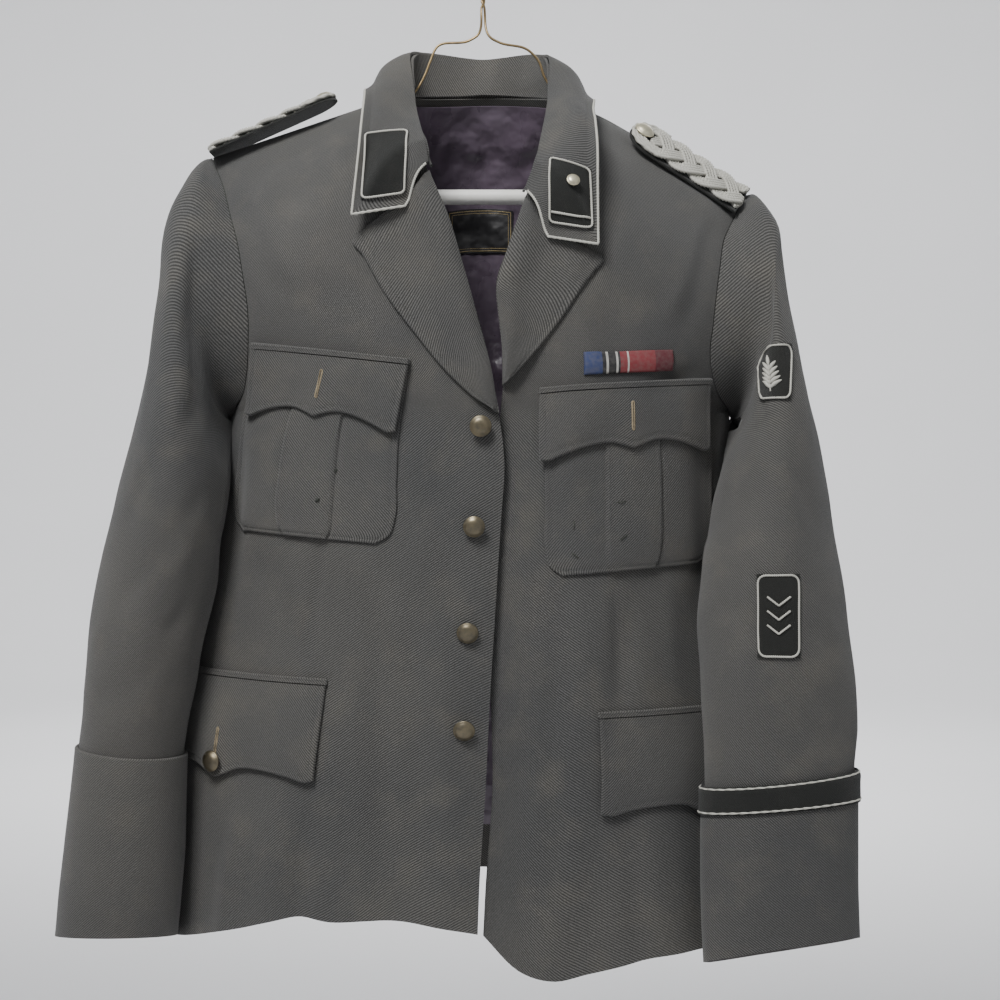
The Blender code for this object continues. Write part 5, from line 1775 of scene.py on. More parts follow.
@dataclass(frozen=True)
class Plastic(Finish):
    """Smooth tube with faint scuffs."""

    def build(self, shader: Shader) -> Any:
        """Wire the material.

        Args:
            shader: Shader of the new material.

        Returns:
            The material.
        """
        place = shader.place()
        scuffs = shader.ramp(shader.noise(place, 80.0, 4.0, 0.6), 0.45, 0.75, 0.0, 0.5)
        colour = shader.mix(scuffs, self.colour, self.other)
        relief = shader.bump(shader.noise(place, 250.0, 2.0), 0.00005)
        return shader.finish({"Base Color": colour, "Roughness": self.rough, "Normal": relief})


@dataclass(frozen=True)
class Matt(Finish):
    """Plain matt paint of the studio."""

    def build(self, shader: Shader) -> Any:
        """Wire the material.

        Args:
            shader: Shader of the new material.

        Returns:
            The material.
        """
        tone = shader.ramp(shader.noise(shader.place(), 0.8, 2.0), 0.3, 0.7)
        colour = shader.mix(tone, self.colour, self.other)
        return shader.finish({"Base Color": colour, "Roughness": self.rough,
                              "Specular IOR Level": 0.0})


GREY_TWILL = Twill("grey_twill", "cloth", (0.056, 0.056, 0.055), (0.078, 0.075, 0.069))
# Darker copy of the grey twill for the inner faces: painted shade of the tunic's inside.
SHADED_FACING = Twill("facing_twill_painted_shade", "cloth", (0.050, 0.050, 0.049), (0.066, 0.063, 0.058))
DARK_CLOTH = Twill("dark_cloth", "cloth_dark", (0.012, 0.013, 0.012), (0.020, 0.020, 0.018),
                   pitch=0.0009, worn=(0.035, 0.034, 0.031))
LINING_SATIN = Satin("lining_satin", "lining", (0.078, 0.058, 0.080), (0.115, 0.090, 0.118), 0.30)
SLEEVE_LINING = Satin("sleeve_lining", "lining", (0.045, 0.040, 0.040), (0.070, 0.064, 0.060), 0.50)
LABEL_CLOTH = Satin("label_cloth", "label", (0.008, 0.008, 0.009), (0.014, 0.013, 0.014), 0.50)
AGED_BRASS = AgedMetal("aged_brass", "brass", (0.190, 0.162, 0.108), (0.100, 0.088, 0.064), 0.42,
                       grain=260.0, relief=0.00002)
PALE_BRASS = AgedMetal("pale_brass", "brass", (0.70, 0.66, 0.50), (0.48, 0.44, 0.32), 0.38,
                       grain=260.0, relief=0.00002)
BRASS_WIRE = AgedMetal("brass_wire", "wire", (0.34, 0.25, 0.13), (0.20, 0.145, 0.075), 0.34,
                       grain=300.0, relief=0.00003)
WHITE_TUBE = Plastic("white_tube", "tube", (0.80, 0.79, 0.75), (0.66, 0.65, 0.60), 0.45)
SILVER_CORD = Threads("silver_cord", "silver_cord", (0.31, 0.298, 0.282),
                      (0.16, 0.150, 0.140), 0.45, pitch=0.0027, shine=0.20)
BUFF_THREAD = Threads("buff_thread", "cloth", (0.36, 0.29, 0.18), (0.24, 0.19, 0.12), 0.80)
GREY_THREAD = Threads("grey_thread", "cloth", (0.085, 0.088, 0.085), (0.060, 0.062, 0.060), 0.85)
DARK_THREAD = Threads("dark_thread", "cloth", (0.030, 0.034, 0.028), (0.050, 0.055, 0.040), 0.85)
GOLD_THREAD = Threads("gold_thread", "label", (0.42, 0.32, 0.14), (0.26, 0.20, 0.10), 0.60)
STUDIO_PALE = Matt("studio_pale", "", (0.80, 0.80, 0.81), (0.77, 0.77, 0.78), 1.0)
RIBBONS = RibbonStripes("ribbon_stripes", "ribbon", (0.1, 0.1, 0.1), (0.12, 0.11, 0.10), 0.75,
                        stripes=((0.0, (0.020, 0.035, 0.110)), (0.0148, (0.012, 0.012, 0.013)),
                                 (0.0180, (0.42, 0.41, 0.38)), (0.0200, (0.012, 0.012, 0.013)),
                                 (0.0265, (0.42, 0.41, 0.38)), (0.0285, (0.012, 0.012, 0.013)),
                                 (0.0300, (0.180, 0.020, 0.025)), (0.0360, (0.42, 0.40, 0.37)),
                                 (0.0375, (0.180, 0.020, 0.025)), (0.0600, (0.090, 0.012, 0.018)),
                                 (0.0760, (0.0, 0.0, 0.0))))


class Side(Enum):
    """The wearer's sides."""

    RIGHT = -1
    LEFT = 1

    @property
    def word(self) -> str:
        """The side's word in the names of the pieces."""
        return self.name.lower()


class Hold(Enum):
    """How a sheet of cloth is held."""

    HUNG = "hung"
    STRETCHED = "stretched"


# Creases of the fronts: x0, z0, x1, z1, half width, height
RIGHT_CREASES = np.array([
    (-0.205, -0.262, -0.172, -0.345, 0.0085, -0.0030),
    (-0.190, -0.258, -0.158, -0.330, 0.0070, 0.0022),
    (-0.120, -0.262, -0.080, -0.385, 0.0100, -0.0018),
    (-0.180, -0.560, -0.150, -0.640, 0.0100, -0.0022),
    (-0.085, -0.575, -0.078, -0.850, 0.0120, -0.0024),
    (-0.042, -0.500, -0.020, -0.600, 0.0110, -0.0018),
    (-0.035, -0.600, -0.028, -0.850, 0.0120, 0.0020),
    (-0.140, -0.770, -0.150, -0.880, 0.0110, -0.0026),
    (-0.195, -0.765, -0.215, -0.880, 0.0120, 0.0028),
    (-0.228, -0.560, -0.245, -0.700, 0.0110, -0.0022),
    (-0.1295, -0.5480, -0.1390, -0.6440, 0.0048, -0.0020),
    (-0.210, -0.400, -0.150, -0.430, 0.0100, -0.0026),
    (-0.200, -0.470, -0.215, -0.600, 0.0130, -0.0030),
    (-0.100, -0.560, -0.060, -0.640, 0.0120, 0.0026),
    (-0.070, -0.300, -0.040, -0.420, 0.0110, -0.0022),
])
LEFT_CREASES = np.array([
    (0.195, -0.285, 0.168, -0.370, 0.0085, -0.0028),
    (0.180, -0.285, 0.150, -0.365, 0.0070, 0.0020),
    (0.112, -0.280, 0.080, -0.345, 0.0090, -0.0016),
    (0.062, -0.590, 0.056, -0.860, 0.0120, -0.0022),
    (0.120, -0.585, 0.112, -0.680, 0.0100, -0.0020),
    (0.030, -0.500, 0.030, -0.640, 0.0110, 0.0016),
    (0.150, -0.580, 0.160, -0.680, 0.0110, 0.0018),
    (0.120, -0.780, 0.128, -0.890, 0.0110, -0.0024),
    (0.1077, -0.5700, 0.1108, -0.6755, 0.0048, -0.0020),
    (0.195, -0.400, 0.140, -0.425, 0.0100, -0.0026),
    (0.180, -0.480, 0.186, -0.620, 0.0130, -0.0030),
    (0.070, -0.330, 0.100, -0.440, 0.0110, 0.0022),
])
BACK_CREASES = np.array([
    (-0.170, -0.270, -0.120, -0.370, 0.0110, -0.0030),
    (0.168, -0.285, 0.118, -0.385, 0.0110, -0.0030),
    (-0.050, -0.190, 0.052, -0.200, 0.0090, -0.0022),
    (-0.160, -0.480, -0.090, -0.560, 0.0110, -0.0022),
    (0.155, -0.490, 0.085, -0.575, 0.0110, -0.0022),
    (-0.090, -0.640, -0.105, -0.860, 0.0130, -0.0026),
    (0.080, -0.640, 0.098, -0.860, 0.0130, -0.0026),
    (-0.190, -0.620, -0.205, -0.850, 0.0120, 0.0026),
    (0.180, -0.640, 0.190, -0.850, 0.0120, 0.0024),
])
# Creases of the sleeves, in rings down and places round of 24: ring0, round0, ring1, round1,
# half width, height
SLEEVE_CREASES = np.array([
    (1.0, 3.2, 4.5, 6.2, 0.0090, -0.0030),
    (1.2, 5.0, 5.0, 8.0, 0.0080, -0.0026),
    (2.0, 2.0, 6.5, 3.2, 0.0100, 0.0022),
    (5.0, 7.5, 8.0, 4.0, 0.0090, -0.0026),
    (7.0, 8.6, 9.4, 5.0, 0.0080, -0.0024),
    (8.4, 8.4, 10.2, 3.0, 0.0080, 0.0022),
    (9.6, 9.0, 11.4, 4.2, 0.0080, -0.0024),
    (10.6, 7.6, 12.6, 3.2, 0.0080, -0.0018),
    (1.0, 20.5, 4.5, 17.5, 0.0090, -0.0030),
    (1.5, 18.5, 5.5, 15.5, 0.0080, -0.0024),
    (6.0, 16.0, 8.4, 20.0, 0.0090, -0.0024),
    (8.2, 15.4, 10.4, 20.4, 0.0080, 0.0020),
    (9.6, 15.4, 11.6, 19.2, 0.0080, -0.0024),
    (1.6, 12.0, 8.0, 12.0, 0.0300, 0.0063),
])
# Waves of the hanging cloth: length and height of each set
FRONT_WAVES = ((0.085, 0.0044), (0.034, 0.0015))
BACK_WAVES = ((0.085, 0.0028), (0.034, 0.0009))
LINING_WAVES = ((0.045, 0.0080), (0.016, 0.0045))
FALL_WAVES = ((0.05, 0.0012), (0.02, 0.0004))
SLEEVE_WAVES = ((0.070, 0.0040), (0.030, 0.0015))
CUFF_WAVES = ((0.070, 0.0010), (0.030, 0.0004))
FRONT_CREASE_SCALE = 1.5
SLEEVE_CREASE_SCALE = 1.35
# Lengths over which creases fade out at the side seams, the underarms and the other seams
SEAM_FADE = 0.035
UNDERARM_FADE = 0.04
CREASE_FADE = 0.03
# Grooves of stitched edges and of the pleats' folds: depth and half width
EDGE_SEAM = (0.0006, 0.0011)
LAPEL_SEAM = (0.0006, 0.0012)
PLEAT_FOLD = (0.0009, 0.0016)
STITCH_LIFT = 0.0001
# Radii of folded edges
THICK_RIM = 0.0016
THIN_RIM = 0.0014
FIRST_GUIDE = (0.31, 0.72, 0.62)

# Arch of a loose thread: share of its length from the middle, height over the cloth
THREAD_ARCH = ((-0.5, -0.0004), (-0.25, 0.0008), (0.0, 0.0012), (0.25, 0.0008), (0.5, -0.0004))
# Loose threads on the breast pockets: x, z, length, number of threads
LOOSE_THREADS = {
    Side.RIGHT: ((-0.1184, -0.4905, 0.0060, 5), (-0.1325, -0.5140, 0.0050, 4)),
    Side.LEFT: ((0.1126, -0.5156, 0.0080, 1), (0.1134, -0.5445, 0.0080, 1),
                (0.0742, -0.5351, 0.0080, 1), (0.0750, -0.5586, 0.0070, 1)),
}


def body_fade(points: Array, side: int) -> Array:
    """Share of a crease's height that is left near the seams of the body.

    Args:
        points: Points in rows and columns.
        side: -1 for the wearer's right.

    Returns:
        Shares, rows by columns.
    """
    x, y, z = np.moveaxis(points, -1, 0)
    seam = np.interp(z, BODY_ROWS[:, 0], BODY_ROWS[:, 1])
    share = np.clip(np.abs(y - seam) / SEAM_FADE, 0.0, 1.0)
    table = RIGHT_ARMHOLE if side < 0 else LEFT_ARMHOLE
    table = table[np.argsort(table[:, 0])]
    arm = np.abs(np.interp(z, table[:, 0], table[:, 1]))
    below = np.clip((UNDERARM_Z - z) / UNDERARM_FADE, 0.0, 1.0)
    near = np.clip((arm - np.abs(x)) / CREASE_FADE + below, 0.0, 1.0)
    neck, tip = (RIGHT_NECK, RIGHT_TIP) if side < 0 else (LEFT_NECK, LEFT_TIP)
    top = neck[1] + (np.abs(x) - abs(neck[0])) / (abs(tip[0]) - abs(neck[0])) * (tip[1] - neck[1])
    return share * near * np.clip((top - z) / CREASE_FADE, 0.0, 1.0)


def crease_ends(table: Array, side: int = 0) -> Array:
    """First and last points of creases on the body's outer face.

    Args:
        table: Table of creases.
        side: -1 for the wearer's right front, 1 for the left front, 0 for the back.

    Returns:
        Two points for each crease.
    """
    return np.array([[(x, body_y(side or (-1 if x < 0 else 1), side != 0, x, z), z)
                      for x, z in (row[:2], row[2:4])] for row in table])


def front_height(points: Array, side: int) -> Array:
    """Height of the creases and waves of a front, for it and all that lies on it.

    Args:
        points: Points in rows and columns.
        side: -1 for the wearer's right.

    Returns:
        Heights, rows by columns.
    """
    table = RIGHT_CREASES if side < 0 else LEFT_CREASES
    height = FRONT_CREASE_SCALE * crease_height(points, crease_ends(table, side),
                                                table[:, 4], table[:, 5])
    height += soft_waves(points, FRONT_WAVES)
    return height * body_fade(points, side)


def back_height(points: Array) -> Array:
    """Height of the creases and waves of the back.

    Args:
        points: Points in rows and columns.

    Returns:
        Heights, rows by columns.
    """
    height = crease_height(points, crease_ends(BACK_CREASES), BACK_CREASES[:, 4],
                           BACK_CREASES[:, 5])
    height += soft_waves(points, BACK_WAVES)
    share = np.where(points[..., 0] < 0.0, body_fade(points, -1), body_fade(points, 1))
    return height * share


def laid(side: int, outline: Array, lifts: Array, walls: Array) -> tuple[Array, Array]:
    """Two faces of a piece that lies on a front.

    Args:
        side: -1 for the wearer's right.
        outline: Reach and height of each point.
        lifts: Height of its inner face above the front.
        walls: Its thickness.

    Returns:
        Outer and inner face.
    """
    def face(heights: Array) -> Array:
        """Points at heights above the front."""
        return np.array([[on_front(side, *place, lift) for place, lift in zip(row, low)]
                         for row, low in zip(outline, heights)])

    return face(lifts + walls), face(lifts)


def groove(away: Array, at: float, depth: float, width: float) -> Array:
    """Height of a groove.

    Args:
        away: Distance of each point from an edge.
        at: Distance of the groove from it.
        depth: Depth of the groove.
        width: Its half width.

    Returns:
        Heights, negative.
    """
    return -depth * np.exp(-(((away - at) / width) ** 2))


def swept(path: Array, radii: Array | float, sides: int, lobes: int = 0, pitch: float = 0.004,
          depth: float = 0.26, closed: bool = False) -> tuple[Array, Array]:
    """Round bar or twisted cord along a path.

    Args:
        path: Points of its middle line.
        radii: Radius at each point.
        sides: Number of points round it.
        lobes: Number of strands in a section, 0 for a plain bar.
        pitch: Length of one turn of the twist.
        depth: Depth between the strands, as a share of the radius.
        closed: Whether the path is a ring.

    Returns:
        Points and four-cornered faces.
    """
    path = np.asarray(path, dtype=float)
    steps = np.linalg.norm(np.diff(path, axis=0), axis=1)
    length = np.concatenate([[0.0], np.cumsum(steps)])
    if closed:
        total = length[-1] + float(np.linalg.norm(path[0] - path[-1]))
        pitch = total / max(1, round(total / pitch))
        tangents = np.roll(path, -1, axis=0) - np.roll(path, 1, axis=0)
    else:
        tangents = np.gradient(path, axis=0)
    tangents = unit_rows(tangents)
    radii = np.broadcast_to(np.asarray(radii, dtype=float), len(path))
    turns = 2.0 * math.pi * np.arange(sides) / sides
    guide = unit(np.cross(tangents[0], FIRST_GUIDE))
    rings = []
    for place, tangent, radius, reach in zip(path, tangents, radii, length):
        guide = unit(guide - tangent * float(np.dot(guide, tangent)))
        other = np.cross(tangent, guide)
        swell = np.ones(sides)
        if lobes:
            twist = 2.0 * math.pi * reach / pitch
            swell = 1.0 + depth * np.cos(lobes * (turns - twist))
        rings.append(place + radius * swell[:, None] * (np.cos(turns)[:, None] * guide
                                                        + np.sin(turns)[:, None] * other))
    points = np.concatenate(rings)
    number = np.arange(len(points)).reshape(len(path), sides)
    if closed:
        first, last = rings[0], rings[-1]
        misses = [np.linalg.norm(np.roll(first, turn, axis=0) - last) for turn in range(sides)]
        number = np.concatenate([number, np.roll(number[:1], int(np.argmin(misses)), axis=1)])
    faces = ring_faces(number)
    if closed:
        return points, faces
    caps = (cap_faces(np.append(number[0][::-1], number[0][-1]), len(points))
            + cap_faces(np.append(number[-1], number[-1][0]), len(points) + 1))
    return np.concatenate([points, path[[0, -1]]]), np.concatenate([faces, np.array(caps)])


def sewn_on(patch: tuple, cloth: Cloth, coarse: tuple[int, int]) -> Cloth:
    """Small piece of cloth on another, between four corners given as x, z.

    Args:
        patch: Name, corners, rows, columns and gap, as in the table.
        cloth: Cloth that it lies on.
        coarse: Rows and columns of the coarse grid that the table counts in.

    Returns:
        The piece.
    """
    upper_left, upper_right, lower_right, lower_left = np.array(patch[1])
    fine = (cloth.outer.shape[0] - 1, cloth.outer.shape[1] - (0 if cloth.closed else 1))
    rows = tuple(row * fine[0] / coarse[0] for row in patch[2])
    columns = tuple(column * fine[1] / coarse[1] for column in patch[3])
    away = cloth.normals()
    steps = np.linspace(0.0, 1.0, 11)
    points = np.zeros((len(steps), len(steps), 3))
    toward = np.zeros_like(points)
    for row, down in enumerate(steps):
        first = upper_left + down * (lower_left - upper_left)
        last = upper_right + down * (lower_right - upper_right)
        for column, across in enumerate(steps):
            place = place_on(cloth.outer, *(first + across * (last - first)), rows, columns)
            points[row, column] = sample_grid(cloth.outer, *place)
            toward[row, column] = unit(sample_grid(away, *place))
    inner = points + toward * REST_GAP
    return Cloth(inner + toward * BADGE_WALL, inner, 0.002, rims=True)


def edge_ring(cloth: Cloth, inset: float, lift: float, turn: float = 0.0035) -> Array:
    """Closed line near the edge of a small piece, with rounded corners.

    Args:
        cloth: The piece.
        inset: Distance from its edge.
        lift: Distance above it.
        turn: Radius of the corners.

    Returns:
        Points of the line.
    """
    low, wide = cloth.down[-1] - inset, cloth.whole_across - inset
    places = []
    for middle_down, middle_across, start in ((inset + turn, inset + turn, 180.0),
                                              (inset + turn, wide - turn, 270.0),
                                              (low - turn, wide - turn, 0.0),
                                              (low - turn, inset + turn, 90.0)):
        for angle in np.radians(start + np.linspace(0.0, 90.0, 5)):
            places.append((middle_down + turn * math.sin(angle),
                           middle_across + turn * math.cos(angle)))
    places.append(places[0])
    return cloth.line(places, lift, 0.0008)[:-1]


def smooth_path(points: Sequence, step: float) -> Array:
    """Even points on a smooth curve through a few.

    Args:
        points: Points to pass through.
        step: Distance between the points of the curve.

    Returns:
        Points of the curve.
    """
    points = np.asarray(points, dtype=float)
    knots = np.concatenate([[0.0], np.cumsum(np.linalg.norm(np.diff(points, axis=0), axis=1))])
    return spline(points, knots, np.linspace(0.0, knots[-1], max(3, round(knots[-1] / step) + 1)))


def joined(parts: Iterable[tuple[Array, Array]]) -> tuple[Array, Array]:
    """One mesh of several.

    Args:
        parts: Points and faces of each part.

    Returns:
        Points and faces.
    """
    points, faces, count = [], [], 0
    for part_points, part_faces in parts:
        points.append(part_points)
        faces.append(part_faces + count)
        count += len(part_points)
    return np.concatenate(points), np.concatenate(faces)


def trim(name: str, parts: Iterable[tuple[Array, Array]], finish: Finish,
         nodes: Sequence[str] = ()) -> Any:
    """Object of cords, wires or threads.

    Args:
        name: Name of the piece.
        parts: Points and faces of each length.
        finish: Its finish.
        nodes: CAD nodes that it stands for.

    Returns:
        The object.
    """
    points, faces = joined(parts)
    made = mesh_object(name, points, faces, [finish])
    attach(made, BODY)
    if nodes:
        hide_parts(*nodes)
    return made


@dataclass(frozen=True)
class Cord:
    """Twisted cord or thread."""

    radius: float
    pitch: float
    sides: int = 8
    strands: int = 2
    depth: float = 0.26

    def along(self, line: Array, closed: bool = False) -> tuple[Array, Array]:
        """Points and faces of the cord along a line."""
        return swept(line, self.radius, self.sides, self.strands, self.pitch, self.depth, closed)


COLLAR_CORD = Cord(0.0010, 0.0040, sides=10)
PATCH_CORD = Cord(0.00085, 0.0036)
INNER_CORD = Cord(0.0009, 0.0036)
BOARD_CORD = Cord(0.00158, 0.0056, sides=10, depth=0.34)
BADGE_CORD = Cord(0.0008, 0.0032)
STEM_THREAD = Cord(0.0006, 0.003, sides=6)
BAND_CORD = Cord(0.0007, 0.0034, sides=6)
HOLE_THREAD = Cord(0.0006, 0.0014, sides=6)
LOOSE_THREAD = Cord(0.00035, 0.0016, sides=6)


class Stitching:
    """Rows of stitches in one thread, all sewn at the end by one node tree."""

    def __init__(self, thread: Finish) -> None:
        """Start with no rows."""
        self.thread = thread
        self.rows: list[Array] = []

    def sew(self, cloth: Cloth, places: Sequence[tuple[float, float]]) -> None:
        """Add a row of stitches on a piece, through places down and across."""
        self.rows.append(cloth.line(places, STITCH_LIFT))

    def sew_edges(self, cloth: Cloth, inset: float) -> None:
        """Add a row along both sides and the lower edge of a piece."""
        self.sew(cloth, [(0.0, inset), (-inset, inset), (-inset, -inset), (0.0, -inset)])

    def tree(self) -> Any:
        """Node tree that sets stitches along curves.

        Returns:
            The node tree.
        """
        group = bpy.data.node_groups.new("row_of_stitches", "GeometryNodeTree")
        for name, kind in (("Line", "Geometry"), ("Pitch", "Float"), ("Length", "Float"),
                           ("Thickness", "Float"), ("Thread", "Material")):
            group.interface.new_socket(name, in_out="INPUT", socket_type="NodeSocket" + kind)
        group.interface.new_socket("Stitches", in_out="OUTPUT", socket_type="NodeSocketGeometry")

        def add(kind: str, values: dict | None = None, **settings: Any) -> Any:
            """Add a node.

            Args:
                kind: Kind of node.
                values: Values or outputs by the names of its inputs.
                settings: Properties of the node.

            Returns:
                The node's outputs.
            """
            node = group.nodes.new(kind)
            for name, value in settings.items():
                setattr(node, name, value)
            for name, value in (values or {}).items():
                if isinstance(value, bpy.types.NodeSocket):
                    group.links.new(value, node.inputs[name])
                else:
                    node.inputs[name].default_value = value
            return node.outputs

        start = add("NodeGroupInput")
        spots = add("GeometryNodeCurveToPoints",
                    {"Curve": start["Line"], "Length": start["Pitch"]}, mode="LENGTH")
        stitch = add("GeometryNodeMeshIcoSphere", {"Radius": 0.5, "Subdivisions": 1})
        turn = add("FunctionNodeAlignRotationToVector", {"Vector": spots["Tangent"]}, axis="X")
        size = add("ShaderNodeCombineXYZ", {"X": start["Length"], "Y": start["Thickness"],
                                            "Z": start["Thickness"]})
        place = add("GeometryNodeInstanceOnPoints",
                    {"Points": spots["Points"], "Instance": stitch["Mesh"],
                     "Rotation": turn["Rotation"], "Scale": size["Vector"]})
        real = add("GeometryNodeRealizeInstances", {"Geometry": place["Instances"]})
        smooth = add("GeometryNodeSetShadeSmooth", {"Geometry": real["Geometry"]})
        colour = add("GeometryNodeSetMaterial",
                     {"Geometry": smooth[0], "Material": start["Thread"]})
        add("NodeGroupOutput", {"Stitches": colour["Geometry"]})
        return group

    def finish(self, pitch: float = 0.0030, length: float = 0.0022, thick: float = 0.0005) -> None:
        """Sew every row.

        Args:
            pitch: Distance between the stitches.
            length: Length of a stitch.
            thick: Thickness of the thread.
        """
        group = self.tree()
        curve = bpy.data.curves.new(self.thread.name + "_rows", "CURVE")
        curve.dimensions = "3D"
        for row in self.rows:
            line = curve.splines.new("POLY")
            line.points.add(len(row) - 1)
            line.points.foreach_set("co", np.column_stack([row, np.ones(len(row))]).ravel())
        rows = placed(self.thread.name + "_rows", curve)
        modifier = rows.modifiers.new("stitches", "NODES")
        modifier.node_group = group
        values = {"Pitch": pitch, "Length": length, "Thickness": thick,
                  "Thread": self.thread.made()}
        for item in group.interface.items_tree:
            if item.name in values:
                modifier[item.identifier] = values[item.name]
        view = bpy.context.evaluated_depsgraph_get()
        mesh = bpy.data.meshes.new_from_object(rows.evaluated_get(view))
        rows.modifiers.remove(modifier)
        bpy.data.objects.remove(rows)
        made = placed(self.thread.name + "_stitches", mesh)
        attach(made, BODY)
        LOG.info("%s: %d faces", made.name, len(mesh.polygons))


@dataclass
class Hanger:
    """Wire hanger with a tube across it."""

    wire: float = WIRE_RADIUS
    tube: float = TUBE_RADIUS
    half: float = TUBE_HALF
    sides: int = 12

    def build(self) -> None:
        """Make the two wires and the tube."""
        hook_radius = HOOK_RADIUS + self.wire
        middle = self.wire - hook_radius
        hook = [(hook_radius * math.cos(math.radians(turn)), 0.0,
                 middle + hook_radius * math.sin(math.radians(turn)))
                for turn in range(205, -51, -15)]
        hook += [(x, 0.0, z) for x, z in HOOK_TAIL]
        twist = self.wire + SEAM_GAP / 2.0
        steps = 40
        turns = [2.0 * math.pi * TWIST_TURNS * step / steps for step in range(steps + 1)]
        heights = np.linspace(TWIST_TOP, TWIST_BOTTOM, steps + 1)
        right = [(twist * math.cos(turn), twist * math.sin(turn), z)
                 for turn, z in zip(turns, heights)]
        left = [(-twist * math.cos(turn), -twist * math.sin(turn), z)
                for turn, z in zip(turns, heights)]
        right_path = smooth_path(hook + right + [(x, 0.0, z) for x, z in RIGHT_ARM], 0.003)
        left_path = smooth_path(left + [(x, 0.0, z) for x, z in LEFT_ARM], 0.003)
        trim("hook_wire", [swept(right_path, self.wire, self.sides)], BRASS_WIRE,
             ["hanger_hook_wire"])
        trim("arm_wire", [swept(left_path, self.wire, self.sides)], BRASS_WIRE,
             ["hanger_arm_wire"])
        line = np.array([(x, 0.0, TUBE_Z) for x in (-self.half, -self.half + 0.0004,
                                                    -self.half + 0.0012, -0.06, 0.06,
                                                    self.half - 0.0012, self.half - 0.0004,
                                                    self.half)])
        radii = np.array([0.90, 0.97, 1.0, 1.0, 1.0, 1.0, 0.97, 0.90]) * self.tube
        trim("hanger_tube_sleeve", [swept(line, radii, 32)], WHITE_TUBE, ["hanger_tube"])
        LOG.info("hanger: two wires and a tube")


@dataclass
class Body:
    """Fronts, back, lining and lapels."""

    stitching: Stitching
    step: float = 0.0036
    facing: float = 0.075
    edge_row: float = 0.0055
    row_end: float = 0.40

    def front(self, side: Side) -> None:
        """Make a front and its edge stitching.

        Args:
            side: Side of the front.
        """
        grid = front_grid(side.value)
        grid[:, :, 1] -= SEAM_GAP / 2.0
        outward = outward_of(grid)
        outward[-3:, :, 2] = 1.0
        normals = flatten_seams(grid_normals(grid, outward), [FRONT_COLUMNS], slice(None))
        cloth = Cloth(grid, grid - normals * BODY_WALL, self.step)
        cloth.move(front_height(cloth.outer, side.value))
        name = side.word + "_front"
        made = cloth.dress(name + "_cloth", [name], [GREY_TWILL, SHADED_FACING, LINING_SATIN], self.facing)
        self.stitching.sew(cloth, [(0.004, self.edge_row), (self.row_end, self.edge_row)])
        LOG.info("%s: %d points", name, cloth.outer.size // 3)

    def back(self) -> Cloth:
        """Make the back and the lining inside it.

        Returns:
            The lining.
        """
        grid = back_grid()
        grid[:, :, 1] += SEAM_GAP / 2.0
        outward = outward_of(grid)
        outward[-3:, :, 2] = 1.0
        normals = grid_normals(grid, outward)
        shoulder = np.abs(grid[-1, :, 0]) >= abs(LEFT_NECK[0]) - EDGE_ROOM
        normals = flatten_seams(normals, [0, BACK_COLUMNS], shoulder)
        cloth = Cloth(grid, grid - normals * BODY_WALL, self.step * 1.25)
        cloth.move(back_height(cloth.outer))
        # The back's inner face, seen at the neck, takes the darker copy of the twill: painted
        # shade.
        made = cloth.dress("back_cloth", ["back"], [GREY_TWILL, SHADED_FACING])
        outer = (grid - normals * (BODY_WALL + REST_GAP))[1:-1, 1:-1]
        inner = outer - normals[1:-1, 1:-1] * LINING_WALL
        lining = Cloth(outer, inner, self.step * 1.5)
        wrinkles = -np.abs(soft_waves(lining.outer, LINING_WAVES))
        seam = -0.0020 * np.exp(-((lining.outer[..., 0] / 0.0035) ** 2))
        edges = np.clip(lining.from_rim() / 0.02, 0.0, 1.0)
        lining.move(back_height(lining.outer) + (wrinkles - seam) * edges - 0.0004)
        made = lining.dress("back_lining_cloth", ["back_lining"], [LINING_SATIN])
        LOG.info("back and lining")
        return lining

    def lapel(self, side: Side, table: Array) -> None:
        """Make a lapel and its edge stitching.

        Args:
            side: Side of the lapel.
            table: Its table.
        """
        steps = np.linspace(0.0, 1.0, LAPEL_COLUMNS + 1)
        outline = np.zeros((len(table), LAPEL_COLUMNS + 1, 2))
        lifts = np.zeros(outline.shape[:2])
        for row, (roll_x, roll_z, tip_x, tip_z) in enumerate(table):
            for column, step in enumerate(steps):
                share = step ** LAPEL_BEND
                x = roll_x + share * (tip_x - roll_x)
                z = roll_z + share * (tip_z - roll_z)
                outline[row, column] = (reach_of(side.value, x, z), z)
                distance = share * math.hypot(tip_x - roll_x, tip_z - roll_z)
                roll = LAPEL_ROLL * math.exp(-(((distance - LAPEL_ROLL_AT)
                                                / LAPEL_ROLL_WIDTH) ** 2))
                lifts[row, column] = LAPEL_REST + roll * min(distance / LAPEL_REST_FADE, 1.0)
        outer, inner = laid(side.value, outline, lifts, np.full(lifts.shape, LAPEL_WALL))
        cloth = Cloth(outer, inner, 0.0022, rims=True)
        cloth.move(front_height(cloth.outer, side.value) + 0.0003)
        cloth.press(groove(cloth.from_rim("r"), self.edge_row, *LAPEL_SEAM))
        cloth.round_rims(THICK_RIM, "rtb")
        name = side.word + "_lapel"
        made = cloth.dress(name + "_cloth", [name], [GREY_TWILL, SHADED_FACING])
        self.stitching.sew(cloth, [(0.012, -self.edge_row), (-0.030, -self.edge_row)])
        LOG.info("%s", name)

    def build(self) -> Cloth:
        """Make every piece of the body.

        Returns:
            The lining of the back.
        """
        lining = self.back()
        for side, table in ((Side.RIGHT, RIGHT_LAPEL), (Side.LEFT, LEFT_LAPEL)):
            self.front(side)
            self.lapel(side, table)
        return lining


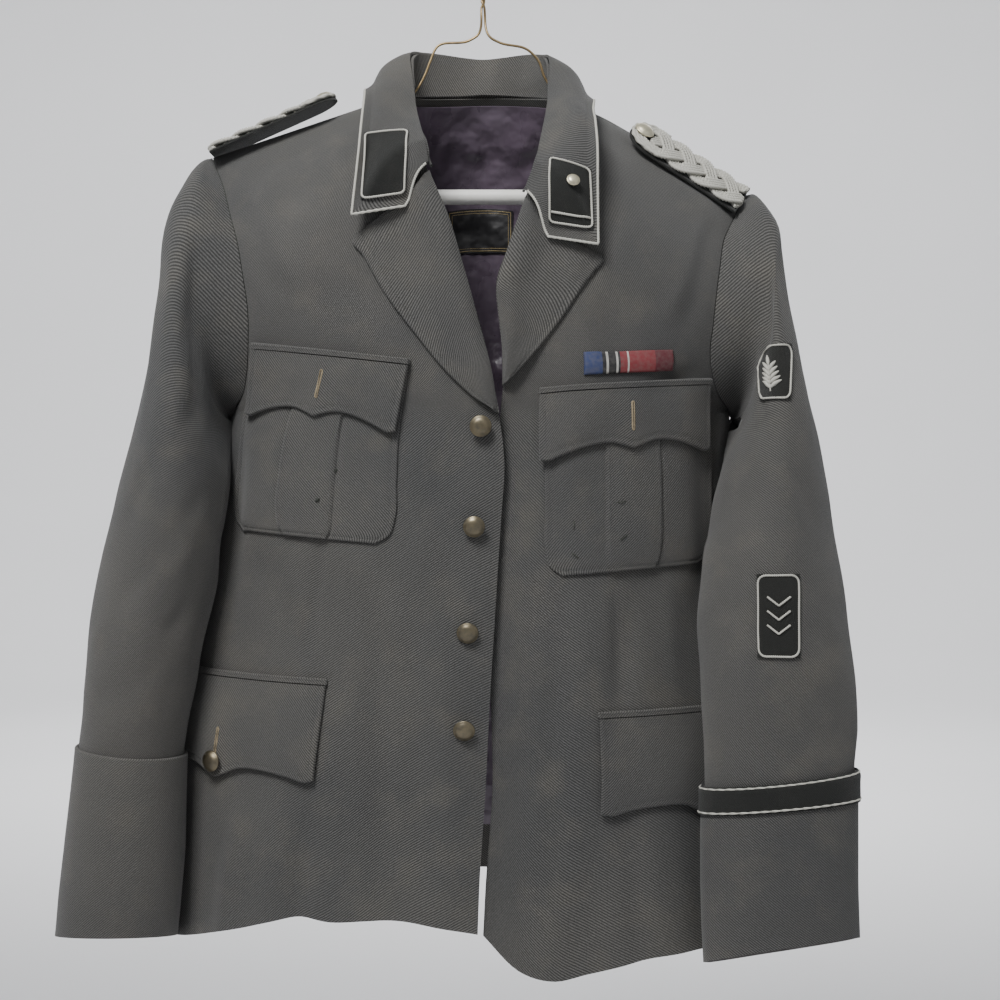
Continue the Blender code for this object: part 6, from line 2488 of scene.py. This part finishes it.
@dataclass
class Collar:
    """Stand and fall with their silver cord, and the plain patches on the fall."""

    step: float = 0.0026

    def build(self) -> None:
        """Make the collar."""
        table = between_rows(COLLAR, COLLAR_CORNERS)
        corners = [2 * row for row in COLLAR_CORNERS]
        seams = np.array([collar_seam(station) for station in table])
        creases, edges = table[:, 2:5], table[:, 5:8]
        away = creases.copy()
        away[:, 2] = 0.0
        away = unit_rows(away)
        foot = seams + np.array([0.0, 0.0, STAND_RISE])
        inset = np.where(seams[:, 1] < SHOULDER_SEAM_Y, STAND_INSET, 0.0)
        foot[:, 0] -= np.sign(seams[:, 0]) * inset
        grid = np.array([foot * (1.0 - share) + creases * share for share in STAND_LEVELS])
        normals = grid_normals(grid, np.broadcast_to(away, grid.shape))
        stand = Cloth(grid, grid - normals * COLLAR_WALL, self.step)
        made = stand.dress("collar_stand_cloth", ["collar_stand"], [GREY_TWILL, GREY_TWILL])
        start = creases + away * 3.0 * SEAM_GAP + np.array([0.0, 0.0, 2.0 * SEAM_GAP])
        size = np.linalg.norm(edges - creases, axis=1, keepdims=True)
        lift = np.array([0.0, 0.0, FALL_LIFT[1]]) + FALL_LIFT[0] * away
        rows = []
        for share in np.linspace(0.0, 1.0, FALL_ROWS + 1):
            bulge = FALL_BULGE * math.sin(math.pi * min(share / FALL_BULGE_END, 1.0))
            row = start * (1.0 - share) + edges * share + lift * bulge * (size / FALL_BULGE_SIZE)
            rows.append([over_the_body(point) if share > 0.0 else point for point in row])
        grid = np.array(rows)
        outward = np.broadcast_to(away + np.array([0.0, 0.0, FALL_FACING]), grid.shape)
        normals = grid_normals(grid, outward)
        fall = Cloth(grid + normals * COLLAR_WALL, grid, self.step, rims=True, corners=corners)
        fall.move(soft_waves(fall.outer, FALL_WAVES)
                  * np.clip(fall.from_rim("t") / 0.01, 0.0, 1.0))
        fall.round_rims(THICK_RIM, "blr")
        made = fall.dress("collar_fall_cloth", ["collar_fall"], [GREY_TWILL, SHADED_FACING])
        inset = COLLAR_CORD.radius * 0.4
        line = fall.line([(0.006, inset), (-inset, inset), (-inset, -inset), (0.006, -inset)],
                         COLLAR_CORD.radius * 0.1, 0.0010)
        trim("collar_cord", [COLLAR_CORD.along(line)], SILVER_CORD)
        self.patches(fall)
        LOG.info("collar")

    def patches(self, fall: Cloth) -> None:
        """Make the two plain patches with their cord edges, the left with a button and a cord.

        Args:
            fall: The collar's fall.
        """
        for patch in COLLAR_PATCHES:
            cloth = sewn_on(patch, fall, (FALL_ROWS, 2 * (len(COLLAR) - 1)))
            name = patch[0]
            made = cloth.dress(name + "_cloth", [name], [DARK_CLOTH])
            cords = [PATCH_CORD.along(edge_ring(cloth, 0.0007, 0.0003), closed=True)]
            if name.startswith("right"):
                trim(name + "_cord", cords, SILVER_CORD)
                continue
            low = cloth.line([(-0.0085, 0.002), (-0.0085, -0.002)], 0.0006, 0.001)
            cords.append(INNER_CORD.along(low))
            trim(name + "_cord", cords, SILVER_CORD)
            foot = cloth.place(cloth.down[-1] * 0.36, cloth.whole_across / 2.0, 0.0002)
            axis = cloth.place(cloth.down[-1] * 0.36, cloth.whole_across / 2.0, 0.02) - foot
            button = Buttons(sides=24, size=0.62)
            trim(name + "_button", [button.lathe(foot, axis)], PALE_BRASS)


@dataclass
class Sleeve:
    """One sleeve and its turned-back cuff."""

    side: Side
    table: Array
    cuff_table: Array
    step: float = 0.0042

    def creases(self, rings: Array, points: Array) -> Array:
        """Height of the sleeve's creases and waves.

        Args:
            rings: Coarse rings of the sleeve.
            points: Points in rows and columns.

        Returns:
            Heights, rows by columns.
        """
        ends = np.array([[sample_grid(rings, row[0], row[1]), sample_grid(rings, row[2], row[3])]
                         for row in SLEEVE_CREASES])
        height = SLEEVE_CREASE_SCALE * crease_height(points, ends, SLEEVE_CREASES[:, 4],
                                                     SLEEVE_CREASES[:, 5])
        return height + soft_waves(points, SLEEVE_WAVES)

    def build(self) -> tuple[Cloth, Cloth]:
        """Make the sleeve and its cuff.

        Returns:
            The sleeve and the cuff.
        """
        rings = sleeve_rings(self.side.value, self.table, self.cuff_table)
        normals = grid_normals(rings, ring_outward(rings), closed=True)
        normals[0, 0] = (0.0, 0.0, 1.0)
        cloth = Cloth(rings, rings - normals * SLEEVE_WALL, self.step, closed=True)
        fade = np.clip(cloth.from_rim("t") / 0.03, 0.0, 1.0) * np.clip(
            (cloth.from_rim("b") - 0.020) / 0.03, 0.0, 1.0)
        cloth.move(self.creases(rings, cloth.outer) * fade)
        name = self.side.word + "_sleeve"
        made = cloth.dress(name + "_cloth", [name], [GREY_TWILL, SLEEVE_LINING])
        # Dark thread ring just inside the armhole seam, thicker above the underarm: painted shade
        # that fills the gap between sleeve and body.
        seam = (cloth.outer[0] + cloth.inner[0]) / 2.0
        seam = seam - unit_rows(seam - seam.mean(axis=0)) * 0.0034
        radii = 0.0005 + 0.0023 * np.clip((seam[:, 2] - seam[:, 2].min() - 0.02) / 0.06, 0.0, 1.0)
        trim(name + "_seam_shadow_roll", [swept(seam, radii, 8, closed=True)], DARK_THREAD)
        cuffs = cuff_rings(self.cuff_table)
        normals = grid_normals(cuffs, ring_outward(cuffs), closed=True)
        cuff = Cloth(cuffs, cuffs - normals * CUFF_WALL, self.step * 0.8, closed=True, rims=True)
        cuff.move(soft_waves(cuff.outer, CUFF_WAVES)
                  * np.clip((0.155 - cuff.down[:, None]) / 0.02, 0.0, 1.0)
                  * np.clip(cuff.down[:, None] / 0.02, 0.0, 1.0))
        cuff.round_rims(THIN_RIM, "t")
        name = self.side.word + "_cuff"
        made = cuff.dress(name + "_cloth", [name], [GREY_TWILL, SLEEVE_LINING])
        LOG.info("%s sleeve and cuff", self.side.word)
        return cloth, cuff


@dataclass
class Pockets:
    """Breast pockets with pleats, lower pockets, their flaps and welts."""

    stitching: Stitching
    step: float = 0.0022
    edge_row: float = 0.0052
    hole: float = 0.0215

    def bag(self, side: Side, table: Array) -> None:
        """Make a breast pocket with its box pleat.

        Args:
            side: Side of the pocket.
            table: Its table.
        """
        outline = np.zeros((len(table), len(BAG_COLUMNS), 2))
        for row, (inner_x, inner_z, outer_x, outer_z) in enumerate(table):
            inner = reach_of(side.value, inner_x, inner_z)
            outer = reach_of(side.value, outer_x, outer_z)
            for column, share in enumerate(BAG_COLUMNS):
                outline[row, column] = (inner + share * (outer - inner),
                                        inner_z + share * (outer_z - inner_z))
        shape = outline.shape[:2]
        outer, inner = laid(side.value, outline, np.full(shape, PATCH_GAP),
                            np.full(shape, POCKET_WALL))
        cloth = Cloth(outer, inner, 0.0016, rims=True)
        cloth.move(front_height(cloth.outer, side.value))
        share = cloth.across[None, :] / cloth.whole_across
        width = cloth.whole_across
        down = cloth.down[:, None]
        from_left, from_right = (share - PLEAT[0]) * width, (PLEAT[1] - share) * width
        inside = np.minimum(from_left, from_right)
        rise = PLEAT_RISE * np.clip(inside / 0.0012 + 0.5, 0.0, 1.0)
        fold = groove(np.minimum(np.abs(from_left), np.abs(from_right)), 0.0, *PLEAT_FOLD)
        seam = groove(cloth.from_rim("lrb"), self.edge_row, *EDGE_SEAM)
        swell = 0.0022 * np.sin(math.pi * np.clip(share, 0.0, 1.0)) ** 0.8 * np.sin(
            math.pi * np.clip(down / cloth.down[-1] * 0.9 + 0.05, 0.0, 1.0))
        fold = rise + fold * (inside < 0.0)
        cloth.press(fold * np.clip(down / 0.002, 0.0, 1.0) + seam + swell)
        cloth.round_rims(THIN_RIM, "lrb")
        name = side.word + "_breast_bag"
        made = cloth.dress(name + "_cloth", [name], [GREY_TWILL, SHADED_FACING])
        self.stitching.sew_edges(cloth, self.edge_row)
        for place in (PLEAT[0] * width + 0.0022, PLEAT[1] * width - 0.0022):
            self.stitching.sew(cloth, [(0.0, place), (-0.001, place)])
        self.loose_threads(side, cloth)

    def loose_threads(self, side: Side, cloth: Cloth) -> None:
        """Make the thread loops and frayed spots on a breast pocket.

        Args:
            side: Side of the pocket.
            cloth: The pocket's bag.
        """
        away = cloth.normals()
        threads = []
        for number, (x, z, length, count) in enumerate(LOOSE_THREADS[side]):
            miss = np.hypot(cloth.outer[..., 0] - x, cloth.outer[..., 2] - z)
            spot = np.unravel_index(int(np.argmin(miss)), miss.shape)
            foot, toward = cloth.outer[spot], away[spot]
            for turn in range(count):
                angle = 0.15 + 1.1 * turn + 0.7 * number
                way = np.array([math.cos(angle), 0.0, 0.6 * math.sin(angle)])
                way = unit(way - toward * float(np.dot(way, toward)))
                size = length * (1.0 - 0.12 * turn)
                line = [foot + way * size * share + toward * rise for share, rise in THREAD_ARCH]
                threads.append(LOOSE_THREAD.along(smooth_path(line, 0.0006)))
        trim(side.word + "_breast_threads", threads, DARK_THREAD)

    def flap(self, flap: tuple) -> None:
        """Make a three-pointed flap, its stitching and the welt above it.

        Args:
            flap: Row of the flaps' table.
        """
        name, side = flap[:2]
        lean, drop_column, lift = flap[6:]
        inner, inner_z, outer, outer_z = flap_span(flap)
        levels = (0.0, 0.33, 0.67, 1.0)
        outline = np.zeros((len(levels), len(FLAP_EDGE), 2))
        lifts = np.zeros(outline.shape[:2])
        for row, level in enumerate(levels):
            for column, edge in enumerate(FLAP_EDGE):
                share = edge[0]
                outline[row, column] = (inner + share * (outer - inner) + lean * level,
                                        inner_z + share * (outer_z - inner_z)
                                        - edge[drop_column] * level)
                lifts[row, column] = lift + 0.0006 * level
        faces = laid(side, outline, lifts, np.full(lifts.shape, FLAP_WALL))
        cloth = Cloth(*faces, 0.0018, rims=True)
        share = cloth.across[None, :] / cloth.whole_across
        level = cloth.down[:, None] / cloth.down[-1]
        curl = 0.0016 * level ** 2 * (0.6 + 0.4 * np.cos(4.0 * math.pi * share)) + 0.0012 * np.sin(
            math.pi * level) * (0.5 + 0.5 * np.sin(math.pi * share))
        cloth.move(front_height(cloth.outer, side) + curl)
        cloth.press(groove(cloth.from_rim("blr"), self.edge_row, *EDGE_SEAM))
        cloth.round_rims(THICK_RIM, "blr")
        made = cloth.dress(name + "_flap_cloth", [name + "_flap"], [GREY_TWILL, SHADED_FACING])
        self.stitching.sew_edges(cloth, self.edge_row)
        self.welt(name, side, inner, inner_z, outer, outer_z, lift)
        self.buttonhole(name, cloth, 0.46 if drop_column == 1 else 0.66)
        LOG.info("%s flap and welt", name)

    def welt(self, name: str, side: int, inner: float, inner_z: float, outer: float,
             outer_z: float, lift: float) -> None:
        """Make the stitched welt over a flap.

        Args:
            name: Name of the pocket.
            side: -1 for the wearer's right.
            inner: Reach of the flap's inner corner.
            inner_z: Height of that corner.
            outer: Reach of the outer corner.
            outer_z: Height of that corner.
            lift: Height of the flap above the front.
        """
        shares = np.linspace(0.0, 1.0, 8)
        strip = np.zeros((2, len(shares), 2))
        for row, rise in enumerate((WELT_HEIGHT + 0.0008, 0.0008)):
            for column, share in enumerate(shares):
                strip[row, column] = (inner - 0.001 + share * (outer - inner + 0.002),
                                      inner_z + share * (outer_z - inner_z) + rise)
        low = np.full((2, len(shares)), PATCH_GAP + SEAM_GAP)
        faces = laid(side, strip, low, np.full(low.shape, WELT_WALL + lift - PATCH_GAP))
        cloth = Cloth(*faces, 0.0012, rims=True)
        cloth.move(front_height(cloth.outer, side))
        cloth.round_rims(THIN_RIM, "tlr")
        made = cloth.dress(name + "_welt_cloth", [name + "_welt"], [GREY_TWILL])
        self.stitching.sew(cloth, [(0.0016, 0.003), (0.0016, -0.003)])

    def buttonhole(self, name: str, cloth: Cloth, level: float) -> None:
        """Make a worked buttonhole on a flap.

        Args:
            name: Name of the pocket.
            cloth: The flap.
            level: How far down the flap its middle lies, as a share.
        """
        middle, across = cloth.down[-1] * level, cloth.whole_across / 2.0
        half, wide = self.hole / 2.0, 0.0009
        ring = [(middle - half, across - wide), (middle + half, across - wide),
                (middle + half + 0.0010, across), (middle + half, across + wide),
                (middle - half, across + wide), (middle - half - 0.0010, across),
                (middle - half, across - wide)]
        line = cloth.line(ring, 0.0002, 0.0007)[:-1]
        trim(name + "_buttonhole", [HOLE_THREAD.along(line, closed=True)], BUFF_THREAD)

    def build(self) -> None:
        """Make every pocket."""
        self.bag(Side.RIGHT, RIGHT_BAG)
        self.bag(Side.LEFT, LEFT_BAG)
        for flap in FLAPS:
            self.flap(flap)


@dataclass
class Buttons:
    """Domed buttons of the front and the lower flaps."""

    sides: int = 48
    size: float = 1.0
    profile: tuple = ((0.0016, -0.0030), (0.0017, 0.0002), (0.0050, 0.0002), (0.0076, 0.0006),
                      (0.0086, 0.0011), (0.0088, 0.0018), (0.0085, 0.0025), (0.0078, 0.0028),
                      (0.0075, 0.0030), (0.0067, 0.0039), (0.0053, 0.0048), (0.0036, 0.0053),
                      (0.0018, 0.0055), (0.0006, 0.00555))

    def lathe(self, foot: Array, axis: Array) -> tuple[Array, Array]:
        """Points and faces of a button whose shank stands on foot.

        Args:
            foot: Middle of its foot.
            axis: Direction that it stands in.

        Returns:
            Points and faces.
        """
        axis = unit(axis)
        across = unit(np.cross(axis, (0.0, 0.3, 1.0)))
        other = np.cross(axis, across)
        base = foot - axis * self.profile[0][1] * self.size
        turns = 2.0 * math.pi * np.arange(self.sides) / self.sides
        spokes = np.cos(turns)[:, None] * across + np.sin(turns)[:, None] * other
        profile = [(radius * self.size, height * self.size) for radius, height in self.profile]
        points = [base + axis * height + spokes * radius for radius, height in profile]
        points = np.concatenate([*points, [base + axis * profile[0][1]],
                                 [base + axis * (profile[-1][1] + 0.00003)]])
        rows = len(self.profile)
        number = np.arange(rows * self.sides).reshape(rows, self.sides)
        first, last = number[0], number[-1]
        caps = (cap_faces(np.append(first, first[0])[::-1], number.size)
                + cap_faces(np.append(last, last[0]), number.size + 1))
        return points, np.concatenate([ring_faces(number), np.array(caps)])

    def build(self) -> None:
        """Make the buttons of the front edge and the lower flaps."""
        for number, (x, z, droop) in enumerate(FRONT_BUTTONS, start=1):
            reach = reach_of(-1, x, z)
            foot = on_front(-1, reach, z, REST_GAP)
            axis = unit(on_front(-1, reach, z, 0.01) - foot)
            axis[2] -= math.sin(math.radians(droop))
            foot = foot - np.array([0.0, 0.0005, 0.0])
            trim(f"front_button_{number}_brass", [self.lathe(foot, axis)], AGED_BRASS,
                 [f"front_button_{number}"])
        for flap in FLAPS[2:]:
            side = flap[1]
            inner, inner_z, outer, outer_z = flap_span(flap)
            reach = (inner + outer) / 2.0 + flap[6]
            z = (inner_z + outer_z) / 2.0 - LOWER_BUTTON_DROP
            foot = on_front(side, reach, z, flap[8] + FLAP_WALL + 0.0024)
            axis = on_front(side, reach, z, 0.02) - foot
            name = flap[0] + "_button"
            trim(name + "_brass", [self.lathe(foot, axis)], AGED_BRASS, [name])
        LOG.info("buttons")


@dataclass
class ShoulderBoard:
    """Shoulder board of plaited double cords over dark cloth, with its button."""

    name: str
    board: tuple
    buttons: Buttons
    strands: int = 3
    lanes: int = 4
    wave: float = 0.066
    cord: float = BOARD_CORD.radius
    base: float = BOARD_BASE * 0.8
    end: float = BOARD_WIDTH / 2.0

    def plait(self, length: float) -> list[Array]:
        """Middle lines of the plaited cords, as reach, side and height.

        Args:
            length: Length of the board.

        Returns:
            The lines.
        """
        half = self.end
        band = (self.lanes - 1) * self.cord
        reach = np.linspace(0.0, length - half * 0.9, 150)
        level = self.base + self.cord * 1.9
        lines = []
        for strand in range(self.strands):
            turn = 2.0 * math.pi * (reach / self.wave + strand / self.strands)
            middle = np.stack([reach, (half - band - self.cord) * np.sin(turn)], axis=1)
            way = unit_rows(np.gradient(middle, axis=0))
            beside = np.stack([-way[:, 1], way[:, 0]], axis=1)
            for lane in range(self.lanes):
                offset = (2 * lane - self.lanes + 1) * self.cord * 0.97
                flat = middle + beside * offset
                height = level + self.cord * np.sin(2.0 * turn)
                inside = (flat[:, 0] > 0.0002) & (flat[:, 0] < length - half * 0.9)
                lines.append(np.column_stack([flat, height])[inside])
        return lines

    def loops(self, length: float) -> list[Array]:
        """Middle lines of the cords that loop round the button, as reach, side and height.

        Args:
            length: Length of the board.

        Returns:
            The lines.
        """
        half = self.end
        lines = []
        for lane in range(self.lanes):
            radius = half - self.cord * (1.0 + 1.95 * lane)
            turns = np.linspace(-0.5 * math.pi, 0.5 * math.pi, 30)
            bend = np.stack([length - half + radius * np.cos(turns), radius * np.sin(turns)],
                            axis=1)
            legs = np.linspace(length - half - 0.010, length - half - 0.001, 6)
            flat = np.concatenate([np.stack([legs, np.full(6, -radius)], axis=1), bend,
                                   np.stack([legs[::-1], np.full(6, radius)], axis=1)])
            level = np.full(len(flat), self.base + self.cord * 1.9)
            lines.append(np.column_stack([flat, level]))
        return lines

    def build(self) -> None:
        """Make the board."""
        origin, along, across, up, length = board_axes(self.board)
        half = self.end
        rows = np.linspace(0.0, length, 40)
        outer, inner = [], []
        for reach in rows:
            past = max(0.0, reach - (length - half)) / half
            width = half * max(0.10, math.sqrt(max(0.0, 1.0 - past * past)))
            line = np.array([origin + along * reach + across * width * share
                             for share in np.linspace(-1.0, 1.0, 9)])
            inner.append(line)
            outer.append(line + up * self.base)
        base = Cloth(np.array(outer), np.array(inner), 0.0025, rims=True)
        base.round_rims(0.0012)
        made = base.dress(self.name + "_board_base", [], [DARK_CLOTH])
        lines = self.plait(length) + self.loops(length)
        axes = np.array([along, across, up])
        cords = [(origin + points @ axes, faces) for points, faces in map(BOARD_CORD.along, lines)]
        trim(self.name + "_board_cords", cords, SILVER_CORD, [self.name + "_board"])
        foot = origin + along * (length - half + BOARD_BUTTON_AT) + up * (BOARD_BASE + REST_GAP)
        node = self.name + "_board_button"
        trim(node + "_brass", [self.buttons.lathe(foot, up)], PALE_BRASS, [node])
        LOG.info("%s board", self.name)


@dataclass
class Trimmings:
    """Plain badges, cuff band, ribbon bar and neck label."""

    sleeve: Cloth
    cuff: Cloth
    lining: Cloth
    leaf_width: float = 0.0016

    def badges(self) -> None:
        """Make the two plain badges of the left sleeve."""
        for badge in SLEEVE_BADGES:
            name = badge[0]
            cloth = sewn_on(badge, self.sleeve, (len(LEFT_SLEEVE) + 2, AROUND))
            made = cloth.dress(name + "_cloth", [name], [DARK_CLOTH])
            cords = [BADGE_CORD.along(edge_ring(cloth, 0.0010, 0.0003, 0.006), closed=True)]
            middle = cloth.whole_across / 2.0
            if name.startswith("upper"):
                cords += self.sprig(cloth, middle)
            else:
                low = cloth.down[-1] / 2.0
                for rise in (-0.011, 0.0, 0.011):
                    line = [(low + rise - 0.004, middle - 0.009), (low + rise + 0.003, middle),
                            (low + rise - 0.004, middle + 0.009)]
                    cords.append(BADGE_CORD.along(cloth.line(line, 0.0006, 0.0008)))
            trim(name + "_cords", cords, SILVER_CORD)
        LOG.info("badges")

    def sprig(self, cloth: Cloth, middle: float) -> list[tuple[Array, Array]]:
        """Leaf sprig of embroidered threads.

        Args:
            cloth: The badge.
            middle: Length across to its middle.

        Returns:
            Its leaves and its stem.
        """
        top, foot = 0.008, cloth.down[-1] - 0.007
        stem = cloth.line([(foot, middle), (top + 0.006, middle)], 0.0005, 0.001)
        parts = [STEM_THREAD.along(stem)]
        for step in range(5):
            down = top + 0.007 + step * (foot - top - 0.014) / 4.0
            reach = 0.0075 + 0.0012 * step
            for side in (-1.0, 1.0):
                line = cloth.line([(down + 0.004, middle + side * 0.0008),
                                   (down, middle + side * reach * 0.55),
                                   (down - 0.003, middle + side * reach)], 0.0006, 0.0006)
                parts.append(self.leaf(line, 0.8))
        line = cloth.line([(top + 0.007, middle), (top - 0.001, middle)], 0.0006, 0.0006)
        return [*parts, self.leaf(line, 1.0)]

    def leaf(self, line: Array, slimness: float) -> tuple[Array, Array]:
        """One embroidered leaf along a line."""
        share = np.linspace(0.08, 0.94, len(line))
        return swept(line, self.leaf_width * np.sin(math.pi * share) ** slimness, 8)

    def band(self) -> None:
        """Make the plain band with its pale edges round the left cuff."""
        rings = self.cuff.outer
        away = self.cuff.normals()
        last = (len(rings) - 1) * BAND_ROWS[1] / 4.0
        first = (len(rings) - 1) * BAND_ROWS[0] / 4.0
        rows = np.linspace(first, last, 5)
        columns = range(0, rings.shape[1], 2)
        points = np.array([[sample_grid(rings, row, column) for column in columns] for row in rows])
        away = np.array([[unit(sample_grid(away, row, column)) for column in columns]
                         for row in rows])
        cloth = Cloth(points + away * (REST_GAP + BADGE_WALL), points + away * REST_GAP, 0.0025,
                      closed=True, rims=True)
        made = cloth.dress("cuff_band_cloth", ["cuff_band"], [DARK_CLOTH])
        cords = []
        for down in (0.0022, -0.0022):
            ring = cloth.line([(down, 0.0), (down, cloth.whole_across - 1e-6)], 0.0002, 0.0014)[:-1]
            cords.append(BAND_CORD.along(ring, closed=True))
        trim("cuff_band_cords", cords, SILVER_CORD)
        LOG.info("cuff band")

    def ribbons(self) -> None:
        """Make the bar of plain striped ribbons."""
        x0, z0, x1, z1 = RIBBON
        shares = np.linspace(0.0, 1.0, 7)
        outline = np.zeros((3, len(shares), 2))
        for row, rise in enumerate((0.5, 0.0, -0.5)):
            for column, share in enumerate(shares):
                z = z0 + share * (z1 - z0)
                reach = reach_of(1, x0 + share * (x1 - x0), z)
                outline[row, column] = (reach, z + rise * RIBBON_HEIGHT)
        walls = np.full(outline.shape[:2], 0.0016)
        walls[1] += 0.0014
        faces = laid(1, outline, np.full(walls.shape, REST_GAP), walls)
        cloth = Cloth(*faces, 0.0012, rims=True)
        cloth.move(front_height(cloth.outer, 1) + 0.0004)
        cloth.round_rims(THICK_RIM)
        made = cloth.dress("ribbon_bar_ribbons", ["ribbon_bar"], [RIBBONS])
        LOG.info("ribbon bar")

    def label(self) -> None:
        """Make the bare neck label with its border lines."""
        x0, z0, x1, z1 = LABEL
        grid = self.lining.inner
        label = np.zeros((5, 7, 3))
        heights = grid[:, grid.shape[1] // 2, 2]
        for row, z in enumerate(np.linspace(z0, z1, 5)):
            level = float(np.interp(z, heights, range(len(heights))))
            line = np.array([sample_grid(grid, level, step) for step in range(grid.shape[1])])
            for column, x in enumerate(np.linspace(x0, x1, 7)):
                label[row, column] = sample_grid(grid, level,
                                                 float(np.interp(x, line[:, 0], range(len(line)))))
        toward = np.array([0.0, -1.0, 0.0])
        cloth = Cloth(label + toward * (REST_GAP + LINING_WALL), label + toward * REST_GAP, 0.002,
                      rims=True)
        made = cloth.dress("neck_label_cloth", ["neck_label"], [LABEL_CLOTH])
        borders = []
        for inset, radius in ((0.0020, 0.00035), (0.0042, 0.00022)):
            ring = cloth.line([(inset, inset), (-inset, inset), (-inset, -inset), (inset, -inset),
                               (inset, inset)], 0.0001, 0.002)[:-1]
            borders.append(swept(ring, radius, 6, closed=True))
        trim("neck_label_borders", borders, GOLD_THREAD)
        LOG.info("neck label")

    def build(self) -> None:
        """Make every trimming."""
        self.badges()
        self.band()
        self.ribbons()
        self.label()


@dataclass
class Studio:
    """Pale floor and far wall, soft lights and the camera."""

    eye: tuple = (0.0147, -1.35, -0.514)
    lens: float = 56.16
    floor: float = -1.45
    flat: float = 6.0
    bend: float = 3.0
    sides: int = 64

    def stage(self) -> None:
        """Make the floor, which turns up into a round wall far off."""
        profile = [(0.001, 0.0), (1.5, 0.0), (4.0, 0.0), (self.flat, 0.0)]
        for angle in np.radians(range(10, 91, 10)):
            profile.append((self.flat + self.bend * math.sin(angle),
                            self.bend * (1.0 - math.cos(angle))))
        wall = self.flat + self.bend
        profile += [(wall, 5.0), (wall, 7.0)]
        turns = 2.0 * math.pi * np.arange(self.sides) / self.sides
        spokes = np.stack([np.cos(turns), np.sin(turns), 0.0 * turns], axis=1)
        points = np.concatenate([spokes * radius + np.array([0.0, 0.0, self.floor + height])
                                 for radius, height in profile])
        faces = ring_faces(np.arange(len(points)).reshape(len(profile), self.sides))
        mesh = bpy.data.meshes.new("studio_floor")
        mesh.from_pydata(points.tolist(), [], faces.tolist())
        mesh.polygons.foreach_set("use_smooth", np.ones(len(faces), dtype=bool))
        mesh.materials.append(STUDIO_PALE.made())
        floor = placed("studio_floor", mesh)

    def light(self, name: str, place: tuple, aim: tuple, size: float, power: float) -> None:
        """Add a soft lamp.

        Args:
            name: Name of the lamp.
            place: Where it stands.
            aim: What it looks at.
            size: Width of its panel.
            power: Its power in watts.
        """
        lamp = bpy.data.lights.new(name, "AREA")
        lamp.shape, lamp.size, lamp.energy = "SQUARE", size, power
        made = placed(name, lamp)
        made.location = place
        way = Vector(aim) - Vector(place)
        made.rotation_euler = way.to_track_quat("-Z", "Y").to_euler()

    def build(self) -> None:
        """Set up the stage, the lights and the camera."""
        self.stage()
        middle = (0.0, 0.0, -0.45)
        self.light("key", (-0.7, -1.5, 1.35), (0.0, 0.0, -0.30), 0.8, 78.0)
        self.light("fill", (2.4, -2.2, 0.2), middle, 2.4, 6.0)
        self.light("behind", (0.6, 2.6, 1.2), middle, 2.0, 30.0)
        self.light("wall", (0.0, 3.2, 2.2), (0.0, 9.0, -0.6), 3.0, 320.0)
        world = bpy.data.worlds.new("studio_sky")
        world.use_nodes = True
        sky = world.node_tree.nodes["Background"].inputs
        sky["Color"].default_value = (0.95, 0.97, 1.0, 1.0)
        sky["Strength"].default_value = 0.5
        bpy.context.scene.world = world
        camera = bpy.data.cameras.new("camera")
        camera.lens = self.lens
        camera.sensor_width = 36.0
        made = placed("camera", camera)
        made.location = self.eye
        made.rotation_euler = (math.pi / 2.0, 0.0, 0.0)
        bpy.context.scene.camera = made
        LOG.info("studio")


def main() -> None:
    """Build the tunic, its hanger and the studio."""
    logging.basicConfig(level=logging.INFO, format="%(name)s: %(message)s")
    Studio().build()
    stitching = Stitching(GREY_THREAD)
    Hanger().build()
    lining = Body(stitching).build()
    Collar().build()
    Sleeve(Side.RIGHT, RIGHT_SLEEVE, RIGHT_CUFF).build()
    sleeve, cuff = Sleeve(Side.LEFT, LEFT_SLEEVE, LEFT_CUFF).build()
    Pockets(stitching).build()
    buttons = Buttons()
    buttons.build()
    ShoulderBoard("right", RIGHT_BOARD, buttons).build()
    ShoulderBoard("left", LEFT_BOARD, buttons).build()
    Trimmings(sleeve, cuff, lining).build()
    stitching.finish()


if __name__ == "__main__":
    main()
